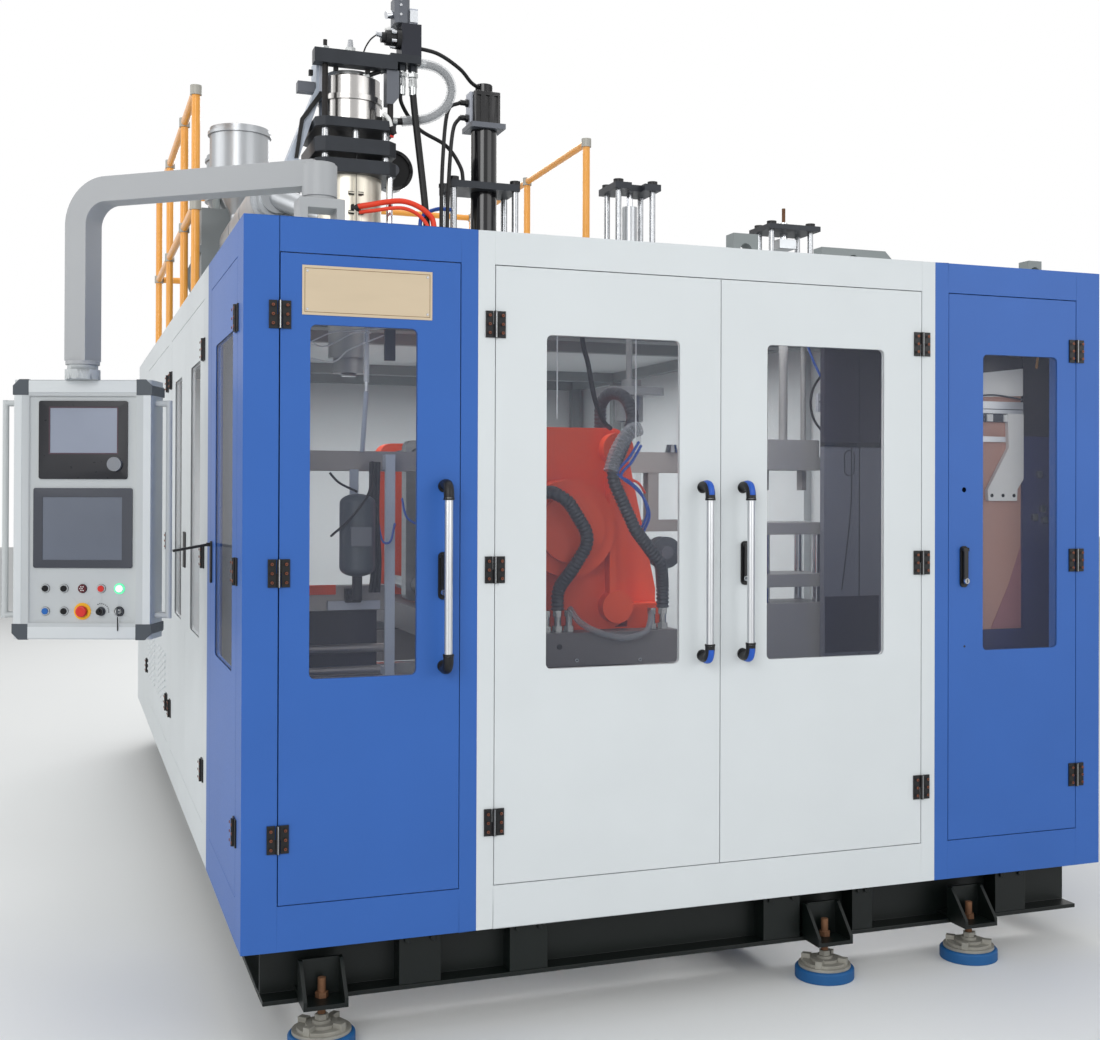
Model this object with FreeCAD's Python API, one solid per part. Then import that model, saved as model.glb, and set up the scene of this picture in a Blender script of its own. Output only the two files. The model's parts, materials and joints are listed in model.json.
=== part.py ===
import FreeCAD, Part
import math
import os

# Blow moulding machine with a closed enclosure, a roof-mounted die head and extruder,
# three roof stations, a shuttling mould clamp and a control panel on a swing arm.
# Working frame: x runs right along the front face from the left wall, y runs back from
# the front face, z runs up from the floor. On saving, every piece is moved so that the
# origin is the underside centre of the front left levelling pad.

V = FreeCAD.Vector
UP = V(0, 0, 1)
ALONG_X = V(1, 0, 0)
ALONG_Y = V(0, 1, 0)
ORIGIN = V(0, 0, 0)
FULL_TURN = 360.0
QUARTER = 90.0
HALF = 0.5
CLOSE = 0.001
HEX_SIDES = 6
HOSE_SHARE = 0.5
SHORTEST = 0.05
os.makedirs("parts", exist_ok=True)

# Enclosure
ENC_W = 3080.0
ENC_D = 5500.0
FLOOR_GAP = 290.0
PANEL_H = 2160.0
WALL_TOP = FLOOR_GAP + PANEL_H
SHEET = 2.0
RETURN = 40.0
STILE_W = 57.0
SIDE_STILE_W = 118.0
DOOR_GAP = 3.0
DOOR_Z0 = 426.0
DOOR_Z1 = 2343.0
OPEN_Z0 = DOOR_Z0 - DOOR_GAP
OPEN_Z1 = DOOR_Z1 + DOOR_GAP
LEAF_T = 30.0
LEAF_LIP = 18.0

# Windows
WINDOW_Z0 = 1085.0
WINDOW_Z1 = 2135.0
WINDOW_R = 18.0
PANE_T = 5.0
PANE_LAP = 15.0
BEAD_T = 2.0
BEAD_D = 10.0

# Front doors and their windows
DOOR_A_X0 = 107.0
DOOR_A_W = 546.0
DOOR_A_X1 = DOOR_A_X0 + DOOR_A_W
CORNER_W = DOOR_A_X1 + STILE_W
DOOR_B_X0 = CORNER_W + STILE_W
MOULD_SPLIT = ENC_W * HALF
DOOR_C_X1 = ENC_W - DOOR_B_X0
DOOR_D_X0 = ENC_W - DOOR_A_X1
DOOR_D_X1 = ENC_W - DOOR_A_X0
WINDOW_A_HINGE_SIDE = 88.0
WINDOW_A_LOCK_SIDE = 134.0
WINDOW_A_X0 = DOOR_A_X0 + WINDOW_A_HINGE_SIDE
WINDOW_A_X1 = DOOR_A_X1 - WINDOW_A_LOCK_SIDE
WINDOW_B_HINGE_SIDE = 167.0
WINDOW_B_LOCK_SIDE = 148.0
WINDOW_B_X0 = DOOR_B_X0 + WINDOW_B_HINGE_SIDE
WINDOW_B_X1 = MOULD_SPLIT - WINDOW_B_LOCK_SIDE
WINDOW_C_LOCK_SIDE = 171.0
WINDOW_C_HINGE_SIDE = 150.0
WINDOW_C_X0 = MOULD_SPLIT + WINDOW_C_LOCK_SIDE
WINDOW_C_X1 = DOOR_C_X1 - WINDOW_C_HINGE_SIDE
WINDOW_D_LOCK_SIDE = 143.0
WINDOW_D_HINGE_SIDE = 83.0
WINDOW_D_X0 = DOOR_D_X0 + WINDOW_D_LOCK_SIDE
WINDOW_D_X1 = DOOR_D_X1 - WINDOW_D_HINGE_SIDE

# Side doors on the left wall, distances back from the front face
SIDE_A_Y0 = 141.0
SIDE_A_Y1 = 892.0
SIDE_A_FRONT_SIDE = 109.0
SIDE_A_REAR_SIDE = 147.0
SIDE_A_WIN0 = SIDE_A_Y0 + SIDE_A_FRONT_SIDE
SIDE_A_WIN1 = SIDE_A_Y1 - SIDE_A_REAR_SIDE
SIDE_BLUE = SIDE_A_Y1 + SIDE_STILE_W
SIDE_B_Y0 = 1150.0
SIDE_SPLIT_B = 1950.0
SIDE_B_Y1 = 2711.0
SIDE_B_FRONT_SIDE = 150.0
SIDE_B_LOCK_SIDE = 250.0
SIDE_B_LOCK_SIDE_REAR = 180.0
SIDE_B_REAR_SIDE = 211.0
SIDE_B_WIN0 = SIDE_B_Y0 + SIDE_B_FRONT_SIDE
SIDE_B_WIN1 = SIDE_SPLIT_B - SIDE_B_LOCK_SIDE
SIDE_B_WIN2 = SIDE_SPLIT_B + SIDE_B_LOCK_SIDE_REAR
SIDE_B_WIN3 = SIDE_B_Y1 - SIDE_B_REAR_SIDE
SIDE_C_Y0 = 2930.0
SIDE_SPLIT_C = 3696.5
SIDE_C_Y1 = 4465.0

# Hinges
HINGE_W = 32.0
HINGE_H = 83.0
HINGE_T = 5.0
HINGE_AXIS = 7.0
HINGE_R = 6.5
HINGE_CLEAR = 8.5
PIN_R = 3.2
PIN_FIT = 0.3
PIN_SHORT = 4.0
HINGE_Z_TOP = 2160.0
HINGE_Z_MID = 1400.0
HINGE_Z_LOW = 620.0
HINGE_LEVELS = [HINGE_Z_TOP, HINGE_Z_MID, HINGE_Z_LOW]

# Handles, locks and nameplate
HANDLE_Z0 = 1083.0
HANDLE_Z1 = 1684.0
HANDLE_OFF = 60.0
HANDLE_R = 15.0
HANDLE_END = 60.0
HANDLE_END_R = 17.0
HANDLE_NECK_R = 11.0
HANDLE_FOOT_R = 19.0
HANDLE_FOOT = 5.0
HANDLE_A_IN = 50.0
HANDLE_B_IN = 66.0
HANDLE_C_IN = 81.0
HANDLE_A_X = DOOR_A_X1 - HANDLE_A_IN
HANDLE_B_X = MOULD_SPLIT - HANDLE_B_IN
HANDLE_C_X = MOULD_SPLIT + HANDLE_C_IN
LOCK_W = 31.0
LOCK_H = 145.0
LOCK_T = 7.0
LOCK_EDGE = 14.0
LEVER_W = 17.0
LEVER_T = 9.0
LEVER_GAP = 2.5
LEVER_PIVOT_DOWN = 5.0
LEVER_PIVOT_R = 4.0
LEVER_PIN_R = 2.4
EAR_GAP = 0.5
EAR_T = 3.5
EAR_H = 6.0
LEVER_END = 14.0
LOCK_A_IN = 52.5
LOCK_C_IN = 89.0
LOCK_D_IN = 61.0
SIDE_LOCK_IN = 42.0
KEYHOLE_IN = 64.0
LOCK_A_X = DOOR_A_X1 - LOCK_A_IN
LOCK_A_Z = 1384.5
LOCK_C_X = MOULD_SPLIT + LOCK_C_IN
LOCK_C_Z = 1409.0
LOCK_D_X = DOOR_D_X0 + LOCK_D_IN
LOCK_D_Z = 1383.5
SIDE_LOCK_Y = SIDE_A_Y1 - SIDE_LOCK_IN
SIDE_LOCK_Z = 1395.0
KEYHOLE_X = DOOR_D_X0 + KEYHOLE_IN
KEYHOLE_Z = 1654.0
KEYHOLE_R = 9.0
PLATE_LEFT_IN = 63.0
PLATE_RIGHT_IN = 89.0
PLATE_X0 = DOOR_A_X0 + PLATE_LEFT_IN
PLATE_X1 = DOOR_A_X1 - PLATE_RIGHT_IN
PLATE_Z0 = 2163.0
PLATE_Z1 = 2310.0
PLATE_T = 2.0
SLOT_LOCK_Z0 = 1320.0
SLOT_LOCK_Z1 = 1470.0
SLOT_LOCK_W = 34.0
SLOT_LOCK_IN = 28.0
SLOT_LOCK_T = 6.0
LIFT_W = 106.0
LIFT_IN = 36.5
LIFT_Y1 = SIDE_SPLIT_C - LIFT_IN
LIFT_Y0 = LIFT_Y1 - LIFT_W
LIFT_Z0 = 1324.0
LIFT_Z1 = 1467.0
LIFT_T = 8.0

# Louvres on the rear side doors
LOUVRE_W = 118.0
LOUVRE_PITCH_X = 148.0
LOUVRE_PITCH_Z = 31.0
LOUVRE_H = 16.0
LOUVRE_OUT = 9.0
LOUVRE_LOW_Z0 = 581.0
LOUVRE_LOW_ROWS = 9
LOUVRE_LOW_COLS = 4
LOUVRE_HIGH_Z0 = 1930.0
LOUVRE_HIGH_ROWS = 5
LOUVRE_HIGH_COLS = 2
LOUVRE_MARGIN = 95.0

# Base frame of I beams
BEAM_Z0 = 120.0
BEAM_H = 300.0
BEAM_Z1 = BEAM_Z0 + BEAM_H
BEAM_W = 150.0
FLANGE_T = 14.0
WEB_T = 10.0
BEAM_Y = 45.0
BEAM_X = 70.0
CROSS_Y_A = 1400.0
CROSS_Y_B = 2750.0
CROSS_Y_C = 4100.0
STIFF_T = 10.0
STIFF_IN = 2.0
STIFF_A_X = 480.0
STIFF_A_W = 132.0
STIFF_B_X = 834.0
STIFF_B_W = 126.0
STIFF_C_X = 1727.0
STIFF_C_W = 138.0
STIFF_D_X = 2069.0
STIFF_D_W = 81.0
STIFF_E_X = 2660.0
STIFF_E_W = 130.0
BOLT_R = 11.0
BOLT_H = 9.0
BOLT_IN = 26.0

# Levelling feet
PAD_X = 240.0
PAD_Y = 20.0
MOUNT_B_X = 1945.0
MOUNT_C_IN = 553.0
MOUNT_C_X = ENC_W - MOUNT_C_IN
PAD_R = 100.0
PAD_H = 38.0
PAD_CHAMFER = 5.0
DISC_R0 = 88.0
DISC_R1 = 74.0
DISC_R2 = 48.0
DISC_R3 = 27.0
DISC_STEP = 9.0
LUG_L = 30.0
LUG_W = 22.0
LUG_H = 24.0
STUD_R = 12.0
STUD_TOP = 196.0
NUT_R = 20.0
NUT_H = 16.0
SHELF_Z = 125.0
SHELF_T = 13.0
SHELF_FRONT = -55.0
SHELF_W = 132.0
GUSSET_T = 11.0
GUSSET_TOP = 246.0
GUSSET_NOSE = 14.0

# Upper frame
POST = 60.0
POST_WALL = 4.0
TOP_BEAM_Z0 = 2380.0
ROOF_Z = 2440.0
ROOF_T = 3.0
DECK = ROOF_Z + ROOF_T
POST_B_X = 680.0
POST_C_X = ENC_W - POST_B_X - POST
SIDE_POST_A = 920.0
SIDE_POST_B = 2790.0
SIDE_POST_C = 4600.0
CARRIER = 120.0
CARRIER_WALL = 8.0
CARRIER_A_Y = 1250.0
CARRIER_B_Y = 1650.0
ROOF_LAP = 30.0
ROOF_SHEET_COUNT = 4
STATION_Y = 1510.0

# Swing arm
PIVOT_X = 307.0
PIVOT_Y = 506.0
ARM_ANGLE = 140.4
ARM_LENGTH = 945.0
ARM_Z = 2693.0
ARM_SIZE = 88.0
BEND_R = 120.0
COLUMN_Z0 = 2098.0
COLUMN_FLANGE_R = 58.0
COLUMN_FLANGE_H = 14.0
HEAD_R = 52.0
SLEEVE_R = 58.0
HEAD_Z0 = 2605.5
HEAD_Z1 = 2729.0
SLEEVE_Z0 = 2616.0
SLEEVE_Z1 = 2722.0
ARM_PIN_R = 20.0
ARM_PIN_TOP = 2670.0
ARM_PIN_BORE = 2674.0
SHAFT_FIT = 0.3
PEDESTAL_W = 150.0
PEDESTAL_FLANGE_Z = 2572.0
PEDESTAL_TOP = 2605.0
PEDESTAL_LEG_T = 28.0
PEDESTAL_LEG_D = 120.0
PEDESTAL_FOOT_W = 70.0
PEDESTAL_FOOT_T = 14.0

# Control panel, measured from its lower left front corner
PANEL_CORNER_X = -650.0
PANEL_CORNER_Y = 1197.0
PANEL_TURN = -21.04
PANEL_W = 491.0
PANEL_Z0 = 1115.0
PANEL_Z1 = 2033.0
PANEL_DEPTH = 140.0
PANEL_R = 16.0
RIM_X = 55.0
RIM_Z = 57.0
RECESS = 12.0
NECK_R = 60.0
NECK_GAP = 0.5
NECK_STEP_R = 52.0
NECK_STEP = 34.0
GRIP_OUT = 47.0
GRIP_R = 11.0
GRIP_DEPTH = 50.0
GRIP_Z0 = 1187.0
GRIP_Z1 = 1963.0
GRIP_ARM = 22.0
UPPER_BEZEL_X0 = 88.0
UPPER_BEZEL_X1 = 403.0
UPPER_BEZEL_Z0 = 1682.0
UPPER_BEZEL_Z1 = 1959.0
UPPER_SCREEN_X0 = 128.0
UPPER_SCREEN_X1 = 366.0
UPPER_SCREEN_Z0 = 1774.0
UPPER_SCREEN_Z1 = 1934.0
LOWER_BEZEL_X0 = 70.0
LOWER_BEZEL_X1 = 421.0
LOWER_BEZEL_Z0 = 1367.0
LOWER_BEZEL_Z1 = 1650.0
LOWER_SCREEN_X0 = 103.0
LOWER_SCREEN_X1 = 385.0
LOWER_SCREEN_Z0 = 1395.0
LOWER_SCREEN_Z1 = 1618.0
BEZEL_T = 6.0
BEZEL_R = 8.0
SCREEN_IN = 2.0
DIAL_X = 360.0
DIAL_Z = 1735.0
DIAL_R = 25.0
DIAL_H = 14.0
DIAL_STEM_R = 6.0
DIAL_STEM = 12.0
COL_A = 113.0
COL_B = 179.0
COL_C = 245.0
COL_D = 311.0
COL_E = 376.0
ROW_HIGH = 1294.0
ROW_LOW = 1213.5
BUTTON_R = 11.0
BUTTON_FIT = 0.4
BUTTON_OUT = 9.0
BUTTON_IN = 12.0
BUTTON_WELL = 18.0
COLLAR_R = 15.0
COLLAR_H = 4.0
STOP_R = 20.0
STOP_H = 13.0
STOP_GAP = 6.0
STOP_COLLAR_R = 27.0
STOP_COLLAR_H = 3.0
STOP_STEM_R = 9.0
KNOB_R = 12.0
KNOB_H = 18.0
KNOB_RIDGE = 5.0
KEY_PLUG_R = 7.0
KEY_T = 3.0
KEY_BOW_R = 12.0
KEY_L = 16.0

# Die head on the roof, axis at HEAD_X on the station plane
HEAD_X = 602.0
HEAD_PLATE_LEFT = 162.0
HEAD_PLATE_RIGHT = 163.0
HEAD_PLATE_X0 = HEAD_X - HEAD_PLATE_LEFT
HEAD_PLATE_X1 = HEAD_X + HEAD_PLATE_RIGHT
HEAD_PLATE_Y0 = 1350.0
HEAD_PLATE_Y1 = 1755.0
PLATE_LOW_Z0 = 2903.0
PLATE_LOW_Z1 = 2957.0
PLATE_MID_Z0 = 2981.0
PLATE_MID_Z1 = 3040.0
PLATE_TOP_Z0 = 3081.0
PLATE_TOP_Z1 = 3119.0
PLATE_CORNER = 34.0
SPACER_R = 15.0
SPACER_IN = 42.0
BARREL_R = 128.0
BARREL_Z0 = 2520.0
BARREL_SEAM_W = 16.0
BARREL_SEAM_OUT = 12.0
CLAMP_BOLT_R = 7.0
CLAMP_BOLT_L = 60.0
CLAMP_BOLT_COUNT = 4
HEAD_FOOT_Z1 = 2480.0
HEAD_NECK_R = 96.0
DIE_BODY_R = 82.0
DIE_BODY_Z0 = 2180.0
DIE_RING_R = 62.0
DIE_RING_Z0 = 2120.0
DIE_BORE_R = 34.0
DIE_BORE_TOP = 2300.0
MANDREL_R = 26.0
MANDREL_TOP = 2270.0
GUIDE_R = 16.0
GUIDE_TOP = 2430.0
MANDREL_STEM_TOP = 2400.0
MANDREL_TIP_R = 30.0
MANDREL_TIP_H = 22.0
MANDREL_PROUD = 12.0
COLUMN_R = 13.0
COLUMN_X = 740.0
COLUMN_Y = 1390.0
RAM_R = 124.0
RAM_Z1 = 3300.0
RAM_LINE_Z = 3205.0
RAM_LINE_R = 132.0
RAM_LINE_H = 22.0
RAM_CAP_R = 96.0
RAM_CAP_H = 14.0
CROSS_X0 = 432.0
CROSS_X1 = 763.0
CROSS_Y0 = 1350.0
CROSS_Y1 = 1410.0
CROSS_Z0 = 3328.0
CROSS_Z1 = 3384.0
CROSS_ROD_R = 12.0
CROSS_ROD_A = 478.0
CROSS_ROD_B = 740.0
STUD_A_X = 478.0
STUD_B_X = 578.0
STUD_H = 40.0
STUD_BIG_R = 16.0
VALVE_FLANGE_X0 = 735.0
VALVE_FLANGE_X1 = 860.0
VALVE_FLANGE_Z0 = 3361.0
VALVE_FLANGE_Z1 = 3394.0
VALVE_BODY_X0 = 779.0
VALVE_BODY_Z1 = 3520.0
VALVE_CAP_X0 = 752.0
VALVE_CAP_X1 = 814.0
VALVE_CAP_Z1 = 3624.0
VALVE_COIL_X0 = 701.0
VALVE_COIL_Z1 = 3490.0
VALVE_Y0 = 1352.0
VALVE_Y1 = 1448.0
VALVE_COIL_R = 30.0
VALVE_CHAMFER = 14.0
VALVE_SIDE = 34.0
VALVE_SIDE_Z1 = 3585.0
VALVE_FIT_A_X = 790.0
VALVE_FIT_B_X = 836.0
VALVE_FIT_BACK = 20.0
SERVO_INSET = 1.6
SERVO_RIM = 11.0
SERVO_STEP = 18.0
SERVO_NOSE = 0.7
SERVO_BOLT_R = 6.0
SERVO_BOLT_COUNT = 6
STUD_NUT = 14.0
WHEEL_X = 806.0
WHEEL_Y = 1800.0
WHEEL_Z = 3030.0
WHEEL_R = 66.0
WHEEL_W = 26.0
WHEEL_HUB_R = 20.0
WHEEL_HUB = 12.0
WHEEL_ARM = 70.0
DUCT_X0 = 454.0
DUCT_X1 = 482.0
DUCT_Z1 = 3364.0
DUCT_Z0 = 3250.0
DUCT_LOW_X0 = 341.0
DUCT_LOW_X1 = 385.0
DUCT_LOW_Z = 2957.0
DUCT_Y0 = 1440.0
DUCT_Y1 = 1560.0

# Extruder and hoppers
EXT_X = 370.0
EXT_Z = 2895.0
EXT_R = 92.0
EXT_COVER_R = 110.0
EXT_Y0 = 1900.0
EXT_Y1 = 3150.0
EXT_THROAT = 3350.0
COVER_GAP = 24.0
COVER_COUNT = 3
ADAPTER_R = 48.0
ADAPTER_FLANGE_R = 74.0
ADAPTER_FLANGE = 26.0
ADAPTER_Y = 1600.0
ADAPTER_X = 520.0
GEAR_Y1 = 3750.0
GEAR_W = 360.0
GEAR_Z0 = 2680.0
GEAR_Z1 = 3110.0
GEAR_LID = 20.0
MOTOR_R = 150.0
MOTOR_Y1 = 4420.0
MOTOR_RING_R = 168.0
MOTOR_RING = 30.0
MOTOR_BOX_W = 150.0
MOTOR_BOX_L = 190.0
MOTOR_BOX_H = 70.0
STAND_W = 70.0
STAND_A_Y = 2080.0
STAND_B_Y = 2950.0
STAND_C_Y = 3470.0
STAND_D_Y = 4180.0
STAND_HALF = 120.0
STAND_RAIL = 60.0
HOPPER_A_Y = 3250.0
HOPPER_A_R = 150.0
HOPPER_A_Z0 = 3270.0
HOPPER_A_Z1 = 3480.0
HOPPER_A_CONE = 3060.0
HOPPER_NECK_R = 46.0
HOPPER_RIM = 10.0
HOPPER_RIM_H = 16.0
HOPPER_LID_H = 22.0
HOPPER_WALL = 3.0
HOPPER_B_X = 512.0
HOPPER_B_Y = 4620.0
HOPPER_B_R = 176.0
HOPPER_B_Z0 = 3400.0
HOPPER_B_Z1 = 3650.0
HOPPER_B_CONE = 3160.0
HOPPER_LEG = 22.0
HOPPER_LEG_AT = 132.0
BLOWER_X = 240.0
BLOWER_Y = 2560.0
BLOWER_Z = 2640.0
BLOWER_R = 110.0
BLOWER_W = 90.0

# Guard rails
RAIL_R = 20.0
RAIL_TOP = 3560.0
RAIL_MID = 3010.0
RAIL_LEFT_X = 110.0
RAIL_RIGHT_X = 2210.0
RAIL_REAR_Y = 5350.0
RAIL_LEFT_A = 2790.0
RAIL_LEFT_B = 3430.0
RAIL_LEFT_C = 4430.0
RAIL_RIGHT_A = 3066.0
RAIL_RIGHT_B = 4109.0
RAIL_REAR_X = 1160.0
RAIL_FOOT_R = 48.0
RAIL_FOOT_H = 12.0
RAIL_FIT = 27.0
RAIL_FIT_L = 46.0

# Blow station with its motor
BLOW_X = 1168.0
BLOW_PLATE_LEFT = 166.0
BLOW_PLATE_RIGHT = 129.0
BLOW_POST_IN = 15.0
BLOW_PLATE_X0 = BLOW_X - BLOW_PLATE_LEFT
BLOW_PLATE_X1 = BLOW_X + BLOW_PLATE_RIGHT
BLOW_PLATE_Z0 = 2893.0
BLOW_PLATE_Z1 = 2922.0
STATION_Y0 = 1410.0
STATION_Y1 = 1610.0
BLOW_POST_A = BLOW_PLATE_X0 + BLOW_POST_IN
BLOW_POST_B = BLOW_PLATE_X1 - BLOW_POST_IN
POST_FRONT_Y = 1432.0
POST_REAR_Y = 1588.0
BLOW_POST_R = 14.0
BLOW_TUBE_R = 55.0
BLOW_TUBE_Z1 = 3155.0
BLOW_FLANGE_Z1 = 3177.0
BLOW_FLANGE_HALF = 74.0
BLOW_MOTOR_Z1 = 3310.0
BLOW_MOTOR_HALF = 57.0
BLOW_MOTOR_R = 9.0
GROOVE_W = 16.0
GROOVE_IN = 9.0
GROOVE_PITCH = 36.0
GROOVE_TOP = 16.0
BLOW_CAP_Z1 = 3350.0
BLOW_CAP_R = 33.0
CAP_RIDGE_COUNT = 16
SIDE_COUNT = 4
CAP_RIDGE_W = 5.0
CAP_RIDGE_OUT = 3.0
SIDE_PLATE_T = 12.0
SIDE_PLATE_W = 64.0
PLUG_R = 12.0
PLUG_L = 34.0
PLUG_LOW_Z = 3205.0
PLUG_HIGH_Z = 3268.0
PIN_ROOM = 12.0
GUIDE_PLATE_T = 30.0
GUIDE_PLATE_Z = 2440.0
NUT_CAP_R = 22.0
NUT_CAP_H = 16.0
PIN_HEAD_Z0 = 2150.0
PIN_HEAD_Z1 = 2190.0
PIN_HEAD_W = 190.0
PIN_ROD_R = 28.0
PIN_TOP = 2860.0
PIN_STEM_R = 17.0
PIN_STEM_Z = 2010.0
PIN_TIP_R = 12.0
PIN_TIP = 26.0

# Trimming station
TRIM_X = 1831.0
TRIM_PLATE_HALF = 106.5
TRIM_PLATE_X0 = TRIM_X - TRIM_PLATE_HALF
TRIM_PLATE_X1 = TRIM_X + TRIM_PLATE_HALF
TRIM_PLATE_Z0 = 2945.0
TRIM_PLATE_Z1 = 2973.0
TRIM_POST_IN = 27.0
TRIM_POST_R = 13.0
TRIM_CYL_R = 33.0
TRIM_CYL_Z1 = 2885.0
TRIM_FRONT_Y = 1443.0
TRIM_REAR_Y = 1577.0
TRIM_WAIST = 60.0
TRIM_WAIST_D = 42.0
TRIM_ROD_R = 14.0
TRIM_HEAD_W = 260.0
TRIM_HEAD_D = 220.0
TRIM_HEAD_Z0 = 2060.0
TRIM_HEAD_T = 36.0
TRIM_CUTTER_R = 62.0
TRIM_CUTTER_H = 110.0
TRIM_CUTTER_WALL = 8.0

# Take-out station
TAKE_IN = 491.0
TAKE_X = ENC_W - TAKE_IN
TAKE_PLATE_LEFT = 124.0
TAKE_PLATE_RIGHT = 135.0
TAKE_PLATE_X0 = TAKE_X - TAKE_PLATE_LEFT
TAKE_PLATE_X1 = TAKE_X + TAKE_PLATE_RIGHT
TAKE_PLATE_Z0 = 2823.0
TAKE_PLATE_Z1 = 2846.0
TAKE_POST_IN = 31.0
TAKE_FRONT_Y = 1450.0
TAKE_REAR_Y = 1570.0
TAKE_POST_R = 13.0
SCREW_R = 8.0
SCREW_Z1 = 2936.0
SLEEVE_ROD_R = 18.0
SLEEVE_ROD_Z1 = 2870.0
TAKE_BASE_Z0 = 2748.0
TAKE_BASE_Z1 = 2790.0
TAKE_HEAD_Z0 = 1743.0
TAKE_HEAD_W = 300.0
TAKE_HEAD_D = 180.0
FINGER_W = 24.0
FINGER_H = 90.0
FINGER_AT = 96.0
TAKE_STEM_R = 20.0

# Discharge tables under the take-out station
TABLE_HALF = 170.0
TABLE_X0 = TAKE_X - TABLE_HALF
TABLE_X1 = TAKE_X + TABLE_HALF
TABLE_Y0 = 1390.0
TABLE_Y1 = 1640.0
TABLE_TOP_Z0 = 1455.0
TABLE_TOP_Z1 = 1509.0
TABLE_LOW_Z0 = 1221.0
TABLE_LOW_Z1 = 1279.0
TABLE_BASE_Z1 = 1150.0
TABLE_POST_R = 20.0
TABLE_POST_IN = 40.0

# Roof fittings near the front edge
LUG_A_X0 = 1719.0
LUG_A_X1 = 1817.0
LUG_A_Z1 = 2556.0
LUG_B_X0 = 2072.0
LUG_B_X1 = 2338.0
LUG_B_X2 = 2425.0
LUG_B_Z1 = 2529.0
LUG_C_IN = 45.0
LUG_C_W = 60.0
LUG_C_X1 = ENC_W - LUG_C_IN
LUG_C_X0 = LUG_C_X1 - LUG_C_W
LUG_C_Z1 = 2534.0
LUG_Y0 = 270.0
LUG_Y1 = 330.0
LUG_EYE_R = 22.0

# Mould clamp
CLAMP_X = BLOW_X
CLAMP_Z = 1515.0
CROSSHEAD_W = 490.0
CROSSHEAD_Z0 = 1160.0
CROSSHEAD_Z1 = 1870.0
CROSSHEAD_Y0 = 500.0
CROSSHEAD_Y1 = 620.0
CROSSHEAD_R = 60.0
RIB_T = 26.0
RIB_OUT = 46.0
BOSS_R = 170.0
BOSS_OUT = 70.0
BOSS_CAP_R = 120.0
BOSS_CAP = 30.0
TIE_R = 38.0
TIE_X = 190.0
TIE_Z = 280.0
TIE_NUT_R = 58.0
TIE_NUT = 50.0
PLATEN_T = 80.0
PLATEN_W = 500.0
PLATEN_H = 700.0
MOULD_W = 300.0
MOULD_H = 400.0
MOULD_T = 150.0
MOULD_TOP = 1740.0
DAYLIGHT_HALF = 180.0
MOULD_MEET = 0.5
RAM_ROD_R = 45.0
RAM_FIT = 0.5
TIE_FIT = 0.5
BOTTLE_R = 62.0
BOTTLE_NECK_R = 18.0
BOTTLE_H = 250.0
BOTTLE_SHOULDER = 60.0
BOTTLE_NECK = 40.0
GUSSET_X1 = 1563.0
GUSSET_Z0 = 1289.0
GUSSET_Z1 = 1752.0
CLAMP_FOOT_Z0 = 1240.0
CLAMP_BASE_Z0 = 1040.0
CLAMP_BASE_Z1 = 1154.0
CLAMP_BASE_X0 = 903.0
CLAMP_BASE_X1 = 1571.0
CLAMP_BASE_Y0 = 400.0
CLAMP_BASE_Y1 = 2620.0
CLAMP_BEAM = 240.0
SLIDE_GAP = 0.5

# Machine bed with the two shuttle rails
BED_X0 = 110.0
BED_X1 = 1810.0
BED_Y0 = 640.0
BED_Y1 = 2380.0
BED_BEAM = 140.0
BED_Z1 = 1000.0
BED_LEG = 110.0
RAIL_W = 60.0
LEFT_BEAM_Z0 = 1707.0
LEFT_BEAM_Z1 = 1771.0
LEFT_BEAM_Y0 = 325.0
LEFT_BEAM_Y1 = 385.0
LEFT_BEAM_X1 = 680.0
BLOCK_X1 = 508.0
BLOCK_Z0 = 1259.0
BLOCK_Z1 = 1338.0
LEFT_ROD_HIGH = 1133.0
LEFT_ROD_LOW = 1062.0
LEFT_ROD_R = 14.0

# Patterns, supports and fixtures
LUG_COUNT = 4
LUG_START_ANGLE = 45.0
WALL_SHEET_COUNT = 4
REAR_SHEET_COUNT = 3
LEVER_REST_ANGLE = 80.0
STAND_NOTCH = 0.8
ENC_SPAN_Y = STATION_Y + STATION_Y
TAKE_HEAD_MID = 1803.0
TAKE_HEAD_Z1 = 1880.0
TAKE_STEM_TOP = 2730.0
TAKE_ROD_TOP = 2700.0
INNER_BEAM_X = 1685.0
FIXTURE_POST_X = 110.0
FIXTURE_W = 60.0

# Hoses: waypoints on the roof and on the clamp
VALVE_HOSE_R = 14.0
CABLE_R = 8.0
RED_HOSE_R = 11.0
HOSE_BEND = 70.0
FITTING_R = 20.0
FITTING_SHARE = 0.85
FITTING_STEM_R = 13.0
FITTING_NUT = 22.0
FITTING_H = 76.0
VALVE_HOSE_Z = VALVE_FLANGE_Z0 - FITTING_H
PLUG_END_X = BLOW_X - BLOW_MOTOR_HALF - SIDE_PLATE_T - PLUG_L
LOOP_START = V(VALVE_FLANGE_X1, 1400.0, 3378.0)
LOOP_A = V(1003.0, 1415.0, 3321.0)
LOOP_B = V(967.0, 1440.0, 3222.0)
LOOP_C = V(822.0, 1440.0, 3150.0)
LOOP_END = V(690.0, 1440.0, 3142.0)
DROP_START = V(VALVE_FIT_B_X, 1400.0, VALVE_HOSE_Z)
DROP_A = V(842.0, 1395.0, 3190.0)
DROP_B = V(885.0, 1360.0, 2729.0)
DROP_END = V(885.0, 1335.0, ROOF_Z)
BLACK_START = V(VALVE_FIT_A_X, 1400.0, VALVE_HOSE_Z)
BLACK_A = V(800.0, 1440.0, 3215.0)
BLACK_B = V(884.0, 1485.0, 3130.0)
BLACK_C = V(998.0, 1485.0, 3080.0)
BLACK_D = V(1062.0, 1470.0, 2985.0)
BLACK_END = V(1063.0, 1450.0, BLOW_PLATE_Z1)
MOTOR_LEAD_START = V(VALVE_FLANGE_X1, 1400.0, 3440.0)
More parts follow.
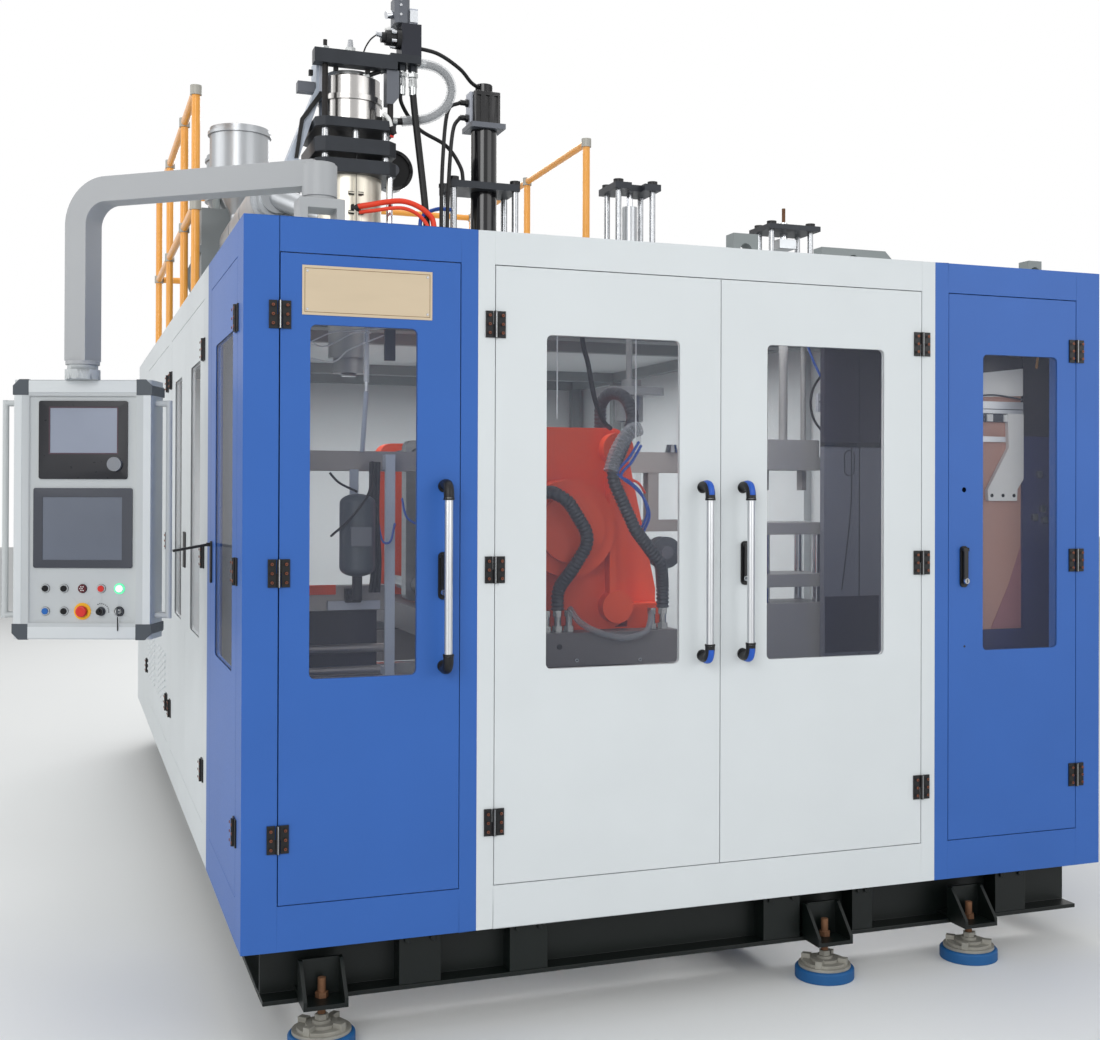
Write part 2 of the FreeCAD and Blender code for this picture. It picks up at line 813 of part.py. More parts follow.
MOTOR_LEAD_A = V(1000.0, 1400.0, 3400.0)
MOTOR_LEAD_B = V(1095.0, 1470.0, 3352.0)
MOTOR_LEAD_END = V(1150.0, 1503.0, 3332.0)
FALL_START = V(PLUG_END_X, STATION_Y, PLUG_LOW_Z)
FALL_A = V(1030.0, 1480.0, 3120.0)
FALL_B = V(985.0, 1370.0, 2980.0)
FALL_C = V(965.0, 1335.0, 2733.0)
FALL_END = V(965.0, 1335.0, ROOF_Z)
TWIN_START = V(PLUG_END_X, STATION_Y, PLUG_HIGH_Z)
TWIN_A = V(1005.0, 1500.0, 3215.0)
TWIN_B = V(960.0, 1390.0, 2990.0)
TWIN_C = V(940.0, 1335.0, 2740.0)
TWIN_END = V(940.0, 1335.0, ROOF_Z)
RED_START = V(612.0, 1372.0, 2773.0)
RED_A = V(640.0, 1335.0, 2775.0)
RED_B = V(780.0, 1335.0, 2800.0)
RED_C = V(915.0, 1335.0, 2735.0)
RED_END = V(915.0, 1335.0, ROOF_Z)
BLUE_START = V(1003.0, 1432.0, 2800.0)
BLUE_A = V(940.0, 1400.0, 2790.0)
BLUE_B = V(855.0, 1335.0, 2740.0)
BLUE_END = V(855.0, 1335.0, ROOF_Z)
HOSE_CREST_R = 23.0
HOSE_VALLEY_R = 19.5
HOSE_BORE_R = 13.0
RIB_PITCH = 14.0
RIB_RISE = 0.15
RIB_FALL = 0.55
RIB_FOOT = 0.7
CLAMP_HOSE_BEND = 85.0
FITTING_Y = 440.0
FITTING_A_X = 1127.0
FITTING_B_X = 1525.0
FITTING_PITCH = 42.0
FITTING_Z = CLAMP_BASE_Z1 + FITTING_H
HOSE_A_START = V(FITTING_A_X, FITTING_Y, FITTING_Z)
HOSE_A_1 = V(FITTING_A_X, FITTING_Y, 1305.0)
HOSE_A_2 = V(1160.0, 378.0, 1375.0)
HOSE_A_3 = V(1215.0, 345.0, 1480.0)
HOSE_A_4 = V(1130.0, 330.0, 1605.0)
HOSE_A_5 = V(1080.0, 325.0, 1640.0)
HOSE_A_END = V(1080.0, 430.0, 1640.0)
HOSE_B_START = V(FITTING_B_X, FITTING_Y, FITTING_Z)
HOSE_B_1 = V(FITTING_B_X, FITTING_Y, 1305.0)
HOSE_B_2 = V(1500.0, 395.0, 1385.0)
HOSE_B_3 = V(1390.0, 370.0, 1510.0)
HOSE_B_4 = V(1297.0, 370.0, 1700.0)
HOSE_B_5 = V(1400.0, 410.0, 1900.0)
HOSE_B_6 = V(1385.0, 450.0, 1990.0)
HOSE_B_7 = V(1330.0, 560.0, 2000.0)
HOSE_B_END = V(1330.0, 560.0, 1870.0)


def block(x0, x1, y0, y1, z0, z1):
    return Part.makeBox(x1 - x0, y1 - y0, z1 - z0, V(x0, y0, z0))


def rod(start, end, radius):
    axis = end - start
    return Part.makeCylinder(radius, axis.Length, start, axis)


def stem(x, y, z0, z1, radius):
    return rod(V(x, y, z0), V(x, y, z1), radius)


def funnel(x, y, z0, z1, low_radius, high_radius):
    return Part.makeCone(low_radius, high_radius, z1 - z0, V(x, y, z0), UP)


def prism(points, travel):
    return Part.Face(Part.makePolygon(points + [points[0]])).extrude(travel)


def fuse(shapes):
    return shapes[0].multiFuse(shapes[1:]).removeSplitter()


def cut(shape, tools):
    return shape.cut(tools)


def group(shapes):
    return Part.makeCompound(shapes)


def turned(shape, degrees, centre=ORIGIN, axis=UP):
    result = shape.copy()
    result.rotate(centre, axis, degrees)
    return result


def moved(shape, dx, dy, dz):
    result = shape.copy()
    result.translate(V(dx, dy, dz))
    return result


def flipped(shape, x):
    return shape.mirror(V(x, 0, 0), ALONG_X)


def flipped_y(shape, y):
    return shape.mirror(V(0, y, 0), ALONG_Y)


def lines_along(shape, direction):
    chosen = []
    for edge in shape.Edges:
        first = edge.valueAt(edge.FirstParameter)
        last = edge.valueAt(edge.LastParameter)
        run = last - first
        if run.Length > 0 and run.cross(direction).Length < run.Length * CLOSE:
            chosen.append(edge)
    return chosen


def rounded(x0, x1, y0, y1, z0, z1, radius, direction):
    body = block(x0, x1, y0, y1, z0, z1)
    return body.makeFillet(radius, lines_along(body, direction))


def save(name, shape):
    shape = shape.copy()
    shape.translate(V(-PAD_X, -PAD_Y, 0))
    shape.exportStep("parts/" + name + ".step")
    print(name, round(shape.Volume), len(shape.Solids))


def hexagon(centre, radius, travel):
    axis = V(travel).normalize()
    side = UP if abs(axis.z) < HALF else ALONG_X
    points = []
    for corner in range(HEX_SIDES):
        spoke = FreeCAD.Rotation(axis, corner * FULL_TURN / HEX_SIDES).multVec(side)
        points.append(centre + spoke * radius)
    return prism(points, travel)


# Walls are folded sheet trays, built as seen from outside with x to the right.
def tray(x0, x1, z0, z1, depth=RETURN, y0=0.0):
    outer = block(x0, x1, y0, y0 + depth, z0, z1)
    hollow = block(x0 + SHEET, x1 - SHEET, y0 + SHEET, y0 + depth + SHEET, z0 + SHEET, z1 - SHEET)
    return outer.cut(hollow)


def left_wall(shape):
    return turned(shape, -QUARTER)


def right_wall(shape):
    return moved(turned(shape, QUARTER), ENC_W, 0, 0)


def rear_wall(shape):
    return moved(turned(shape, QUARTER + QUARTER), ENC_W, ENC_D, 0)


def corner_post(x_end, y_end):
    points = [
        V(0, 0, FLOOR_GAP),
        V(x_end, 0, FLOOR_GAP),
        V(x_end, RETURN, FLOOR_GAP),
        V(x_end - SHEET, RETURN, FLOOR_GAP),
        V(x_end - SHEET, SHEET, FLOOR_GAP),
        V(SHEET, SHEET, FLOOR_GAP),
        V(SHEET, y_end - SHEET, FLOOR_GAP),
        V(RETURN, y_end - SHEET, FLOOR_GAP),
        V(RETURN, y_end, FLOOR_GAP),
        V(0, y_end, FLOOR_GAP),
    ]
    return prism(points, V(0, 0, PANEL_H))


def doorway(x0, x1):
    return [tray(x0, x1, FLOOR_GAP, OPEN_Z0), tray(x0, x1, OPEN_Z1, WALL_TOP)]


def stile(x0, x1):
    return tray(x0, x1, FLOOR_GAP, WALL_TOP)


# A door leaf is a tray with a pane bedded against the inside of its sheet.
def window_hole(x0, x1):
    return rounded(x0, x1, -RETURN, RETURN, WINDOW_Z0, WINDOW_Z1, WINDOW_R, ALONG_Y)


def pane(x0, x1):
    z0 = WINDOW_Z0 - PANE_LAP
    z1 = WINDOW_Z1 + PANE_LAP
    return block(x0 - PANE_LAP, x1 + PANE_LAP, SHEET, SHEET + PANE_T, z0, z1)


def bead(x0, x1):
    edge = PANE_LAP + BEAD_T
    outer = block(x0 - edge, x1 + edge, SHEET, SHEET + PANE_T + BEAD_D, WINDOW_Z0 - edge, WINDOW_Z1 + edge)
    return outer.cut(pane(x0, x1)).cut(window_hole(x0, x1))


def leaf(x0, x1, window_x0=None, window_x1=None):
    outer = block(x0, x1, 0, LEAF_T, DOOR_Z0, DOOR_Z1)
    hollow = block(x0 + SHEET, x1 - SHEET, SHEET, LEAF_T - SHEET, DOOR_Z0 + SHEET, DOOR_Z1 - SHEET)
    z0 = DOOR_Z0 + LEAF_LIP
    z1 = DOOR_Z1 - LEAF_LIP
    back = block(x0 + LEAF_LIP, x1 - LEAF_LIP, SHEET, LEAF_T + SHEET, z0, z1)
    shell = outer.cut([hollow, back])
    if window_x0 is None:
        return shell
    return fuse([shell.cut(window_hole(window_x0, window_x1)), bead(window_x0, window_x1)])


# Lift-off hinges: the fixed half carries the pin, the door half turns on it.
def fixed_half(x, z, side):
    z0 = z - HINGE_H * HALF
    z1 = z + HINGE_H * HALF
    parts = [
        block(x - HINGE_W, x, -HINGE_T, 0, z0, z),
        block(x - HINGE_W, x - HINGE_CLEAR, -HINGE_T, 0, z, z1),
        stem(x, -HINGE_AXIS, z0, z, HINGE_R),
        stem(x, -HINGE_AXIS, z, z1 - PIN_SHORT, PIN_R),
    ]
    half = fuse(parts)
    return half if side > 0 else flipped(half, x)


def door_half(x, z, side):
    z0 = z - HINGE_H * HALF
    z1 = z + HINGE_H * HALF
    seat = z + SLIDE_GAP
    parts = [
        block(x, x + HINGE_W, -HINGE_T, 0, seat, z1),
        block(x + HINGE_CLEAR, x + HINGE_W, -HINGE_T, 0, z0, seat),
        stem(x, -HINGE_AXIS, seat, z1, HINGE_R),
    ]
    half = fuse(parts).cut(stem(x, -HINGE_AXIS, z0, z1 - PIN_SHORT + PIN_FIT, PIN_R + PIN_FIT))
    return half if side > 0 else flipped(half, x)


def hinge_line(maker, x, side):
    return [maker(x, z, side) for z in HINGE_LEVELS]


def axis_before(edge):
    return edge - DOOR_GAP * HALF


def axis_after(edge):
    return edge + DOOR_GAP * HALF


def handle(x):
    y = -HANDLE_OFF
    low_neck = HANDLE_Z0 + HANDLE_END * HALF
    high_neck = HANDLE_Z1 - HANDLE_END * HALF
    parts = [
        stem(x, y, HANDLE_Z0 + HANDLE_END, HANDLE_Z1 - HANDLE_END, HANDLE_R),
        stem(x, y, HANDLE_Z0, HANDLE_Z0 + HANDLE_END, HANDLE_END_R),
        stem(x, y, HANDLE_Z1 - HANDLE_END, HANDLE_Z1, HANDLE_END_R),
    ]
    for z in (low_neck, high_neck):
        parts.append(rod(V(x, y, z), V(x, 0, z), HANDLE_NECK_R))
        parts.append(rod(V(x, -HANDLE_FOOT, z), V(x, 0, z), HANDLE_FOOT_R))
    return fuse(parts)


def lever_top(z):
    return z + LOCK_H * HALF - LEVER_END * HALF


def lever_pivot(x, z):
    return V(x, -LOCK_T - LEVER_GAP - LEVER_T * HALF, lever_top(z) - LEVER_PIVOT_DOWN)


# A lock lever turns on a cross pin held between two ears of its dish.
def lever_pin(x, z, radius):
    reach = V(LEVER_W * HALF + EAR_GAP + EAR_T, 0, 0)
    pivot = lever_pivot(x, z)
    return rod(pivot - reach, pivot + reach, radius)


def lock_dish(x, z):
    half_w = LOCK_W * HALF
    half_h = LOCK_H * HALF
    parts = [rounded(x - half_w, x + half_w, -LOCK_T, 0, z - half_h, z + half_h, LOCK_EDGE, ALONG_Y)]
    pivot = lever_pivot(x, z)
    near = LEVER_W * HALF + EAR_GAP
    for x0 in (x - near - EAR_T, x + near):
        parts.append(block(x0, x0 + EAR_T, pivot.y - LEVER_T * HALF, 0, pivot.z - EAR_H, pivot.z + EAR_H))
    return fuse(parts).cut(lever_pin(x, z, LEVER_PIN_R + PIN_FIT))


def lever(x, z):
    half_w = LEVER_W * HALF
    y1 = -LOCK_T - LEVER_GAP
    z1 = lever_top(z)
    z0 = z - LOCK_H * HALF + LEVER_END
    bar = rounded(x - half_w, x + half_w, y1 - LEVER_T, y1, z0, z1, LEVER_PIVOT_R, ALONG_Y)
    return fuse([bar, lever_pin(x, z, LEVER_PIN_R)])


def slot_lock(x):
    half_w = SLOT_LOCK_W * HALF
    return rounded(x - half_w, x + half_w, -SLOT_LOCK_T, 0, SLOT_LOCK_Z0, SLOT_LOCK_Z1, LOCK_EDGE, ALONG_Y)


def louvre(x, z):
    points = [
        V(x, SHEET, z),
        V(x, -LOUVRE_OUT, z),
        V(x, 0, z + LOUVRE_H),
        V(x, SHEET, z + LOUVRE_H),
    ]
    return prism(points, V(LOUVRE_W, 0, 0))


def louvre_field(x0, z0, columns, rows):
    fins = []
    for column in range(columns):
        for row in range(rows):
            fins.append(louvre(x0 + column * LOUVRE_PITCH_X, z0 + row * LOUVRE_PITCH_Z))
    return fins


# Beams
def i_profile(y0, z0):
    y1 = y0 + BEAM_W
    z1 = z0 + BEAM_H
    web0 = y0 + (BEAM_W - WEB_T) * HALF
    web1 = web0 + WEB_T
    return [
        V(0, y0, z0),
        V(0, y1, z0),
        V(0, y1, z0 + FLANGE_T),
        V(0, web1, z0 + FLANGE_T),
        V(0, web1, z1 - FLANGE_T),
        V(0, y1, z1 - FLANGE_T),
        V(0, y1, z1),
        V(0, y0, z1),
        V(0, y0, z1 - FLANGE_T),
        V(0, web0, z1 - FLANGE_T),
        V(0, web0, z0 + FLANGE_T),
        V(0, y0, z0 + FLANGE_T),
    ]


def beam_x(x0, x1, y0, z0=BEAM_Z0):
    return moved(prism(i_profile(y0, z0), V(x1 - x0, 0, 0)), x0, 0, 0)


def beam_y(x0, y0, y1, z0=BEAM_Z0):
    along = turned(prism(i_profile(0, z0), V(y1 - y0, 0, 0)), QUARTER)
    return moved(along, x0 + BEAM_W, y0, 0)


def box_tube(x0, x1, y0, y1, z0, z1, wall, direction):
    outer = block(x0, x1, y0, y1, z0, z1)
    gap = V(wall, wall, wall) - direction * (wall + wall)
    low = V(x0, y0, z0) + gap
    high = V(x1, y1, z1) - gap
    return outer.cut(block(low.x, high.x, low.y, high.y, low.z, high.z))


def upright(x, y, z0, z1, size=POST, wall=POST_WALL):
    return box_tube(x, x + size, y, y + size, z0, z1, wall, UP)


def chamfered_plate(x0, x1, y0, y1, z0, z1, size):
    body = block(x0, x1, y0, y1, z0, z1)
    return body.makeChamfer(size, lines_along(body, UP))


# Hoses follow straight runs joined by tangent arcs.
def route(points, bend):
    edges = []
    start = points[0]
    last = len(points) - 1
    for index in range(1, last):
        corner = points[index]
        back = (points[index - 1] - corner).normalize()
        ahead = (points[index + 1] - corner).normalize()
        half_angle = back.getAngle(ahead) * HALF
        room = min((corner - start).Length, (points[index + 1] - corner).Length * HOSE_SHARE)
        reach = min(bend / math.tan(half_angle), room)
        first = corner + back * reach
        final = corner + ahead * reach
        centre = corner + (back + ahead).normalize() * (reach / math.cos(half_angle))
        middle = centre + (corner - centre).normalize() * (reach * math.tan(half_angle))
        if (first - start).Length > SHORTEST:
            edges.append(Part.LineSegment(start, first).toShape())
        edges.append(Part.Arc(first, middle, final).toShape())
        start = final
    edges.append(Part.LineSegment(start, points[last]).toShape())
    return edges


def hose(points, radius, bend):
    ring = Part.Wire(Part.Circle(points[0], points[1] - points[0], radius).toShape())
    return Part.Wire(route(points, bend)).makePipeShell([ring], True, False)


def place_along(edges, distance):
    for edge in edges[:-1]:
        if distance < edge.Length:
            break
        distance -= edge.Length
    else:
        edge = edges[-1]
    at = edge.getParameterByLength(min(distance, edge.Length))
    return edge.valueAt(at), edge.tangentAt(at)


# A ribbed hose is a ruled loft, four circles to a rib, with its bore cut through.
def ribbed_hose(points, bend):
    edges = route(points, bend)
    length = sum(edge.Length for edge in edges)
    count = round(length / RIB_PITCH)
    pitch = length / count
    profile = (
        (0.0, HOSE_VALLEY_R), (RIB_RISE, HOSE_CREST_R), (RIB_FALL, HOSE_CREST_R), (RIB_FOOT, HOSE_VALLEY_R)
    )
    side = ALONG_Y
    rings = []
    for rib in range(count):
        for share, radius in profile:
            centre, ahead = place_along(edges, (rib + share) * pitch)
            side = (side - ahead * side.dot(ahead)).normalize()
            ring = Part.Circle(centre, ahead, radius)
            ring.XAxis = side
            rings.append(Part.Wire(ring.toShape()))
    print("ribs", count, "pitch", round(pitch, 1))
    return Part.makeLoft(rings, True, True).cut(hose(points, HOSE_BORE_R, bend))


# A hose fitting: two hexagons on a stem, standing on its seat.
def fitting(x, y, z, side=1):
    low = V(x, y, z)
    high = V(x, y, z + side * FITTING_H)
    nut = V(0, 0, side * FITTING_NUT)
    return fuse([
        rod(low, high, FITTING_STEM_R),
        hexagon(low, FITTING_R, nut),
        hexagon(high - nut, FITTING_R * FITTING_SHARE, nut),
    ])


# Base frame
def stiffener(x, width):
    y1 = BEAM_Y + (BEAM_W - WEB_T) * HALF
    z0 = BEAM_Z0 + FLANGE_T
    z1 = BEAM_Z1 - FLANGE_T
    front = BEAM_Y + STIFF_IN
    parts = [block(x, x + width, front, front + STIFF_T, z0, z1), block(x, x + STIFF_T, front, y1, z0, z1)]
    parts.append(block(x + width - STIFF_T, x + width, front, y1, z0, z1))
    return fuse(parts)


def stiffener_bolts(x, width):
    z = BEAM_Z0 + BEAM_H * HALF
    front = BEAM_Y + STIFF_IN
    bolts = []
    for at in (x + BOLT_IN, x + width - BOLT_IN):
        bolts.append(hexagon(V(at, front, z), BOLT_R, V(0, -BOLT_H, 0)))
    return bolts


def base_frame():
    right = ENC_W - BEAM_X
    rear_y = ENC_D - BEAM_Y - BEAM_W
    inner_y0 = BEAM_Y + BEAM_W
    parts = [beam_x(BEAM_X, right, BEAM_Y), beam_x(BEAM_X, right, rear_y)]
    parts.append(beam_y(BEAM_X, inner_y0, rear_y))
    parts.append(beam_y(right - BEAM_W, inner_y0, rear_y))
    for y in (CROSS_Y_A, CROSS_Y_B, CROSS_Y_C):
        parts.append(beam_x(BEAM_X + BEAM_W, right - BEAM_W, y))
    stations = [
        (STIFF_A_X, STIFF_A_W),
        (STIFF_B_X, STIFF_B_W),
        (STIFF_C_X, STIFF_C_W),
        (STIFF_D_X, STIFF_D_W),
        (STIFF_E_X, STIFF_E_W),
    ]
    for x, width in stations:
        parts.append(stiffener(x, width))
        parts.extend(stiffener_bolts(x, width))
    parts.append(beam_y(INNER_BEAM_X, inner_y0, CROSS_Y_A))
    parts.append(beam_y(INNER_BEAM_X, CROSS_Y_A + BEAM_W, CROSS_Y_B))
    return group(parts)


save("base_frame", base_frame())


# Levelling feet
def foot_disc(x, y):
    z1 = PAD_H + DISC_STEP
    z2 = z1 + DISC_STEP
    z3 = z2 + DISC_STEP
    z4 = z3 + DISC_STEP
    parts = [
        stem(x, y, PAD_H, z1, DISC_R0),
        stem(x, y, z1, z2, DISC_R1),
        stem(x, y, z2, z3, DISC_R2),
        stem(x, y, z3, z4, DISC_R3),
        stem(x, y, z4, STUD_TOP, STUD_R),
        hexagon(V(x, y, z4), NUT_R, V(0, 0, NUT_H)),
        hexagon(V(x, y, SHELF_Z + SHELF_T), NUT_R, V(0, 0, NUT_H)),
    ]
    for quarter in range(LUG_COUNT):
        lug = block(x + DISC_R2, x + DISC_R2 + LUG_L, y - LUG_W * HALF, y + LUG_W * HALF, z1, z1 + LUG_H)
        parts.append(turned(lug, LUG_START_ANGLE + quarter * QUARTER, V(x, y, 0)))
    return fuse(parts)


def foot_bracket(x, y):
    x0 = x - SHELF_W * HALF
    x1 = x + SHELF_W * HALF
    web = BEAM_Y + (BEAM_W - WEB_T) * HALF
    edge = BEAM_Y
    front = SHELF_FRONT
    shelf = block(x0, x1, front, edge, SHELF_Z, SHELF_Z + SHELF_T)
    shelf = shelf.cut(stem(x, y, SHELF_Z, SHELF_Z + SHELF_T, STUD_R))
    low = SHELF_Z + SHELF_T
    outline = [
        V(x0, front, low),
        V(x0, edge, low),
        V(x0, edge, GUSSET_TOP),
        V(x0, edge - GUSSET_NOSE, GUSSET_TOP),
        V(x0, front, low + GUSSET_NOSE),
    ]
    back_plate = block(x0, x1, edge, edge + GUSSET_T, BEAM_Z0 + FLANGE_T, GUSSET_TOP)
    side = prism(outline, V(GUSSET_T, 0, 0))
    other = prism([point + V(SHELF_W - GUSSET_T, 0, 0) for point in outline], V(GUSSET_T, 0, 0))
    lip = block(x0, x1, edge, edge + GUSSET_T, SHELF_Z, BEAM_Z0 + FLANGE_T)
    rail = block(x0, x1, edge, web, SHELF_Z + SHELF_T, SHELF_Z + SHELF_T + GUSSET_T)
    return fuse([shelf, side, other, back_plate.cut(lip), rail])


def foot_sites():
    return [PAD_X, MOUNT_B_X, MOUNT_C_X]


def levelling_mounts():
    parts = []
    for x in foot_sites():
        for piece in (foot_disc(x, PAD_Y), foot_bracket(x, PAD_Y)):
            parts.append(piece)
            parts.append(flipped_y(piece, ENC_D * HALF))
    return group(parts)


def levelling_pads():
    parts = []
    for x in foot_sites():
        pad = stem(x, PAD_Y, 0, PAD_H, PAD_R)
        pad = pad.makeChamfer(PAD_CHAMFER, [edge for edge in pad.Edges if edge.BoundBox.ZMin > PAD_H - CLOSE])
        parts.append(pad)
        parts.append(flipped_y(pad, ENC_D * HALF))
    return group(parts)


save("levelling_mounts", levelling_mounts())
save("levelling_pads", levelling_pads())


# Cladding: corners in one colour, the rest in another
def right_post():
    return flipped(corner_post(DOOR_A_X0 - DOOR_GAP, SIDE_A_Y0 - DOOR_GAP), ENC_W * HALF)


def blue_cladding():
    door_x0 = DOOR_A_X0 - DOOR_GAP
    door_x1 = DOOR_A_X1 + DOOR_GAP
    side_y0 = SIDE_A_Y0 - DOOR_GAP
    side_y1 = SIDE_A_Y1 + DOOR_GAP
    parts = [corner_post(door_x0, side_y0), right_post()]
    parts.extend(doorway(door_x0, door_x1))
    parts.extend(doorway(ENC_W - door_x1, ENC_W - door_x0))
    parts.append(stile(door_x1, CORNER_W))
    parts.append(stile(ENC_W - CORNER_W, ENC_W - door_x1))
    for wall in doorway(-side_y1, -side_y0) + [stile(-SIDE_BLUE, -side_y1)]:
        parts.append(left_wall(wall))
    parts.append(right_wall(stile(side_y0, SIDE_BLUE)))
    return group(parts)


def grey_cladding():
    door_x0 = DOOR_B_X0 - DOOR_GAP
    door_x1 = DOOR_C_X1 + DOOR_GAP
    b0 = SIDE_B_Y0 - DOOR_GAP
    b1 = SIDE_B_Y1 + DOOR_GAP
    c0 = SIDE_C_Y0 - DOOR_GAP
    c1 = SIDE_C_Y1 + DOOR_GAP
    end = ENC_D - RETURN
    parts = doorway(door_x0, door_x1)
    parts.append(stile(CORNER_W, door_x0))
    parts.append(stile(door_x1, ENC_W - CORNER_W))
    left = [stile(-b0, -SIDE_BLUE), stile(-c0, -b1), stile(-end, -c1)]
    left.extend(doorway(-b1, -b0))
    left.extend(doorway(-c1, -c0))
    for wall in left:
        parts.append(left_wall(wall))
    bay = (end - SIDE_BLUE) / WALL_SHEET_COUNT
    for index in range(WALL_SHEET_COUNT):
        y0 = SIDE_BLUE + index * bay
        parts.append(right_wall(stile(y0, y0 + bay)))
    width = ENC_W / REAR_SHEET_COUNT
    for index in range(REAR_SHEET_COUNT):
        parts.append(rear_wall(stile(index * width, index * width + width)))
    return group(parts)


save("blue_cladding", blue_cladding())
save("grey_cladding", grey_cladding())


# Roof sheets either side of the open slot, seated on the beams
def roof_panels():
    parts = []
    width = (ENC_W - RETURN - RETURN) / ROOF_SHEET_COUNT
    rear_y0 = CARRIER_B_Y + CARRIER - ROOF_LAP
    for index in range(ROOF_SHEET_COUNT):
        x0 = RETURN + index * width
        parts.append(block(x0, x0 + width, RETURN, CARRIER_A_Y + ROOF_LAP, ROOF_Z, DECK))
        parts.append(block(x0, x0 + width, rear_y0, ENC_D - RETURN, ROOF_Z, DECK))
    return group(parts)


save("roof_panels", roof_panels())


# Upper frame
def lifting_lug(x0, x1, top_x1, z1):
    outline = [
        V(x0, LUG_Y0, DECK),
        V(x1, LUG_Y0, DECK),
        V(top_x1, LUG_Y0, z1),
        V(x0, LUG_Y0, z1),
    ]
    eye_x = (x0 + min(x1, top_x1)) * HALF
    eye_z = (DECK + z1) * HALF
    plate = prism(outline, V(0, LUG_Y1 - LUG_Y0, 0))
    eye = rod(V(eye_x, LUG_Y0, eye_z), V(eye_x, LUG_Y1, eye_z), LUG_EYE_R)
    return plate.cut(eye)


def upper_frame():
    left = RETURN
    right = ENC_W - RETURN - POST
    front = RETURN
    rear = ENC_D - RETURN - POST
    parts = []
    for x in (left, POST_B_X, POST_C_X, right):
        parts.append(upright(x, front, BEAM_Z1, TOP_BEAM_Z0))
        parts.append(upright(x, rear, BEAM_Z1, TOP_BEAM_Z0))
    for y in (SIDE_POST_A, SIDE_POST_B, SIDE_POST_C):
        parts.append(upright(left, y, BEAM_Z1, TOP_BEAM_Z0))
        parts.append(upright(right, y, BEAM_Z1, TOP_BEAM_Z0))
    x1 = ENC_W - RETURN
    y1 = ENC_D - RETURN
    wall = POST_WALL
    parts.append(box_tube(left, x1, front, front + POST, TOP_BEAM_Z0, ROOF_Z, wall, ALONG_X))
    parts.append(box_tube(left, x1, rear, y1, TOP_BEAM_Z0, ROOF_Z, wall, ALONG_X))
    for x in (left, right):
        parts.append(box_tube(x, x + POST, front + POST, rear, TOP_BEAM_Z0, ROOF_Z, wall, ALONG_Y))
    for y in (SIDE_POST_B, SIDE_POST_C):
        parts.append(box_tube(left + POST, right, y, y + POST, TOP_BEAM_Z0, ROOF_Z, wall, ALONG_X))
    for y in (CARRIER_A_Y, CARRIER_B_Y):
        z0 = ROOF_Z - CARRIER
        parts.append(box_tube(left + POST, right, y, y + CARRIER, z0, ROOF_Z, CARRIER_WALL, ALONG_X))
    parts.append(lifting_lug(LUG_A_X0, LUG_A_X1, LUG_A_X1, LUG_A_Z1))
    parts.append(lifting_lug(LUG_B_X0, LUG_B_X2, LUG_B_X1, LUG_B_Z1))
    parts.append(lifting_lug(LUG_C_X0, LUG_C_X1, LUG_C_X1, LUG_C_Z1))
    return group(parts)


save("upper_frame", upper_frame())


# Front doors
def front_left_door():
    parts = [leaf(DOOR_A_X0, DOOR_A_X1, WINDOW_A_X0, WINDOW_A_X1)]
    parts.extend(hinge_line(door_half, axis_before(DOOR_A_X0), 1))
    parts.append(lock_dish(LOCK_A_X, LOCK_A_Z))
    parts.append(block(PLATE_X0, PLATE_X1, -PLATE_T, 0, PLATE_Z0, PLATE_Z1))
    return group(parts)


def mould_door_left():
    shell = leaf(DOOR_B_X0, MOULD_SPLIT - DOOR_GAP * HALF, WINDOW_B_X0, WINDOW_B_X1)
    return group([shell] + hinge_line(door_half, axis_before(DOOR_B_X0), 1))


def mould_door_right():
    shell = leaf(MOULD_SPLIT + DOOR_GAP * HALF, DOOR_C_X1, WINDOW_C_X0, WINDOW_C_X1)
    parts = [shell] + hinge_line(door_half, axis_after(DOOR_C_X1), -1)
    parts.append(lock_dish(LOCK_C_X, LOCK_C_Z))
    return group(parts)


def front_right_door():
    shell = leaf(DOOR_D_X0, DOOR_D_X1, WINDOW_D_X0, WINDOW_D_X1)
    hole = rod(V(KEYHOLE_X, -SHEET, KEYHOLE_Z), V(KEYHOLE_X, SHEET + SHEET, KEYHOLE_Z), KEYHOLE_R)
    parts = [shell.cut(hole)] + hinge_line(door_half, axis_after(DOOR_D_X1), -1)
    parts.append(lock_dish(LOCK_D_X, LOCK_D_Z))
    return group(parts)


save("front_left_door", front_left_door())
save("front_left_glass", pane(WINDOW_A_X0, WINDOW_A_X1))
save("front_left_handle", handle(HANDLE_A_X))
save("front_left_lock_lever", lever(LOCK_A_X, LOCK_A_Z))
save("mould_door_left", mould_door_left())
save("mould_door_left_glass", pane(WINDOW_B_X0, WINDOW_B_X1))
save("mould_door_left_handle", handle(HANDLE_B_X))
save("mould_door_right", mould_door_right())
save("mould_door_right_glass", pane(WINDOW_C_X0, WINDOW_C_X1))
save("mould_door_right_handle", handle(HANDLE_C_X))
save("mould_door_lock_lever", lever(LOCK_C_X, LOCK_C_Z))
save("front_right_door", front_right_door())
save("front_right_glass", pane(WINDOW_D_X0, WINDOW_D_X1))
save("front_right_lock_lever", lever(LOCK_D_X, LOCK_D_Z))


# Side doors, built as seen from the left of the machine
def side_front_door():
    shell = leaf(-SIDE_A_Y1, -SIDE_A_Y0, -SIDE_A_WIN1, -SIDE_A_WIN0)
    parts = [shell, pane(-SIDE_A_WIN1, -SIDE_A_WIN0)]
    parts.extend(hinge_line(door_half, axis_after(-SIDE_A_Y0), -1))
    parts.append(lock_dish(-SIDE_LOCK_Y, SIDE_LOCK_Z))
    return left_wall(group(parts))


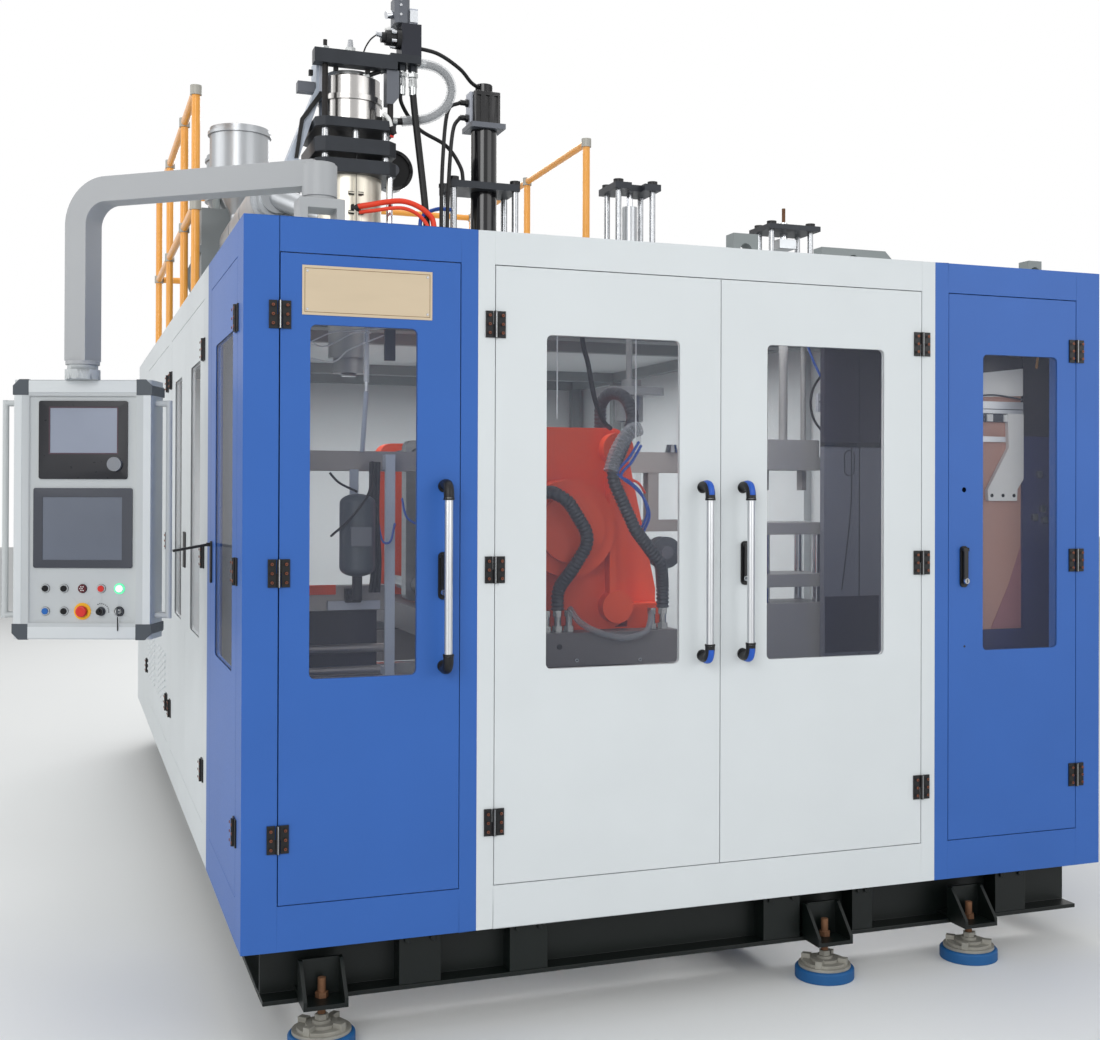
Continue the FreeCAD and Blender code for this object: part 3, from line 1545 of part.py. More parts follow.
def side_mid_door_front():
    shell = leaf(-SIDE_SPLIT_B + DOOR_GAP * HALF, -SIDE_B_Y0, -SIDE_B_WIN1, -SIDE_B_WIN0)
    parts = [shell, pane(-SIDE_B_WIN1, -SIDE_B_WIN0)]
    parts.extend(hinge_line(door_half, axis_after(-SIDE_B_Y0), -1))
    parts.append(slot_lock(-SIDE_SPLIT_B + SLOT_LOCK_IN))
    return left_wall(group(parts))


def side_mid_door_rear():
    shell = leaf(-SIDE_B_Y1, -SIDE_SPLIT_B - DOOR_GAP * HALF, -SIDE_B_WIN3, -SIDE_B_WIN2)
    parts = [shell, pane(-SIDE_B_WIN3, -SIDE_B_WIN2)]
    parts.extend(hinge_line(door_half, axis_before(-SIDE_B_Y1), 1))
    parts.append(slot_lock(-SIDE_SPLIT_B - SLOT_LOCK_IN))
    return left_wall(group(parts))


def side_rear_door_front():
    x0 = -SIDE_SPLIT_C + DOOR_GAP * HALF
    shell = leaf(x0, -SIDE_C_Y0)
    fins = louvre_field(x0 + LOUVRE_MARGIN, LOUVRE_LOW_Z0, LOUVRE_LOW_COLS, LOUVRE_LOW_ROWS)
    fins += louvre_field(x0 + LOUVRE_MARGIN, LOUVRE_HIGH_Z0, LOUVRE_HIGH_COLS, LOUVRE_HIGH_ROWS)
    z0 = LIFT_Z0
    plate = rounded(-LIFT_Y1, -LIFT_Y0, -LIFT_T, 0, z0, LIFT_Z1, LOCK_EDGE, ALONG_Y)
    parts = [fuse([shell] + fins), plate]
    parts.extend(hinge_line(door_half, axis_after(-SIDE_C_Y0), -1))
    return left_wall(group(parts))


def side_rear_door_rear():
    x1 = -SIDE_SPLIT_C - DOOR_GAP * HALF
    shell = leaf(-SIDE_C_Y1, x1)
    x0 = -SIDE_C_Y1 + LOUVRE_MARGIN
    fins = louvre_field(x0, LOUVRE_LOW_Z0, LOUVRE_LOW_COLS, LOUVRE_LOW_ROWS)
    high_x = x1 - LOUVRE_MARGIN - LOUVRE_PITCH_X * LOUVRE_HIGH_COLS
    fins += louvre_field(high_x, LOUVRE_HIGH_Z0, LOUVRE_HIGH_COLS, LOUVRE_HIGH_ROWS)
    parts = [fuse([shell] + fins)]
    parts.extend(hinge_line(door_half, axis_before(-SIDE_C_Y1), 1))
    return left_wall(group(parts))


def side_front_lever():
    closed = lever(-SIDE_LOCK_Y, SIDE_LOCK_Z)
    pivot = lever_pivot(-SIDE_LOCK_Y, SIDE_LOCK_Z)
    return left_wall(turned(closed, -LEVER_REST_ANGLE, pivot, ALONG_X))


save("side_front_door", side_front_door())
save("side_front_lever", side_front_lever())
save("side_mid_door_front", side_mid_door_front())
save("side_mid_door_rear", side_mid_door_rear())
save("side_rear_door_front", side_rear_door_front())
save("side_rear_door_rear", side_rear_door_rear())


def hinge_leaves():
    front = hinge_line(fixed_half, axis_before(DOOR_A_X0), 1)
    front += hinge_line(fixed_half, axis_before(DOOR_B_X0), 1)
    front += hinge_line(fixed_half, axis_after(DOOR_C_X1), -1)
    front += hinge_line(fixed_half, axis_after(DOOR_D_X1), -1)
    side = hinge_line(fixed_half, axis_after(-SIDE_A_Y0), -1)
    side += hinge_line(fixed_half, axis_after(-SIDE_B_Y0), -1)
    side += hinge_line(fixed_half, axis_before(-SIDE_B_Y1), 1)
    side += hinge_line(fixed_half, axis_after(-SIDE_C_Y0), -1)
    side += hinge_line(fixed_half, axis_before(-SIDE_C_Y1), 1)
    return group(front + [left_wall(half) for half in side])


save("hinge_leaves", hinge_leaves())


# Swing arm on its pedestal
def arm_pedestal():
    half = PEDESTAL_W * HALF
    leg_y0 = PIVOT_Y - PEDESTAL_LEG_D * HALF
    leg_y1 = PIVOT_Y + PEDESTAL_LEG_D * HALF
    foot_z = DECK + PEDESTAL_FOOT_T
    parts = [
        block(PIVOT_X - half, PIVOT_X + half, leg_y0, leg_y1, PEDESTAL_FLANGE_Z, PEDESTAL_TOP),
        stem(PIVOT_X, PIVOT_Y, PEDESTAL_TOP, ARM_PIN_TOP, ARM_PIN_R),
    ]
    for side in (-1, 1):
        outer = PIVOT_X + side * half
        inner = outer - side * PEDESTAL_LEG_T
        foot = outer + side * (PEDESTAL_FOOT_W - PEDESTAL_LEG_T)
        parts.append(block(min(outer, inner), max(outer, inner), leg_y0, leg_y1, DECK, PEDESTAL_FLANGE_Z))
        parts.append(block(min(inner, foot), max(inner, foot), leg_y0, leg_y1, DECK, foot_z))
    return fuse(parts)


def swing_arm():
    half = ARM_SIZE * HALF
    centre = V(PIVOT_X, PIVOT_Y, 0)
    z0 = ARM_Z - half
    z1 = ARM_Z + half
    end = PIVOT_X + ARM_LENGTH - BEND_R
    y0 = PIVOT_Y - half
    y1 = PIVOT_Y + half
    tube = block(PIVOT_X, end, y0, y1, z0, z1)
    face = [V(end, y0, z0), V(end, y1, z0), V(end, y1, z1), V(end, y0, z1)]
    section = Part.Face(Part.makePolygon(face + [face[0]]))
    bend = section.revolve(V(end, PIVOT_Y, ARM_Z - BEND_R), ALONG_Y, QUARTER)
    x = PIVOT_X + ARM_LENGTH
    column = block(x - half, x + half, y0, y1, COLUMN_Z0, ARM_Z - BEND_R)
    flange = stem(x, PIVOT_Y, COLUMN_Z0 - COLUMN_FLANGE_H, COLUMN_Z0, COLUMN_FLANGE_R)
    head = stem(PIVOT_X, PIVOT_Y, HEAD_Z0, HEAD_Z1, HEAD_R)
    sleeve = stem(PIVOT_X, PIVOT_Y, SLEEVE_Z0, SLEEVE_Z1, SLEEVE_R)
    bore = stem(PIVOT_X, PIVOT_Y, HEAD_Z0, ARM_PIN_BORE, ARM_PIN_R + SHAFT_FIT)
    arm = fuse([tube, bend, column, flange, head, sleeve]).cut(bore)
    return turned(arm, ARM_ANGLE, centre)


save("arm_pedestal", arm_pedestal())
save("swing_arm", swing_arm())


# Control panel, built square and then turned to its place under the arm's column
def placed(shape):
    at = turned(shape, PANEL_TURN)
    return moved(at, PANEL_CORNER_X, PANEL_CORNER_Y, 0)


def swivel_centre():
    angle = math.radians(ARM_ANGLE)
    return V(PIVOT_X + ARM_LENGTH * math.cos(angle), PIVOT_Y + ARM_LENGTH * math.sin(angle), 0)


def well(x, z):
    return rod(V(x, 0, z), V(x, RECESS + BUTTON_WELL, z), BUTTON_R + BUTTON_FIT)


def collar(x, z):
    ring = rod(V(x, RECESS - COLLAR_H, z), V(x, RECESS, z), COLLAR_R)
    return ring.cut(rod(V(x, 0, z), V(x, RECESS, z), BUTTON_R + BUTTON_FIT))


def button_sites():
    return {
        "black_button_1": (COL_A, ROW_HIGH),
        "black_button_2": (COL_B, ROW_HIGH),
        "red_button": (COL_D, ROW_HIGH),
        "green_button": (COL_E, ROW_HIGH),
        "blue_button": (COL_A, ROW_LOW),
        "black_button_3": (COL_B, ROW_LOW),
    }


def grip(side):
    x = -GRIP_OUT if side < 0 else PANEL_W + GRIP_OUT
    wall = 0 if side < 0 else PANEL_W
    low = GRIP_Z0 + GRIP_ARM * HALF
    high = GRIP_Z1 - GRIP_ARM * HALF
    parts = [stem(x, GRIP_DEPTH, GRIP_Z0, GRIP_Z1, GRIP_R)]
    for z in (low, high):
        parts.append(rod(V(x, GRIP_DEPTH, z), V(wall, GRIP_DEPTH, z), GRIP_R))
    return fuse(parts)


def panel_housing():
    body = rounded(0, PANEL_W, 0, PANEL_DEPTH, PANEL_Z0, PANEL_Z1, PANEL_R, UP)
    recess = block(RIM_X, PANEL_W - RIM_X, 0, RECESS, PANEL_Z0 + RIM_Z, PANEL_Z1 - RIM_Z)
    tools = [recess]
    rings = []
    for x, z in button_sites().values():
        tools.append(well(x, z))
        rings.append(collar(x, z))
    tools.append(rod(V(COL_C, 0, ROW_LOW), V(COL_C, RECESS + BUTTON_WELL, ROW_LOW), STOP_STEM_R + BUTTON_FIT))
    for x in (COL_D, COL_E):
        tools.append(rod(V(x, 0, ROW_LOW), V(x, RECESS + BUTTON_WELL, ROW_LOW), KEY_PLUG_R + BUTTON_FIT))
        rings.append(collar(x, ROW_LOW))
    dial_end = RECESS + DIAL_STEM + BUTTON_FIT
    tools.append(rod(V(DIAL_X, 0, DIAL_Z), V(DIAL_X, dial_end, DIAL_Z), DIAL_STEM_R + BUTTON_FIT))
    body = body.cut(tools)
    stop_ring = rod(V(COL_C, RECESS - STOP_COLLAR_H, ROW_LOW), V(COL_C, RECESS, ROW_LOW), STOP_COLLAR_R)
    stop_ring = stop_ring.cut(tools)
    sounder = rod(V(COL_C, RECESS - STOP_GAP, ROW_HIGH), V(COL_C, RECESS, ROW_HIGH), COLLAR_R)
    centre = swivel_centre()
    top = COLUMN_Z0 - COLUMN_FLANGE_H - NECK_GAP
    mid = PANEL_Z1 + NECK_STEP
    neck = fuse(
        [stem(centre.x, centre.y, PANEL_Z1, mid, NECK_R), stem(centre.x, centre.y, mid, top, NECK_STEP_R)]
    )
    parts = [body, stop_ring, sounder, grip(-1), grip(1)] + rings
    return group([placed(part) for part in parts] + [neck])


def screen(bx0, bx1, bz0, bz1, sx0, sx1, sz0, sz1):
    front = RECESS - BEZEL_T
    frame = rounded(bx0, bx1, front, RECESS, bz0, bz1, BEZEL_R, ALONG_Y)
    glass = block(sx0, sx1, front + SCREEN_IN, RECESS, sz0, sz1)
    return frame.cut(block(sx0, sx1, front, RECESS, sz0, sz1)), glass


def panel_displays():
    upper, upper_glass = screen(
        UPPER_BEZEL_X0, UPPER_BEZEL_X1, UPPER_BEZEL_Z0, UPPER_BEZEL_Z1,
        UPPER_SCREEN_X0, UPPER_SCREEN_X1, UPPER_SCREEN_Z0, UPPER_SCREEN_Z1,
    )
    lower, lower_glass = screen(
        LOWER_BEZEL_X0, LOWER_BEZEL_X1, LOWER_BEZEL_Z0, LOWER_BEZEL_Z1,
        LOWER_SCREEN_X0, LOWER_SCREEN_X1, LOWER_SCREEN_Z0, LOWER_SCREEN_Z1,
    )
    upper = upper.cut(rod(V(DIAL_X, 0, DIAL_Z), V(DIAL_X, RECESS, DIAL_Z), DIAL_STEM_R + BUTTON_FIT))
    return group([placed(part) for part in (upper, upper_glass, lower, lower_glass)])


def push_button(x, z):
    cap = rod(V(x, RECESS - BUTTON_OUT, z), V(x, RECESS + BUTTON_IN, z), BUTTON_R)
    return placed(cap)


def jog_dial():
    front = RECESS - BEZEL_T - BUTTON_FIT
    knob = rod(V(DIAL_X, front - DIAL_H, DIAL_Z), V(DIAL_X, front, DIAL_Z), DIAL_R)
    stalk = rod(V(DIAL_X, front, DIAL_Z), V(DIAL_X, RECESS + DIAL_STEM, DIAL_Z), DIAL_STEM_R)
    return placed(fuse([knob, stalk]))


def emergency_stop():
    back = RECESS - STOP_COLLAR_H - STOP_GAP
    head = rod(V(COL_C, back - STOP_H, ROW_LOW), V(COL_C, back, ROW_LOW), STOP_R)
    rim = [edge for edge in head.Edges if edge.BoundBox.YMax < back - STOP_H + CLOSE]
    head = head.makeFillet(STOP_GAP, rim)
    stalk = rod(V(COL_C, back, ROW_LOW), V(COL_C, RECESS + BUTTON_IN, ROW_LOW), STOP_STEM_R)
    return placed(fuse([head, stalk]))


def speed_knob():
    front = RECESS - COLLAR_H - BUTTON_FIT
    cap = rod(V(COL_D, front - KNOB_H, ROW_LOW), V(COL_D, front, ROW_LOW), KNOB_R)
    half = KNOB_RIDGE * HALF
    ridge = block(
        COL_D - half, COL_D + half, front - KNOB_H - KNOB_RIDGE, front - KNOB_H,
        ROW_LOW, ROW_LOW + KNOB_R - half
    )
    stalk = rod(V(COL_D, front, ROW_LOW), V(COL_D, RECESS + BUTTON_IN, ROW_LOW), KEY_PLUG_R)
    return placed(fuse([cap, ridge, stalk]))


def key_switch():
    front = RECESS - COLLAR_H - BUTTON_FIT
    plug = rod(V(COL_E, front, ROW_LOW), V(COL_E, RECESS + BUTTON_IN, ROW_LOW), KEY_PLUG_R)
    half = KEY_T * HALF
    blade = block(
        COL_E - half, COL_E + half, front - KEY_L, front, ROW_LOW - half - half, ROW_LOW + half + half
    )
    bow_y = front - KEY_L
    bow = rod(
        V(COL_E - half, bow_y - KEY_BOW_R + half, ROW_LOW),
        V(COL_E + half, bow_y - KEY_BOW_R + half, ROW_LOW), KEY_BOW_R
    )
    return placed(fuse([plug, blade, bow]))


save("panel_housing", panel_housing())
save("panel_displays", panel_displays())
save("jog_dial", jog_dial())
for button_name, site in button_sites().items():
    save(button_name, push_button(site[0], site[1]))
save("emergency_stop", emergency_stop())
save("speed_knob", speed_knob())
save("key_switch", key_switch())


# Die head
def head_plates():
    x0 = HEAD_PLATE_X0
    x1 = HEAD_PLATE_X1
    y0 = HEAD_PLATE_Y0
    y1 = HEAD_PLATE_Y1
    parts = [
        chamfered_plate(x0, x1, y0, y1, PLATE_LOW_Z0, PLATE_LOW_Z1, PLATE_CORNER),
        chamfered_plate(x0, x1, y0, y1, PLATE_MID_Z0, PLATE_MID_Z1, PLATE_CORNER),
        chamfered_plate(x0, x1, y0, y1, PLATE_TOP_Z0, PLATE_TOP_Z1, PLATE_CORNER),
    ]
    ends_x = (x0 + SPACER_IN, x1 - SPACER_IN)
    ends_y = (y0 + SPACER_IN, y1 - SPACER_IN)
    for x in ends_x:
        for y in ends_y:
            parts.append(stem(x, y, PLATE_LOW_Z1, PLATE_MID_Z0, SPACER_R))
            parts.append(stem(x, y, PLATE_MID_Z1, PLATE_TOP_Z0, SPACER_R))
    middle = (x0 + x1) * HALF
    for y in ends_y:
        parts.append(stem(middle, y, PLATE_MID_Z1, PLATE_TOP_Z0, SPACER_R))
    return group(parts)


def die_head():
    y = STATION_Y
    jacket = stem(HEAD_X, y, BARREL_Z0, PLATE_LOW_Z0, BARREL_R)
    seam = block(
        HEAD_X - BARREL_SEAM_W * HALF, HEAD_X + BARREL_SEAM_W * HALF, y - BARREL_R - BARREL_SEAM_OUT, y,
        BARREL_Z0 + BARREL_SEAM_W, PLATE_LOW_Z0 - BARREL_SEAM_W,
    )
    parts = [jacket, seam]
    pitch = (PLATE_LOW_Z0 - BARREL_Z0) / (CLAMP_BOLT_COUNT + 1)
    for index in range(CLAMP_BOLT_COUNT):
        z = BARREL_Z0 + pitch * (index + 1)
        at = y - BARREL_R - BARREL_SEAM_OUT * HALF
        parts.append(
            rod(V(HEAD_X - CLAMP_BOLT_L * HALF, at, z), V(HEAD_X + CLAMP_BOLT_L * HALF, at, z), CLAMP_BOLT_R)
        )
    parts.append(stem(HEAD_X, y, HEAD_FOOT_Z1, BARREL_Z0, HEAD_NECK_R))
    parts.append(block(HEAD_PLATE_X0, HEAD_PLATE_X1, CARRIER_A_Y, CARRIER_B_Y + CARRIER, DECK, HEAD_FOOT_Z1))
    parts.append(funnel(HEAD_X, y, DIE_BODY_Z0 + HEAD_NECK_R, DECK, DIE_BODY_R, HEAD_NECK_R))
    parts.append(stem(HEAD_X, y, DIE_BODY_Z0, DIE_BODY_Z0 + HEAD_NECK_R, DIE_BODY_R))
    parts.append(stem(HEAD_X, y, DIE_RING_Z0, DIE_BODY_Z0, DIE_RING_R))
    body = fuse(parts)
    guide = stem(HEAD_X, y, DIE_BORE_TOP, GUIDE_TOP, GUIDE_R + SHAFT_FIT)
    return body.cut([stem(HEAD_X, y, DIE_RING_Z0, DIE_BORE_TOP, DIE_BORE_R), guide])


def die_mandrel():
    y = STATION_Y
    tip = DIE_RING_Z0 - MANDREL_PROUD
    parts = [
        stem(HEAD_X, y, tip, MANDREL_TOP, MANDREL_R),
        stem(HEAD_X, y, MANDREL_TOP, MANDREL_STEM_TOP, GUIDE_R),
        funnel(HEAD_X, y, tip, tip + MANDREL_TIP_H, MANDREL_TIP_R, MANDREL_R),
    ]
    return fuse(parts)


def crossbar_stud(x, y):
    shank = stem(x, y, CROSS_Z1, CROSS_Z1 + STUD_H, STUD_BIG_R * HALF)
    return fuse([shank, hexagon(V(x, y, CROSS_Z1), STUD_BIG_R, V(0, 0, STUD_NUT))])


def servo_head(y):
    z = VALVE_COIL_Z1 - VALVE_COIL_R
    x1 = VALVE_BODY_X0
    rim = VALVE_COIL_R + SERVO_RIM
    parts = [
        rod(V(VALVE_COIL_X0, y, z), V(x1, y, z), VALVE_COIL_R * SERVO_NOSE),
        rod(V(VALVE_COIL_X0 + SERVO_STEP, y, z), V(x1, y, z), VALVE_COIL_R),
        rod(V(x1 - SERVO_STEP, y, z), V(x1, y, z), rim),
    ]
    for index in range(SERVO_BOLT_COUNT):
        spoke = FreeCAD.Rotation(ALONG_X, index * FULL_TURN / SERVO_BOLT_COUNT).multVec(UP)
        at = V(x1, y, z) + spoke * (rim - SERVO_BOLT_R - SERVO_INSET)
        parts.append(rod(at, at - V(SERVO_STEP + SERVO_BOLT_R, 0, 0), SERVO_BOLT_R))
    return fuse(parts)


def head_hydraulics():
    y = STATION_Y
    cross_y = (CROSS_Y0 + CROSS_Y1) * HALF
    parts = [
        fuse([
            stem(HEAD_X, y, PLATE_TOP_Z1, RAM_Z1, RAM_R),
            stem(HEAD_X, y, RAM_LINE_Z, RAM_LINE_Z + RAM_LINE_H, RAM_LINE_R),
            stem(HEAD_X, y, RAM_Z1, RAM_Z1 + RAM_CAP_H, RAM_CAP_R),
        ]),
        block(CROSS_X0, CROSS_X1, CROSS_Y0, CROSS_Y1, CROSS_Z0, CROSS_Z1),
        stem(CROSS_ROD_A, cross_y, PLATE_TOP_Z1, CROSS_Z0, CROSS_ROD_R),
        stem(CROSS_ROD_B, cross_y, PLATE_TOP_Z1, CROSS_Z0, CROSS_ROD_R),
        crossbar_stud(STUD_A_X, cross_y),
        crossbar_stud(STUD_B_X, cross_y),
        fuse([
            block(VALVE_FLANGE_X0, CROSS_X1, VALVE_Y0, VALVE_Y1, CROSS_Z1, VALVE_FLANGE_Z1),
            block(CROSS_X1, VALVE_FLANGE_X1, VALVE_Y0, VALVE_Y1, VALVE_FLANGE_Z0, VALVE_FLANGE_Z1),
        ]),
        block(VALVE_BODY_X0, VALVE_FLANGE_X1, VALVE_Y0, VALVE_Y1, VALVE_FLANGE_Z1, VALVE_BODY_Z1),
        chamfered_plate(
            VALVE_CAP_X0, VALVE_CAP_X1, VALVE_Y0, VALVE_Y1, VALVE_BODY_Z1, VALVE_CAP_Z1, VALVE_CHAMFER
        ),
        block(
            VALVE_CAP_X1, VALVE_CAP_X1 + VALVE_SIDE, VALVE_Y0 + VALVE_CHAMFER, VALVE_Y1, VALVE_BODY_Z1,
            VALVE_SIDE_Z1
        ),
        servo_head(cross_y),
        fitting(VALVE_FIT_A_X, cross_y + VALVE_FIT_BACK, VALVE_FLANGE_Z0, -1),
        fitting(VALVE_FIT_B_X, cross_y + VALVE_FIT_BACK, VALVE_FLANGE_Z0, -1),
        stem(COLUMN_X, COLUMN_Y, HEAD_FOOT_Z1, PLATE_LOW_Z0, COLUMN_R),
    ]
    outline = [
        V(DUCT_X0, DUCT_Y0, DUCT_Z1),
        V(DUCT_X1, DUCT_Y0, DUCT_Z1),
        V(DUCT_X1, DUCT_Y0, DUCT_Z0),
        V(DUCT_LOW_X1, DUCT_Y0, DUCT_LOW_Z),
        V(DUCT_LOW_X0, DUCT_Y0, DUCT_LOW_Z),
        V(DUCT_X0, DUCT_Y0, DUCT_Z0),
    ]
    parts.append(prism(outline, V(0, DUCT_Y1 - DUCT_Y0, 0)))
    foot_z = DUCT_LOW_Z - RAM_LINE_H
    parts.append(block(DUCT_LOW_X0, HEAD_PLATE_X0, DUCT_Y0, DUCT_Y1, foot_z, DUCT_LOW_Z))
    wheel = fuse([
        rod(
            V(WHEEL_X, WHEEL_Y - WHEEL_W * HALF, WHEEL_Z), V(WHEEL_X, WHEEL_Y + WHEEL_W * HALF, WHEEL_Z),
            WHEEL_R
        ),
        rod(V(WHEEL_X, WHEEL_Y - WHEEL_W, WHEEL_Z), V(WHEEL_X, WHEEL_Y + WHEEL_W, WHEEL_Z), WHEEL_HUB_R),
        block(
            HEAD_PLATE_X1 - WHEEL_ARM, WHEEL_X + WHEEL_HUB, HEAD_PLATE_Y1, WHEEL_Y - WHEEL_W * HALF,
            WHEEL_Z - WHEEL_HUB, WHEEL_Z + WHEEL_HUB * HALF,
        ),
    ])
    parts.append(wheel)
    return group(parts)


save("head_plates", head_plates())
save("die_head", die_head())
save("die_mandrel", die_mandrel())
save("head_hydraulics", head_hydraulics())


# Extruder behind the head, on its own stands
def stand(y):
    x0 = EXT_X - STAND_HALF
    x1 = EXT_X + STAND_HALF
    top = EXT_Z - EXT_COVER_R
    parts = []
    for x in (x0, x1 - STAND_W):
        parts.append(block(x, x + STAND_W, y, y + STAND_W, DECK, top - STAND_RAIL))
    parts.append(block(x0, x1, y, y + STAND_W, top - STAND_RAIL, top))
    return parts


def extruder():
    barrel = rod(V(EXT_X, EXT_Y0, EXT_Z), V(EXT_X, EXT_THROAT, EXT_Z), EXT_R)
    run = (EXT_Y1 - EXT_Y0 - ADAPTER_FLANGE) / COVER_COUNT
    covers = []
    for index in range(COVER_COUNT):
        y0 = EXT_Y0 + ADAPTER_FLANGE + index * run
        covers.append(rod(V(EXT_X, y0 + COVER_GAP, EXT_Z), V(EXT_X, y0 + run, EXT_Z), EXT_COVER_R))
    low = EXT_Z - BARREL_R
    adapter = [
        rod(V(EXT_X, EXT_Y0, EXT_Z), V(EXT_X, EXT_Y0 - ADAPTER_FLANGE, EXT_Z), ADAPTER_FLANGE_R),
        rod(V(EXT_X, EXT_Y0, EXT_Z), V(ADAPTER_X, ADAPTER_Y, low), ADAPTER_R),
        Part.makeSphere(ADAPTER_R, V(ADAPTER_X, ADAPTER_Y, low)),
        rod(V(ADAPTER_X, ADAPTER_Y, low), V(HEAD_X, STATION_Y, low), ADAPTER_R),
    ]
    head = stem(HEAD_X, STATION_Y, BARREL_Z0, PLATE_LOW_Z0, BARREL_R)
    screw = fuse([barrel] + covers + adapter).cut(head)
    half = GEAR_W * HALF
    gear = [
        block(EXT_X - half, EXT_X + half, EXT_THROAT, GEAR_Y1, GEAR_Z0, GEAR_Z1),
        block(
            EXT_X - half - GEAR_LID, EXT_X + half + GEAR_LID, EXT_THROAT, GEAR_Y1, EXT_Z - GEAR_LID,
            EXT_Z + GEAR_LID
        ),
    ]
    motor = [
        rod(V(EXT_X, GEAR_Y1, EXT_Z), V(EXT_X, MOTOR_Y1, EXT_Z), MOTOR_R),
        rod(V(EXT_X, GEAR_Y1, EXT_Z), V(EXT_X, GEAR_Y1 + MOTOR_RING, EXT_Z), MOTOR_RING_R),
        rod(V(EXT_X, MOTOR_Y1 - MOTOR_RING, EXT_Z), V(EXT_X, MOTOR_Y1, EXT_Z), MOTOR_RING_R),
    ]
    box_y = (GEAR_Y1 + MOTOR_Y1) * HALF
    box = block(
        EXT_X - MOTOR_BOX_W * HALF, EXT_X + MOTOR_BOX_W * HALF,
        box_y - MOTOR_BOX_L * HALF, box_y + MOTOR_BOX_L * HALF,
        EXT_Z, EXT_Z + MOTOR_R + MOTOR_BOX_H,
    )
    parts = [screw, fuse(gear), fuse(motor + [box])]
    parts.extend(stand(STAND_A_Y) + stand(STAND_B_Y))
    for y in (STAND_C_Y, STAND_D_Y):
        top = GEAR_Z0 if y == STAND_C_Y else EXT_Z - MOTOR_R * STAND_NOTCH
        saddle = block(EXT_X - STAND_HALF, EXT_X + STAND_HALF, y, y + STAND_W, DECK, top)
        parts.append(saddle.cut(motor[0]))
    blower = fuse([
        rod(
            V(BLOWER_X - BLOWER_W * HALF, BLOWER_Y, BLOWER_Z),
            V(BLOWER_X + BLOWER_W * HALF, BLOWER_Y, BLOWER_Z), BLOWER_R
        ),
        block(
            BLOWER_X - BLOWER_W * HALF, BLOWER_X + BLOWER_W * HALF, BLOWER_Y - BLOWER_R, BLOWER_Y, DECK,
            BLOWER_Z
        ),
    ])
    parts.append(blower)
    return group(parts)


def hopper(x, y, radius, cone_z, z0, z1):
    skin = [
        funnel(x, y, cone_z, z0, HOPPER_NECK_R, radius),
        stem(x, y, z0, z1, radius),
        stem(x, y, z0 - HOPPER_RIM_H * HALF, z0 + HOPPER_RIM_H * HALF, radius + HOPPER_RIM),
        stem(x, y, z1 - HOPPER_RIM_H, z1, radius + HOPPER_RIM),
    ]
    wall = HOPPER_WALL
    room = [
        funnel(x, y, cone_z, z0, HOPPER_NECK_R - wall, radius - wall),
        stem(x, y, z0, z1, radius - wall),
    ]
    lid = stem(x, y, z1, z1 + HOPPER_LID_H, radius)
    return [fuse(skin).cut(room), lid]


def hoppers():
    neck_z = EXT_Z + EXT_R
    parts = hopper(EXT_X, HOPPER_A_Y, HOPPER_A_R, HOPPER_A_CONE, HOPPER_A_Z0, HOPPER_A_Z1)
    parts.append(stem(EXT_X, HOPPER_A_Y, EXT_Z + EXT_R * STAND_NOTCH, HOPPER_A_CONE, HOPPER_NECK_R).cut(
        rod(V(EXT_X, EXT_Y0, EXT_Z), V(EXT_X, EXT_THROAT, EXT_Z), EXT_R)))
    parts.extend(hopper(HOPPER_B_X, HOPPER_B_Y, HOPPER_B_R, HOPPER_B_CONE, HOPPER_B_Z0, HOPPER_B_Z1))
    parts.append(stem(HOPPER_B_X, HOPPER_B_Y, HOPPER_B_CONE - HOPPER_NECK_R, HOPPER_B_CONE, HOPPER_NECK_R))
    for dx in (-HOPPER_LEG_AT, HOPPER_LEG_AT):
        for dy in (-HOPPER_LEG_AT, HOPPER_LEG_AT):
            parts.append(
                stem(HOPPER_B_X + dx, HOPPER_B_Y + dy, DECK, HOPPER_B_Z0 - HOPPER_RIM_H * HALF, HOPPER_LEG)
            )
    return group(parts)


save("extruder", extruder())
save("hoppers", hoppers())


# Guard rails
def rail_post(x, y):
    return [
        stem(x, y, DECK + RAIL_FOOT_H, RAIL_TOP, RAIL_R), stem(x, y, DECK, DECK + RAIL_FOOT_H, RAIL_FOOT_R)
    ]


def rail_fitting(x, y, z):
    return stem(x, y, z - RAIL_FIT_L * HALF, z + RAIL_FIT_L * HALF, RAIL_FIT)


def guard_rails():
    left = RAIL_LEFT_X
    right = RAIL_RIGHT_X
    rear = RAIL_REAR_Y
    sites = [(left, RAIL_LEFT_A), (left, RAIL_LEFT_B), (left, RAIL_LEFT_C), (left, rear)]
    sites += [(RAIL_REAR_X, rear), (right, rear), (right, RAIL_RIGHT_B), (right, RAIL_RIGHT_A)]
    parts = []
    for x, y in sites:
        parts.extend(rail_post(x, y))
    for level in (RAIL_MID, RAIL_TOP):
        for first, second in zip(sites, sites[1:]):
            start = V(first[0], first[1], level)
            end = V(second[0], second[1], level)
            gap = (end - start).normalize() * RAIL_FIT
            parts.append(rod(start + gap, end - gap, RAIL_R))
        for x, y in sites:
            fitting = rail_fitting(x, y, level)
            parts.append(fitting.cut(stem(x, y, level - RAIL_FIT_L, level + RAIL_FIT_L, RAIL_R)))
    return group(parts)


save("guard_rails", guard_rails())


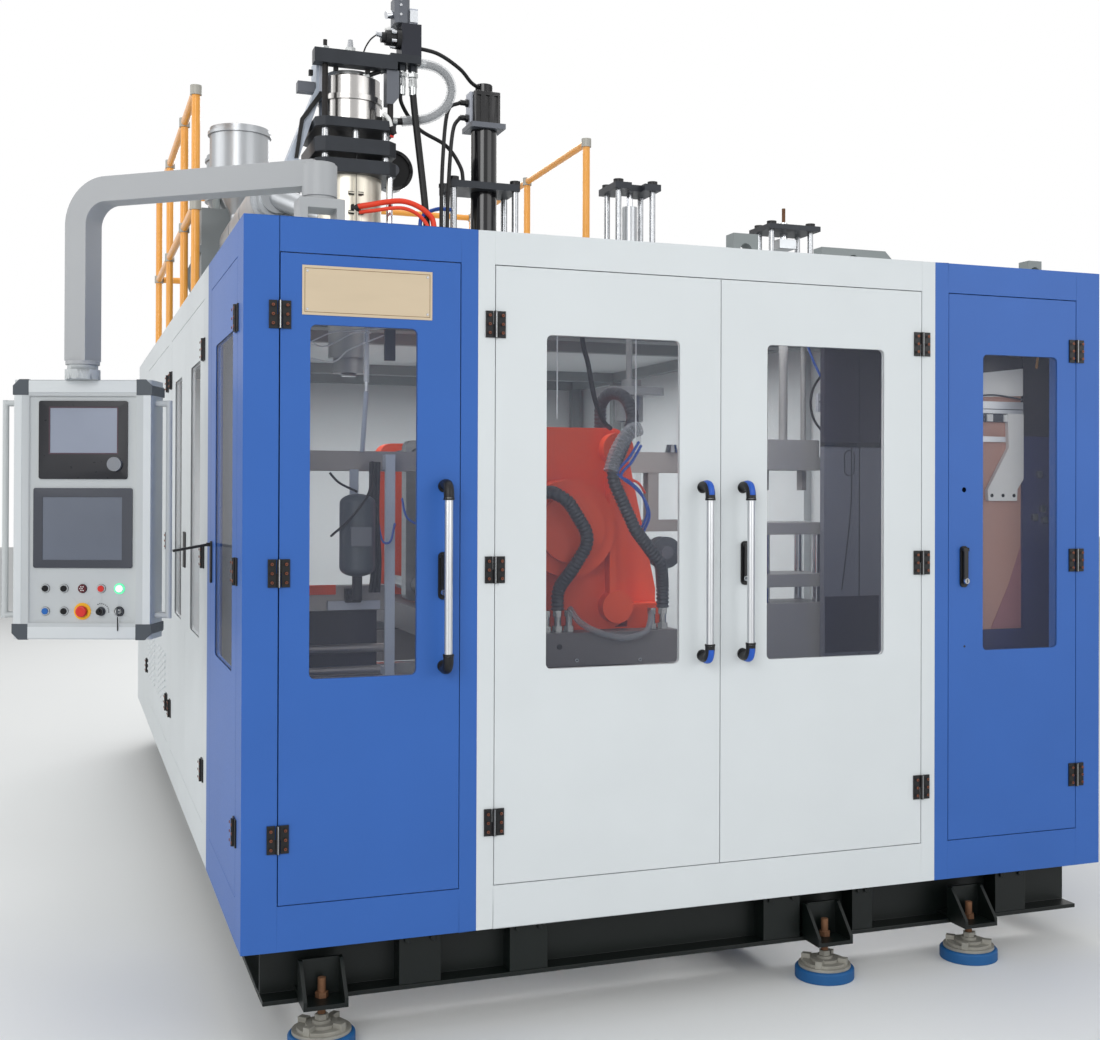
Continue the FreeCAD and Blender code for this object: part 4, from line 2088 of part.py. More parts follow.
# Roof stations: frames with their guide plates, then drives
def guide_plate(x0, x1, bores):
    y0 = CARRIER_A_Y + ROOF_LAP
    y1 = CARRIER_B_Y + CARRIER - ROOF_LAP
    plate = block(x0, x1, y0, y1, GUIDE_PLATE_Z, GUIDE_PLATE_Z + GUIDE_PLATE_T)
    tools = []
    for x, radius in bores:
        tools.append(stem(x, STATION_Y, GUIDE_PLATE_Z, GUIDE_PLATE_Z + GUIDE_PLATE_T, radius + SHAFT_FIT))
    return plate.cut(tools)


def waisted_plate(x0, x1, y0, y1, z0, z1):
    body = block(x0, x1, y0, y1, z0, z1)
    middle = (x0 + x1) * HALF
    notch_x0 = middle - TRIM_WAIST * HALF
    notch_x1 = middle + TRIM_WAIST * HALF
    front = block(notch_x0, notch_x1, y0, y0 + TRIM_WAIST_D, z0, z1)
    rear = block(notch_x0, notch_x1, y1 - TRIM_WAIST_D, y1, z0, z1)
    return body.cut([front, rear])


def take_rods_x():
    return (TAKE_PLATE_X0 + TAKE_POST_IN, TAKE_PLATE_X1 - TAKE_POST_IN)


def station_frames():
    low = GUIDE_PLATE_Z + GUIDE_PLATE_T
    blow_xs = (BLOW_POST_A, BLOW_POST_B)
    trim_xs = (TRIM_PLATE_X0 + TRIM_POST_IN, TRIM_PLATE_X1 - TRIM_POST_IN)
    take_xs = take_rods_x()
    parts = [
        guide_plate(BLOW_PLATE_X0, BLOW_PLATE_X1, [(BLOW_X, PIN_ROD_R)]),
        guide_plate(TRIM_PLATE_X0, TRIM_PLATE_X1, [(TRIM_X, TRIM_ROD_R)]),
        guide_plate(
            TAKE_PLATE_X0, TAKE_PLATE_X1,
            [(TAKE_X, TAKE_STEM_R), (take_xs[0], TAKE_POST_R), (take_xs[1], TAKE_POST_R)],
        ),
        block(BLOW_PLATE_X0, BLOW_PLATE_X1, STATION_Y0, STATION_Y1, BLOW_PLATE_Z0, BLOW_PLATE_Z1),
        waisted_plate(TRIM_PLATE_X0, TRIM_PLATE_X1, STATION_Y0, STATION_Y1, TRIM_PLATE_Z0, TRIM_PLATE_Z1),
        block(TAKE_PLATE_X0, TAKE_PLATE_X1, STATION_Y0, STATION_Y1, TAKE_PLATE_Z0, TAKE_PLATE_Z1),
    ]
    for x in blow_xs:
        for y in (POST_FRONT_Y, POST_REAR_Y):
            parts.append(stem(x, y, low, BLOW_PLATE_Z0, BLOW_POST_R))
            parts.append(stem(x, y, BLOW_PLATE_Z1, BLOW_PLATE_Z1 + NUT_CAP_H, NUT_CAP_R))
    for x in trim_xs:
        for y in (TRIM_FRONT_Y, TRIM_REAR_Y):
            parts.append(stem(x, y, low, TRIM_PLATE_Z0, TRIM_POST_R))
            parts.append(stem(x, y, TRIM_PLATE_Z1, TRIM_PLATE_Z1 + NUT_CAP_H, NUT_CAP_R))
    for x in take_xs:
        for y in (TAKE_FRONT_Y, TAKE_REAR_Y):
            parts.append(stem(x, y, low, TAKE_PLATE_Z0, TAKE_POST_R))
            parts.append(stem(x, y, TAKE_PLATE_Z1, TAKE_PLATE_Z1 + NUT_CAP_H, NUT_CAP_R))
    return group(parts)


# The drive is a grooved square motor with a knurled cap and a plate of plugs on its side.
def blow_motor():
    half = BLOW_MOTOR_HALF
    y = STATION_Y
    z0 = BLOW_FLANGE_Z1
    body = rounded(BLOW_X - half, BLOW_X + half, y - half, y + half, z0, BLOW_MOTOR_Z1, BLOW_MOTOR_R, UP)
    grooves = []
    for offset in (-GROOVE_PITCH, 0, GROOVE_PITCH):
        x0 = BLOW_X + offset - GROOVE_W * HALF
        groove = block(x0, x0 + GROOVE_W, y - half, y - half + GROOVE_IN, z0, BLOW_MOTOR_Z1 - GROOVE_TOP)
        for side in range(SIDE_COUNT):
            grooves.append(turned(groove, side * QUARTER, V(BLOW_X, y, 0)))
    cap = [stem(BLOW_X, y, BLOW_MOTOR_Z1, BLOW_CAP_Z1, BLOW_CAP_R)]
    ridge_out = BLOW_CAP_R + CAP_RIDGE_OUT
    ridge = block(BLOW_X, BLOW_X + ridge_out, y, y + CAP_RIDGE_W, BLOW_MOTOR_Z1, BLOW_CAP_Z1 - CAP_RIDGE_OUT)
    for index in range(CAP_RIDGE_COUNT):
        cap.append(turned(ridge, index * FULL_TURN / CAP_RIDGE_COUNT, V(BLOW_X, y, 0)))
    return fuse([body.cut(grooves)] + cap)


def plug(z):
    x = BLOW_X - BLOW_MOTOR_HALF - SIDE_PLATE_T
    centre = V(x, STATION_Y, z)
    end = V(x - PLUG_L, STATION_Y, z)
    return fuse([rod(centre, end, PLUG_R), hexagon(centre, PLUG_R + CAP_RIDGE_W, V(-SIDE_PLATE_T, 0, 0))])


def motor_side_plate():
    x1 = BLOW_X - BLOW_MOTOR_HALF
    half = SIDE_PLATE_W * HALF
    z0 = BLOW_FLANGE_Z1
    return block(x1 - SIDE_PLATE_T, x1, STATION_Y - half, STATION_Y + half, z0, BLOW_MOTOR_Z1)


def station_cylinders():
    y = STATION_Y
    flange_half = BLOW_FLANGE_HALF
    low = GUIDE_PLATE_Z + GUIDE_PLATE_T
    spindle = stem(BLOW_X, y, low, BLOW_PLATE_Z0, BLOW_TUBE_R)
    spindle = spindle.cut(stem(BLOW_X, y, low, PIN_TOP + PIN_ROOM, PIN_ROD_R + SHAFT_FIT))
    ram = stem(TRIM_X, y, low, TRIM_CYL_Z1, TRIM_CYL_R)
    ram = ram.cut(stem(TRIM_X, y, low, TRIM_CYL_Z1 - TRIM_CYL_R, TRIM_ROD_R + SHAFT_FIT))
    link = stem(TRIM_X, y, TRIM_CYL_Z1, TRIM_PLATE_Z0, TRIM_ROD_R)
    block_half = TAKE_BASE_Z1 - TAKE_BASE_Z0
    parts = [
        spindle,
        stem(BLOW_X, y, BLOW_PLATE_Z1, BLOW_TUBE_Z1, BLOW_TUBE_R),
        block(
            BLOW_X - flange_half, BLOW_X + flange_half, y - flange_half, y + flange_half,
            BLOW_TUBE_Z1, BLOW_FLANGE_Z1,
        ),
        blow_motor(),
        motor_side_plate(),
        plug(PLUG_LOW_Z),
        plug(PLUG_HIGH_Z),
        ram,
        link,
        block(
            TAKE_X - block_half, TAKE_X + block_half, y - block_half, y + block_half, TAKE_BASE_Z0,
            TAKE_BASE_Z1
        ),
        stem(TAKE_X, y, TAKE_BASE_Z1, TAKE_PLATE_Z0, SLEEVE_ROD_R),
        stem(TAKE_X, y, TAKE_PLATE_Z1, SLEEVE_ROD_Z1, SLEEVE_ROD_R),
        stem(TAKE_X, y, SLEEVE_ROD_Z1, SCREW_Z1, SCREW_R),
    ]
    return group(parts)


save("station_frames", station_frames())
save("station_cylinders", station_cylinders())


def blow_pin():
    y = STATION_Y
    half = PIN_HEAD_W * HALF
    parts = [
        rounded(
            BLOW_X - half, BLOW_X + half, y - half * HALF, y + half * HALF, PIN_HEAD_Z0, PIN_HEAD_Z1,
            PIN_TIP_R, UP
        ),
        stem(BLOW_X, y, PIN_HEAD_Z1, PIN_TOP, PIN_ROD_R),
        stem(BLOW_X, y, PIN_STEM_Z, PIN_HEAD_Z0, PIN_STEM_R),
        funnel(BLOW_X, y, PIN_STEM_Z - PIN_TIP, PIN_STEM_Z, PIN_TIP_R, PIN_STEM_R),
    ]
    return fuse(parts)


def trim_press_head():
    y = STATION_Y
    half_w = TRIM_HEAD_W * HALF
    half_d = TRIM_HEAD_D * HALF
    z0 = TRIM_HEAD_Z0
    z1 = z0 + TRIM_HEAD_T
    top = TRIM_CYL_Z1 - TRIM_CYL_R - TRIM_ROD_R
    ring = stem(TRIM_X, y, z0 - TRIM_CUTTER_H, z0, TRIM_CUTTER_R)
    ring = ring.cut(stem(TRIM_X, y, z0 - TRIM_CUTTER_H, z0, TRIM_CUTTER_R - TRIM_CUTTER_WALL))
    parts = [
        chamfered_plate(TRIM_X - half_w, TRIM_X + half_w, y - half_d, y + half_d, z0, z1, TRIM_POST_IN),
        stem(TRIM_X, y, z1, top, TRIM_ROD_R),
        stem(TRIM_X, y, z1, z1 + TRIM_HEAD_T, TRIM_CYL_R),
        ring,
    ]
    return fuse(parts)


def take_out_head():
    y = STATION_Y
    half_w = TAKE_HEAD_W * HALF
    half_d = TAKE_HEAD_D * HALF
    z1 = TAKE_HEAD_Z1
    parts = [
        block(TAKE_X - half_w, TAKE_X + half_w, y - half_d, y + half_d, TAKE_HEAD_Z0, TAKE_HEAD_MID),
        chamfered_plate(
            TAKE_X - half_w, TAKE_X + half_w, y - half_d, y + half_d, TAKE_HEAD_MID, z1, FINGER_W
        ),
        stem(TAKE_X, y, z1, TAKE_STEM_TOP, TAKE_STEM_R),
    ]
    for x in take_rods_x():
        parts.append(stem(x, y, z1, TAKE_ROD_TOP, TAKE_POST_R))
    for side in (-1, 1):
        x = TAKE_X + side * FINGER_AT
        parts.append(
            block(
                x - FINGER_W * HALF, x + FINGER_W * HALF, y - FINGER_W, y + FINGER_W, TAKE_HEAD_Z0 - FINGER_H,
                TAKE_HEAD_Z0
            )
        )
    return fuse(parts)


save("blow_pin", blow_pin())
save("trim_press_head", trim_press_head())
save("take_out_head", take_out_head())


# Mould clamp: two crossheads on a base frame, tie bars, sliding platens with mould halves
def tie_sites():
    sites = []
    for dx in (-TIE_X, TIE_X):
        for dz in (-TIE_Z, TIE_Z):
            sites.append((CLAMP_X + dx, CLAMP_Z + dz))
    return sites


def front_crosshead():
    half = CROSSHEAD_W * HALF
    x0 = CLAMP_X - half
    x1 = CLAMP_X + half
    y0 = CROSSHEAD_Y0
    y1 = CROSSHEAD_Y1
    body = rounded(x0, x1, y0, y1, CROSSHEAD_Z0, CROSSHEAD_Z1, CROSSHEAD_R, ALONG_Y)
    parts = [body]
    for x in (x0 + CROSSHEAD_R, x1 - CROSSHEAD_R - RIB_T):
        parts.append(
            block(x, x + RIB_T, y0 - RIB_OUT, y0, CROSSHEAD_Z0 + CROSSHEAD_R, CROSSHEAD_Z1 - CROSSHEAD_R)
        )
    for z in (CLAMP_Z - RIB_T * HALF,):
        parts.append(block(x0 + CROSSHEAD_R, x1 - CROSSHEAD_R, y0 - RIB_OUT, y0, z, z + RIB_T))
    parts.append(rod(V(CLAMP_X, y0 - BOSS_OUT, CLAMP_Z), V(CLAMP_X, y0, CLAMP_Z), BOSS_R))
    parts.append(
        rod(V(CLAMP_X, y0 - BOSS_OUT - BOSS_CAP, CLAMP_Z), V(CLAMP_X, y0 - BOSS_OUT, CLAMP_Z), BOSS_CAP_R)
    )
    gusset = [
        V(x1 - CROSSHEAD_R, y1 - RIB_T, CROSSHEAD_Z0),
        V(GUSSET_X1, y1 - RIB_T, CROSSHEAD_Z0),
        V(GUSSET_X1, y1 - RIB_T, GUSSET_Z0),
        V(x1 + RIB_OUT, y1 - RIB_T, GUSSET_Z1),
        V(x1 - CROSSHEAD_R, y1 - RIB_T, GUSSET_Z1),
    ]
    parts.append(prism(gusset, V(0, RIB_T, 0)))
    parts.append(block(x1, GUSSET_X1, y0, y1, CROSSHEAD_Z0, CLAMP_FOOT_Z0))
    bore = rod(V(CLAMP_X, y0 - BOSS_OUT, CLAMP_Z), V(CLAMP_X, y1, CLAMP_Z), RAM_ROD_R + RAM_FIT)
    return fuse(parts).cut(bore)


def clamp_base():
    x0 = CLAMP_BASE_X0
    x1 = CLAMP_BASE_X1
    y0 = CLAMP_BASE_Y0
    y1 = CLAMP_BASE_Y1
    beam = CLAMP_BEAM
    z0 = CLAMP_BASE_Z0
    z1 = CLAMP_BASE_Z1
    parts = [
        block(x0, x1, y0, y0 + beam, z0, z1),
        block(x0, x1, y1 - beam, y1, z0, z1),
        block(x0, x0 + beam, y0 + beam, y1 - beam, z0, z1),
        block(x1 - beam, x1, y0 + beam, y1 - beam, z0, z1),
    ]
    half = CROSSHEAD_W * HALF
    for shoe_y in (CROSSHEAD_Y0, ENC_SPAN_Y - CROSSHEAD_Y1):
        parts.append(
            block(CLAMP_X - half, GUSSET_X1, shoe_y, shoe_y + CROSSHEAD_Y1 - CROSSHEAD_Y0, z1, CROSSHEAD_Z0)
        )
    return parts


def mirrored(shape):
    return flipped_y(shape, STATION_Y)


def clamp_carriage():
    front = front_crosshead()
    parts = clamp_base() + [front, mirrored(front)]
    rear_face = ENC_SPAN_Y - CROSSHEAD_Y1
    left = (FITTING_A_X - FITTING_PITCH, FITTING_A_X, FITTING_A_X + FITTING_PITCH)
    right = (FITTING_B_X - FITTING_PITCH, FITTING_B_X)
    for x in left + right:
        parts.append(fitting(x, FITTING_Y, CLAMP_BASE_Z1))
    for x, z in tie_sites():
        parts.append(rod(V(x, CROSSHEAD_Y1, z), V(x, rear_face, z), TIE_R))
        nut = rod(V(x, CROSSHEAD_Y0 - TIE_NUT, z), V(x, CROSSHEAD_Y0, z), TIE_NUT_R)
        parts.append(nut)
        parts.append(mirrored(nut))
    return group(parts)


def bottle_half():
    top = MOULD_TOP
    profile = [
        V(0, 0, top),
        V(BOTTLE_NECK_R, 0, top),
        V(BOTTLE_NECK_R, 0, top - BOTTLE_NECK),
        V(BOTTLE_R, 0, top - BOTTLE_NECK - BOTTLE_SHOULDER),
        V(BOTTLE_R, 0, top - BOTTLE_NECK - BOTTLE_H),
        V(0, 0, top - BOTTLE_NECK - BOTTLE_H),
    ]
    face = Part.Face(Part.makePolygon(profile + [profile[0]]))
    return moved(face.revolve(ORIGIN, UP, FULL_TURN), CLAMP_X, 0, 0)


def front_platen():
    face = STATION_Y - DAYLIGHT_HALF
    back = face - MOULD_T
    half_w = PLATEN_W * HALF
    half_m = MOULD_W * HALF
    z0 = CLAMP_Z - PLATEN_H * HALF
    z1 = CLAMP_Z + PLATEN_H * HALF
    plate = rounded(
        CLAMP_X - half_w, CLAMP_X + half_w, back - PLATEN_T, back, z0, z1, CROSSHEAD_R * HALF, ALONG_Y
    )
    mould = block(CLAMP_X - half_m, CLAMP_X + half_m, back, face, MOULD_TOP - MOULD_H, MOULD_TOP)
    mould = mould.cut(moved(bottle_half(), 0, face + MOULD_MEET, 0))
    ram_end = CROSSHEAD_Y0 + RAM_ROD_R
    ram = rod(V(CLAMP_X, ram_end, CLAMP_Z), V(CLAMP_X, back - PLATEN_T, CLAMP_Z), RAM_ROD_R)
    tools = [rod(V(x, back - PLATEN_T, z), V(x, back, z), TIE_R + TIE_FIT) for x, z in tie_sites()]
    return group([plate.cut(tools), mould, ram])


save("clamp_carriage", clamp_carriage())
save("front_platen", front_platen())
save("rear_platen", mirrored(front_platen()))


def clamp_hoses():
    left = [HOSE_A_START, HOSE_A_1, HOSE_A_2, HOSE_A_3, HOSE_A_4, HOSE_A_5, HOSE_A_END]
    right = [HOSE_B_START, HOSE_B_1, HOSE_B_2, HOSE_B_3, HOSE_B_4, HOSE_B_5, HOSE_B_6, HOSE_B_7, HOSE_B_END]
    seats = [front_crosshead()]
    for x in (FITTING_A_X, FITTING_B_X):
        seats.append(fitting(x, FITTING_Y, CLAMP_BASE_Z1))
    return group([ribbed_hose(points, CLAMP_HOSE_BEND).cut(seats) for points in (left, right)])


save("clamp_hoses", clamp_hoses())


# Machine bed with shuttle rails, discharge tables and the fixtures behind the left door
def discharge_table():
    x0 = TABLE_X0
    x1 = TABLE_X1
    y0 = TABLE_Y0
    y1 = TABLE_Y1
    parts = [
        block(x0, x1, y0, y1, BEAM_Z1, TABLE_BASE_Z1),
        block(x0, x1, y0, y1, TABLE_LOW_Z0, TABLE_LOW_Z1),
        block(x0, x1, y0, y1, TABLE_TOP_Z0, TABLE_TOP_Z1),
    ]
    for x in (x0 + TABLE_POST_IN, x1 - TABLE_POST_IN):
        for y in (y0 + TABLE_POST_IN, y1 - TABLE_POST_IN):
            parts.append(stem(x, y, TABLE_BASE_Z1, TABLE_LOW_Z0, TABLE_POST_R))
            parts.append(stem(x, y, TABLE_LOW_Z1, TABLE_TOP_Z0, TABLE_POST_R))
    return parts


def left_fixture():
    x0 = FIXTURE_POST_X
    x1 = x0 + FIXTURE_W
    y0 = LEFT_BEAM_Y0
    y1 = LEFT_BEAM_Y1
    middle = (y0 + y1) * HALF
    parts = [
        block(x0, x1, y0, y1, BEAM_Z1, LEFT_BEAM_Z1),
        block(x1, LEFT_BEAM_X1, y0, y1, LEFT_BEAM_Z0, LEFT_BEAM_Z1),
        block(x1, BLOCK_X1, y0, y1, BLOCK_Z0, BLOCK_Z1),
    ]
    for z in (LEFT_ROD_LOW, LEFT_ROD_HIGH):
        parts.append(rod(V(x1, middle, z), V(BLOCK_X1, middle, z), LEFT_ROD_R))
    return parts


def machine_bed():
    x0 = BED_X0
    x1 = BED_X1
    top = BED_Z1
    beam = BED_BEAM
    leg = BED_LEG
    rear = BED_Y1 - beam
    parts = discharge_table() + left_fixture()
    for y in (BED_Y0, rear):
        parts.append(block(x0, x1, y, y + beam, top - beam, top))
        rail_y = y + (beam - RAIL_W) * HALF
        parts.append(block(x0, x1, rail_y, rail_y + RAIL_W, top, CLAMP_BASE_Z0 - SLIDE_GAP))
        for x in (x0, x1 - leg):
            parts.append(block(x, x + leg, y, y + beam, BEAM_Z1, top - beam))
    for x in (x0, x1 - beam):
        parts.append(block(x, x + beam, BED_Y0 + beam, rear, top - beam, top))
    return group(parts)


save("machine_bed", machine_bed())


# Roof hoses and cables, each held at both ends
def hydraulic_lines():
    thick = [
        [LOOP_START, LOOP_A, LOOP_B, LOOP_C, LOOP_END],
        [DROP_START, DROP_A, DROP_B, DROP_END],
    ]
    thin = [
        [BLACK_START, BLACK_A, BLACK_B, BLACK_C, BLACK_D, BLACK_END],
        [MOTOR_LEAD_START, MOTOR_LEAD_A, MOTOR_LEAD_B, MOTOR_LEAD_END],
        [FALL_START, FALL_A, FALL_B, FALL_C, FALL_END],
        [TWIN_START, TWIN_A, TWIN_B, TWIN_C, TWIN_END],
        [BLUE_START, BLUE_A, BLUE_B, BLUE_END],
    ]
    lines = [hose(points, VALVE_HOSE_R, HOSE_BEND) for points in thick]
    lines += [hose(points, CABLE_R, HOSE_BEND) for points in thin]
    lines.append(hose([RED_START, RED_A, RED_B, RED_C, RED_END], RED_HOSE_R, HOSE_BEND))
    seats = head_hydraulics().Solids + station_frames().Solids + station_cylinders().Solids
    seats += [die_head()] + upper_frame().Solids
    return group([line.cut(seats) for line in lines])


save("hydraulic_lines", hydraulic_lines())
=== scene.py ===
import bpy
import bmesh
import json
import math
from mathutils import Matrix, Vector


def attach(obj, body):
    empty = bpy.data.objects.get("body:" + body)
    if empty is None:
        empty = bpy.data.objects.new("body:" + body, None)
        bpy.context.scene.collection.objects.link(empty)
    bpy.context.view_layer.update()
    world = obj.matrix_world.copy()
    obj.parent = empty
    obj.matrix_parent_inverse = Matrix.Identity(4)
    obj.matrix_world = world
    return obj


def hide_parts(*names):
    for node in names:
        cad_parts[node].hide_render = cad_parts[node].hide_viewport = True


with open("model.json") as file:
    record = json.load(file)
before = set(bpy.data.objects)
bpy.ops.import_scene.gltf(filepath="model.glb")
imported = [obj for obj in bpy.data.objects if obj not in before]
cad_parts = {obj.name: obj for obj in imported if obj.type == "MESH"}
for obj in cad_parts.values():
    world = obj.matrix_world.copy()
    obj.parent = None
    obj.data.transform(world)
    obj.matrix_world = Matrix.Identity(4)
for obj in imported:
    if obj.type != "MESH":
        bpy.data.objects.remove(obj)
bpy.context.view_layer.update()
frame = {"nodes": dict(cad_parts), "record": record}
nodes = frame["nodes"]

scene = bpy.context.scene
scene.render.engine = "CYCLES"
scene.view_settings.view_transform = "Standard"


# -------- materials
SRGB_KNEE, SRGB_SLOPE, SRGB_POWER = 0.04045, 12.92, 2.4
ROUGH_SPREAD = 0.06
BUMP_DEPTH = 0.002
SPECULAR = 0.32


def linear(rgb):
    """A colour of 0 to 255, as it is written, in the renderer's linear values."""
    out = []
    for c in rgb:
        c = c / 255.0
        out.append(c / SRGB_SLOPE if c <= SRGB_KNEE else ((c + 0.055) / 1.055) ** SRGB_POWER)
    return (*out, 1.0)


def new_material(name):
    mat = bpy.data.materials.new(name)
    mat.use_nodes = True
    tree = mat.node_tree
    return mat, tree, tree.nodes["Principled BSDF"]


def coords(tree, scale=(1, 1, 1)):
    place = tree.nodes.new("ShaderNodeTexCoord")
    mapping = tree.nodes.new("ShaderNodeMapping")
    mapping.inputs["Scale"].default_value = scale
    tree.links.new(place.outputs["Object"], mapping.inputs["Vector"])
    return mapping.outputs["Vector"]


def noise(tree, vec, scale, detail=3.0):
    node = tree.nodes.new("ShaderNodeTexNoise")
    node.inputs["Scale"].default_value = scale
    node.inputs["Detail"].default_value = detail
    tree.links.new(vec, node.inputs["Vector"])
    return node.outputs["Fac"]


def shade(c, k):
    return (min(c[0] * k, 1), min(c[1] * k, 1), min(c[2] * k, 1), 1)


def blend(tree, fac, low_stop, high_stop):
    """A colour ramp between two stops, each a position and a colour."""
    node = tree.nodes.new("ShaderNodeValToRGB")
    for element, (position, color) in zip(node.color_ramp.elements, (low_stop, high_stop)):
        element.position, element.color = position, color
    tree.links.new(fac, node.inputs["Fac"])
    return node.outputs["Color"]


def surface(name, rgb, rough=0.45, metal=0.0, vary=0.06, bump=0.0, scale=3.0, stretch=(1, 1, 1),
            coat=0.0, grain=60.0):
    """Paint, metal or plastic: vary is the colour's spread, grain the fineness of its roughness."""
    mat, tree, bsdf = new_material(name)
    c = linear(rgb)
    vec = coords(tree, stretch)
    color = blend(tree, noise(tree, vec, scale), (0.25, shade(c, 1 - vary)), (0.75, shade(c, 1 + vary)))
    tree.links.new(color, bsdf.inputs["Base Color"])
    fine = noise(tree, vec, grain, 2.0)
    spread = tree.nodes.new("ShaderNodeMapRange")
    spread.inputs["To Min"].default_value = max(rough - ROUGH_SPREAD, 0.02)
    spread.inputs["To Max"].default_value = min(rough + ROUGH_SPREAD, 1.0)
    tree.links.new(fine, spread.inputs["Value"])
    tree.links.new(spread.outputs["Result"], bsdf.inputs["Roughness"])
    bsdf.inputs["Metallic"].default_value = metal
    bsdf.inputs["Specular IOR Level"].default_value = SPECULAR
    bsdf.inputs["Coat Weight"].default_value = coat
    if bump:
        node = tree.nodes.new("ShaderNodeBump")
        node.inputs["Strength"].default_value = bump
        node.inputs["Distance"].default_value = BUMP_DEPTH
        tree.links.new(fine, node.inputs["Height"])
        tree.links.new(node.outputs["Normal"], bsdf.inputs["Normal"])
    return mat


def clear(name, rgb, alpha, rough, spec):
    """Glass or a see-through sleeve."""
    mat, tree, bsdf = new_material(name)
    c = linear(rgb)
    color = blend(tree, noise(tree, coords(tree), 2.0), (0.3, shade(c, 0.95)), (0.7, shade(c, 1.0)))
    tree.links.new(color, bsdf.inputs["Base Color"])
    bsdf.inputs["Roughness"].default_value = rough
    bsdf.inputs["Alpha"].default_value = alpha
    bsdf.inputs["Specular IOR Level"].default_value = spec
    return mat


def glow(name, rgb, strength):
    mat, tree, bsdf = new_material(name)
    c = linear(rgb)
    color = blend(tree, noise(tree, coords(tree), 4.0), (0.3, shade(c, 0.9)), (0.7, c))
    tree.links.new(color, bsdf.inputs["Base Color"])
    tree.links.new(color, bsdf.inputs["Emission Color"])
    bsdf.inputs["Emission Strength"].default_value = strength
    bsdf.inputs["Roughness"].default_value = 0.3
    return mat


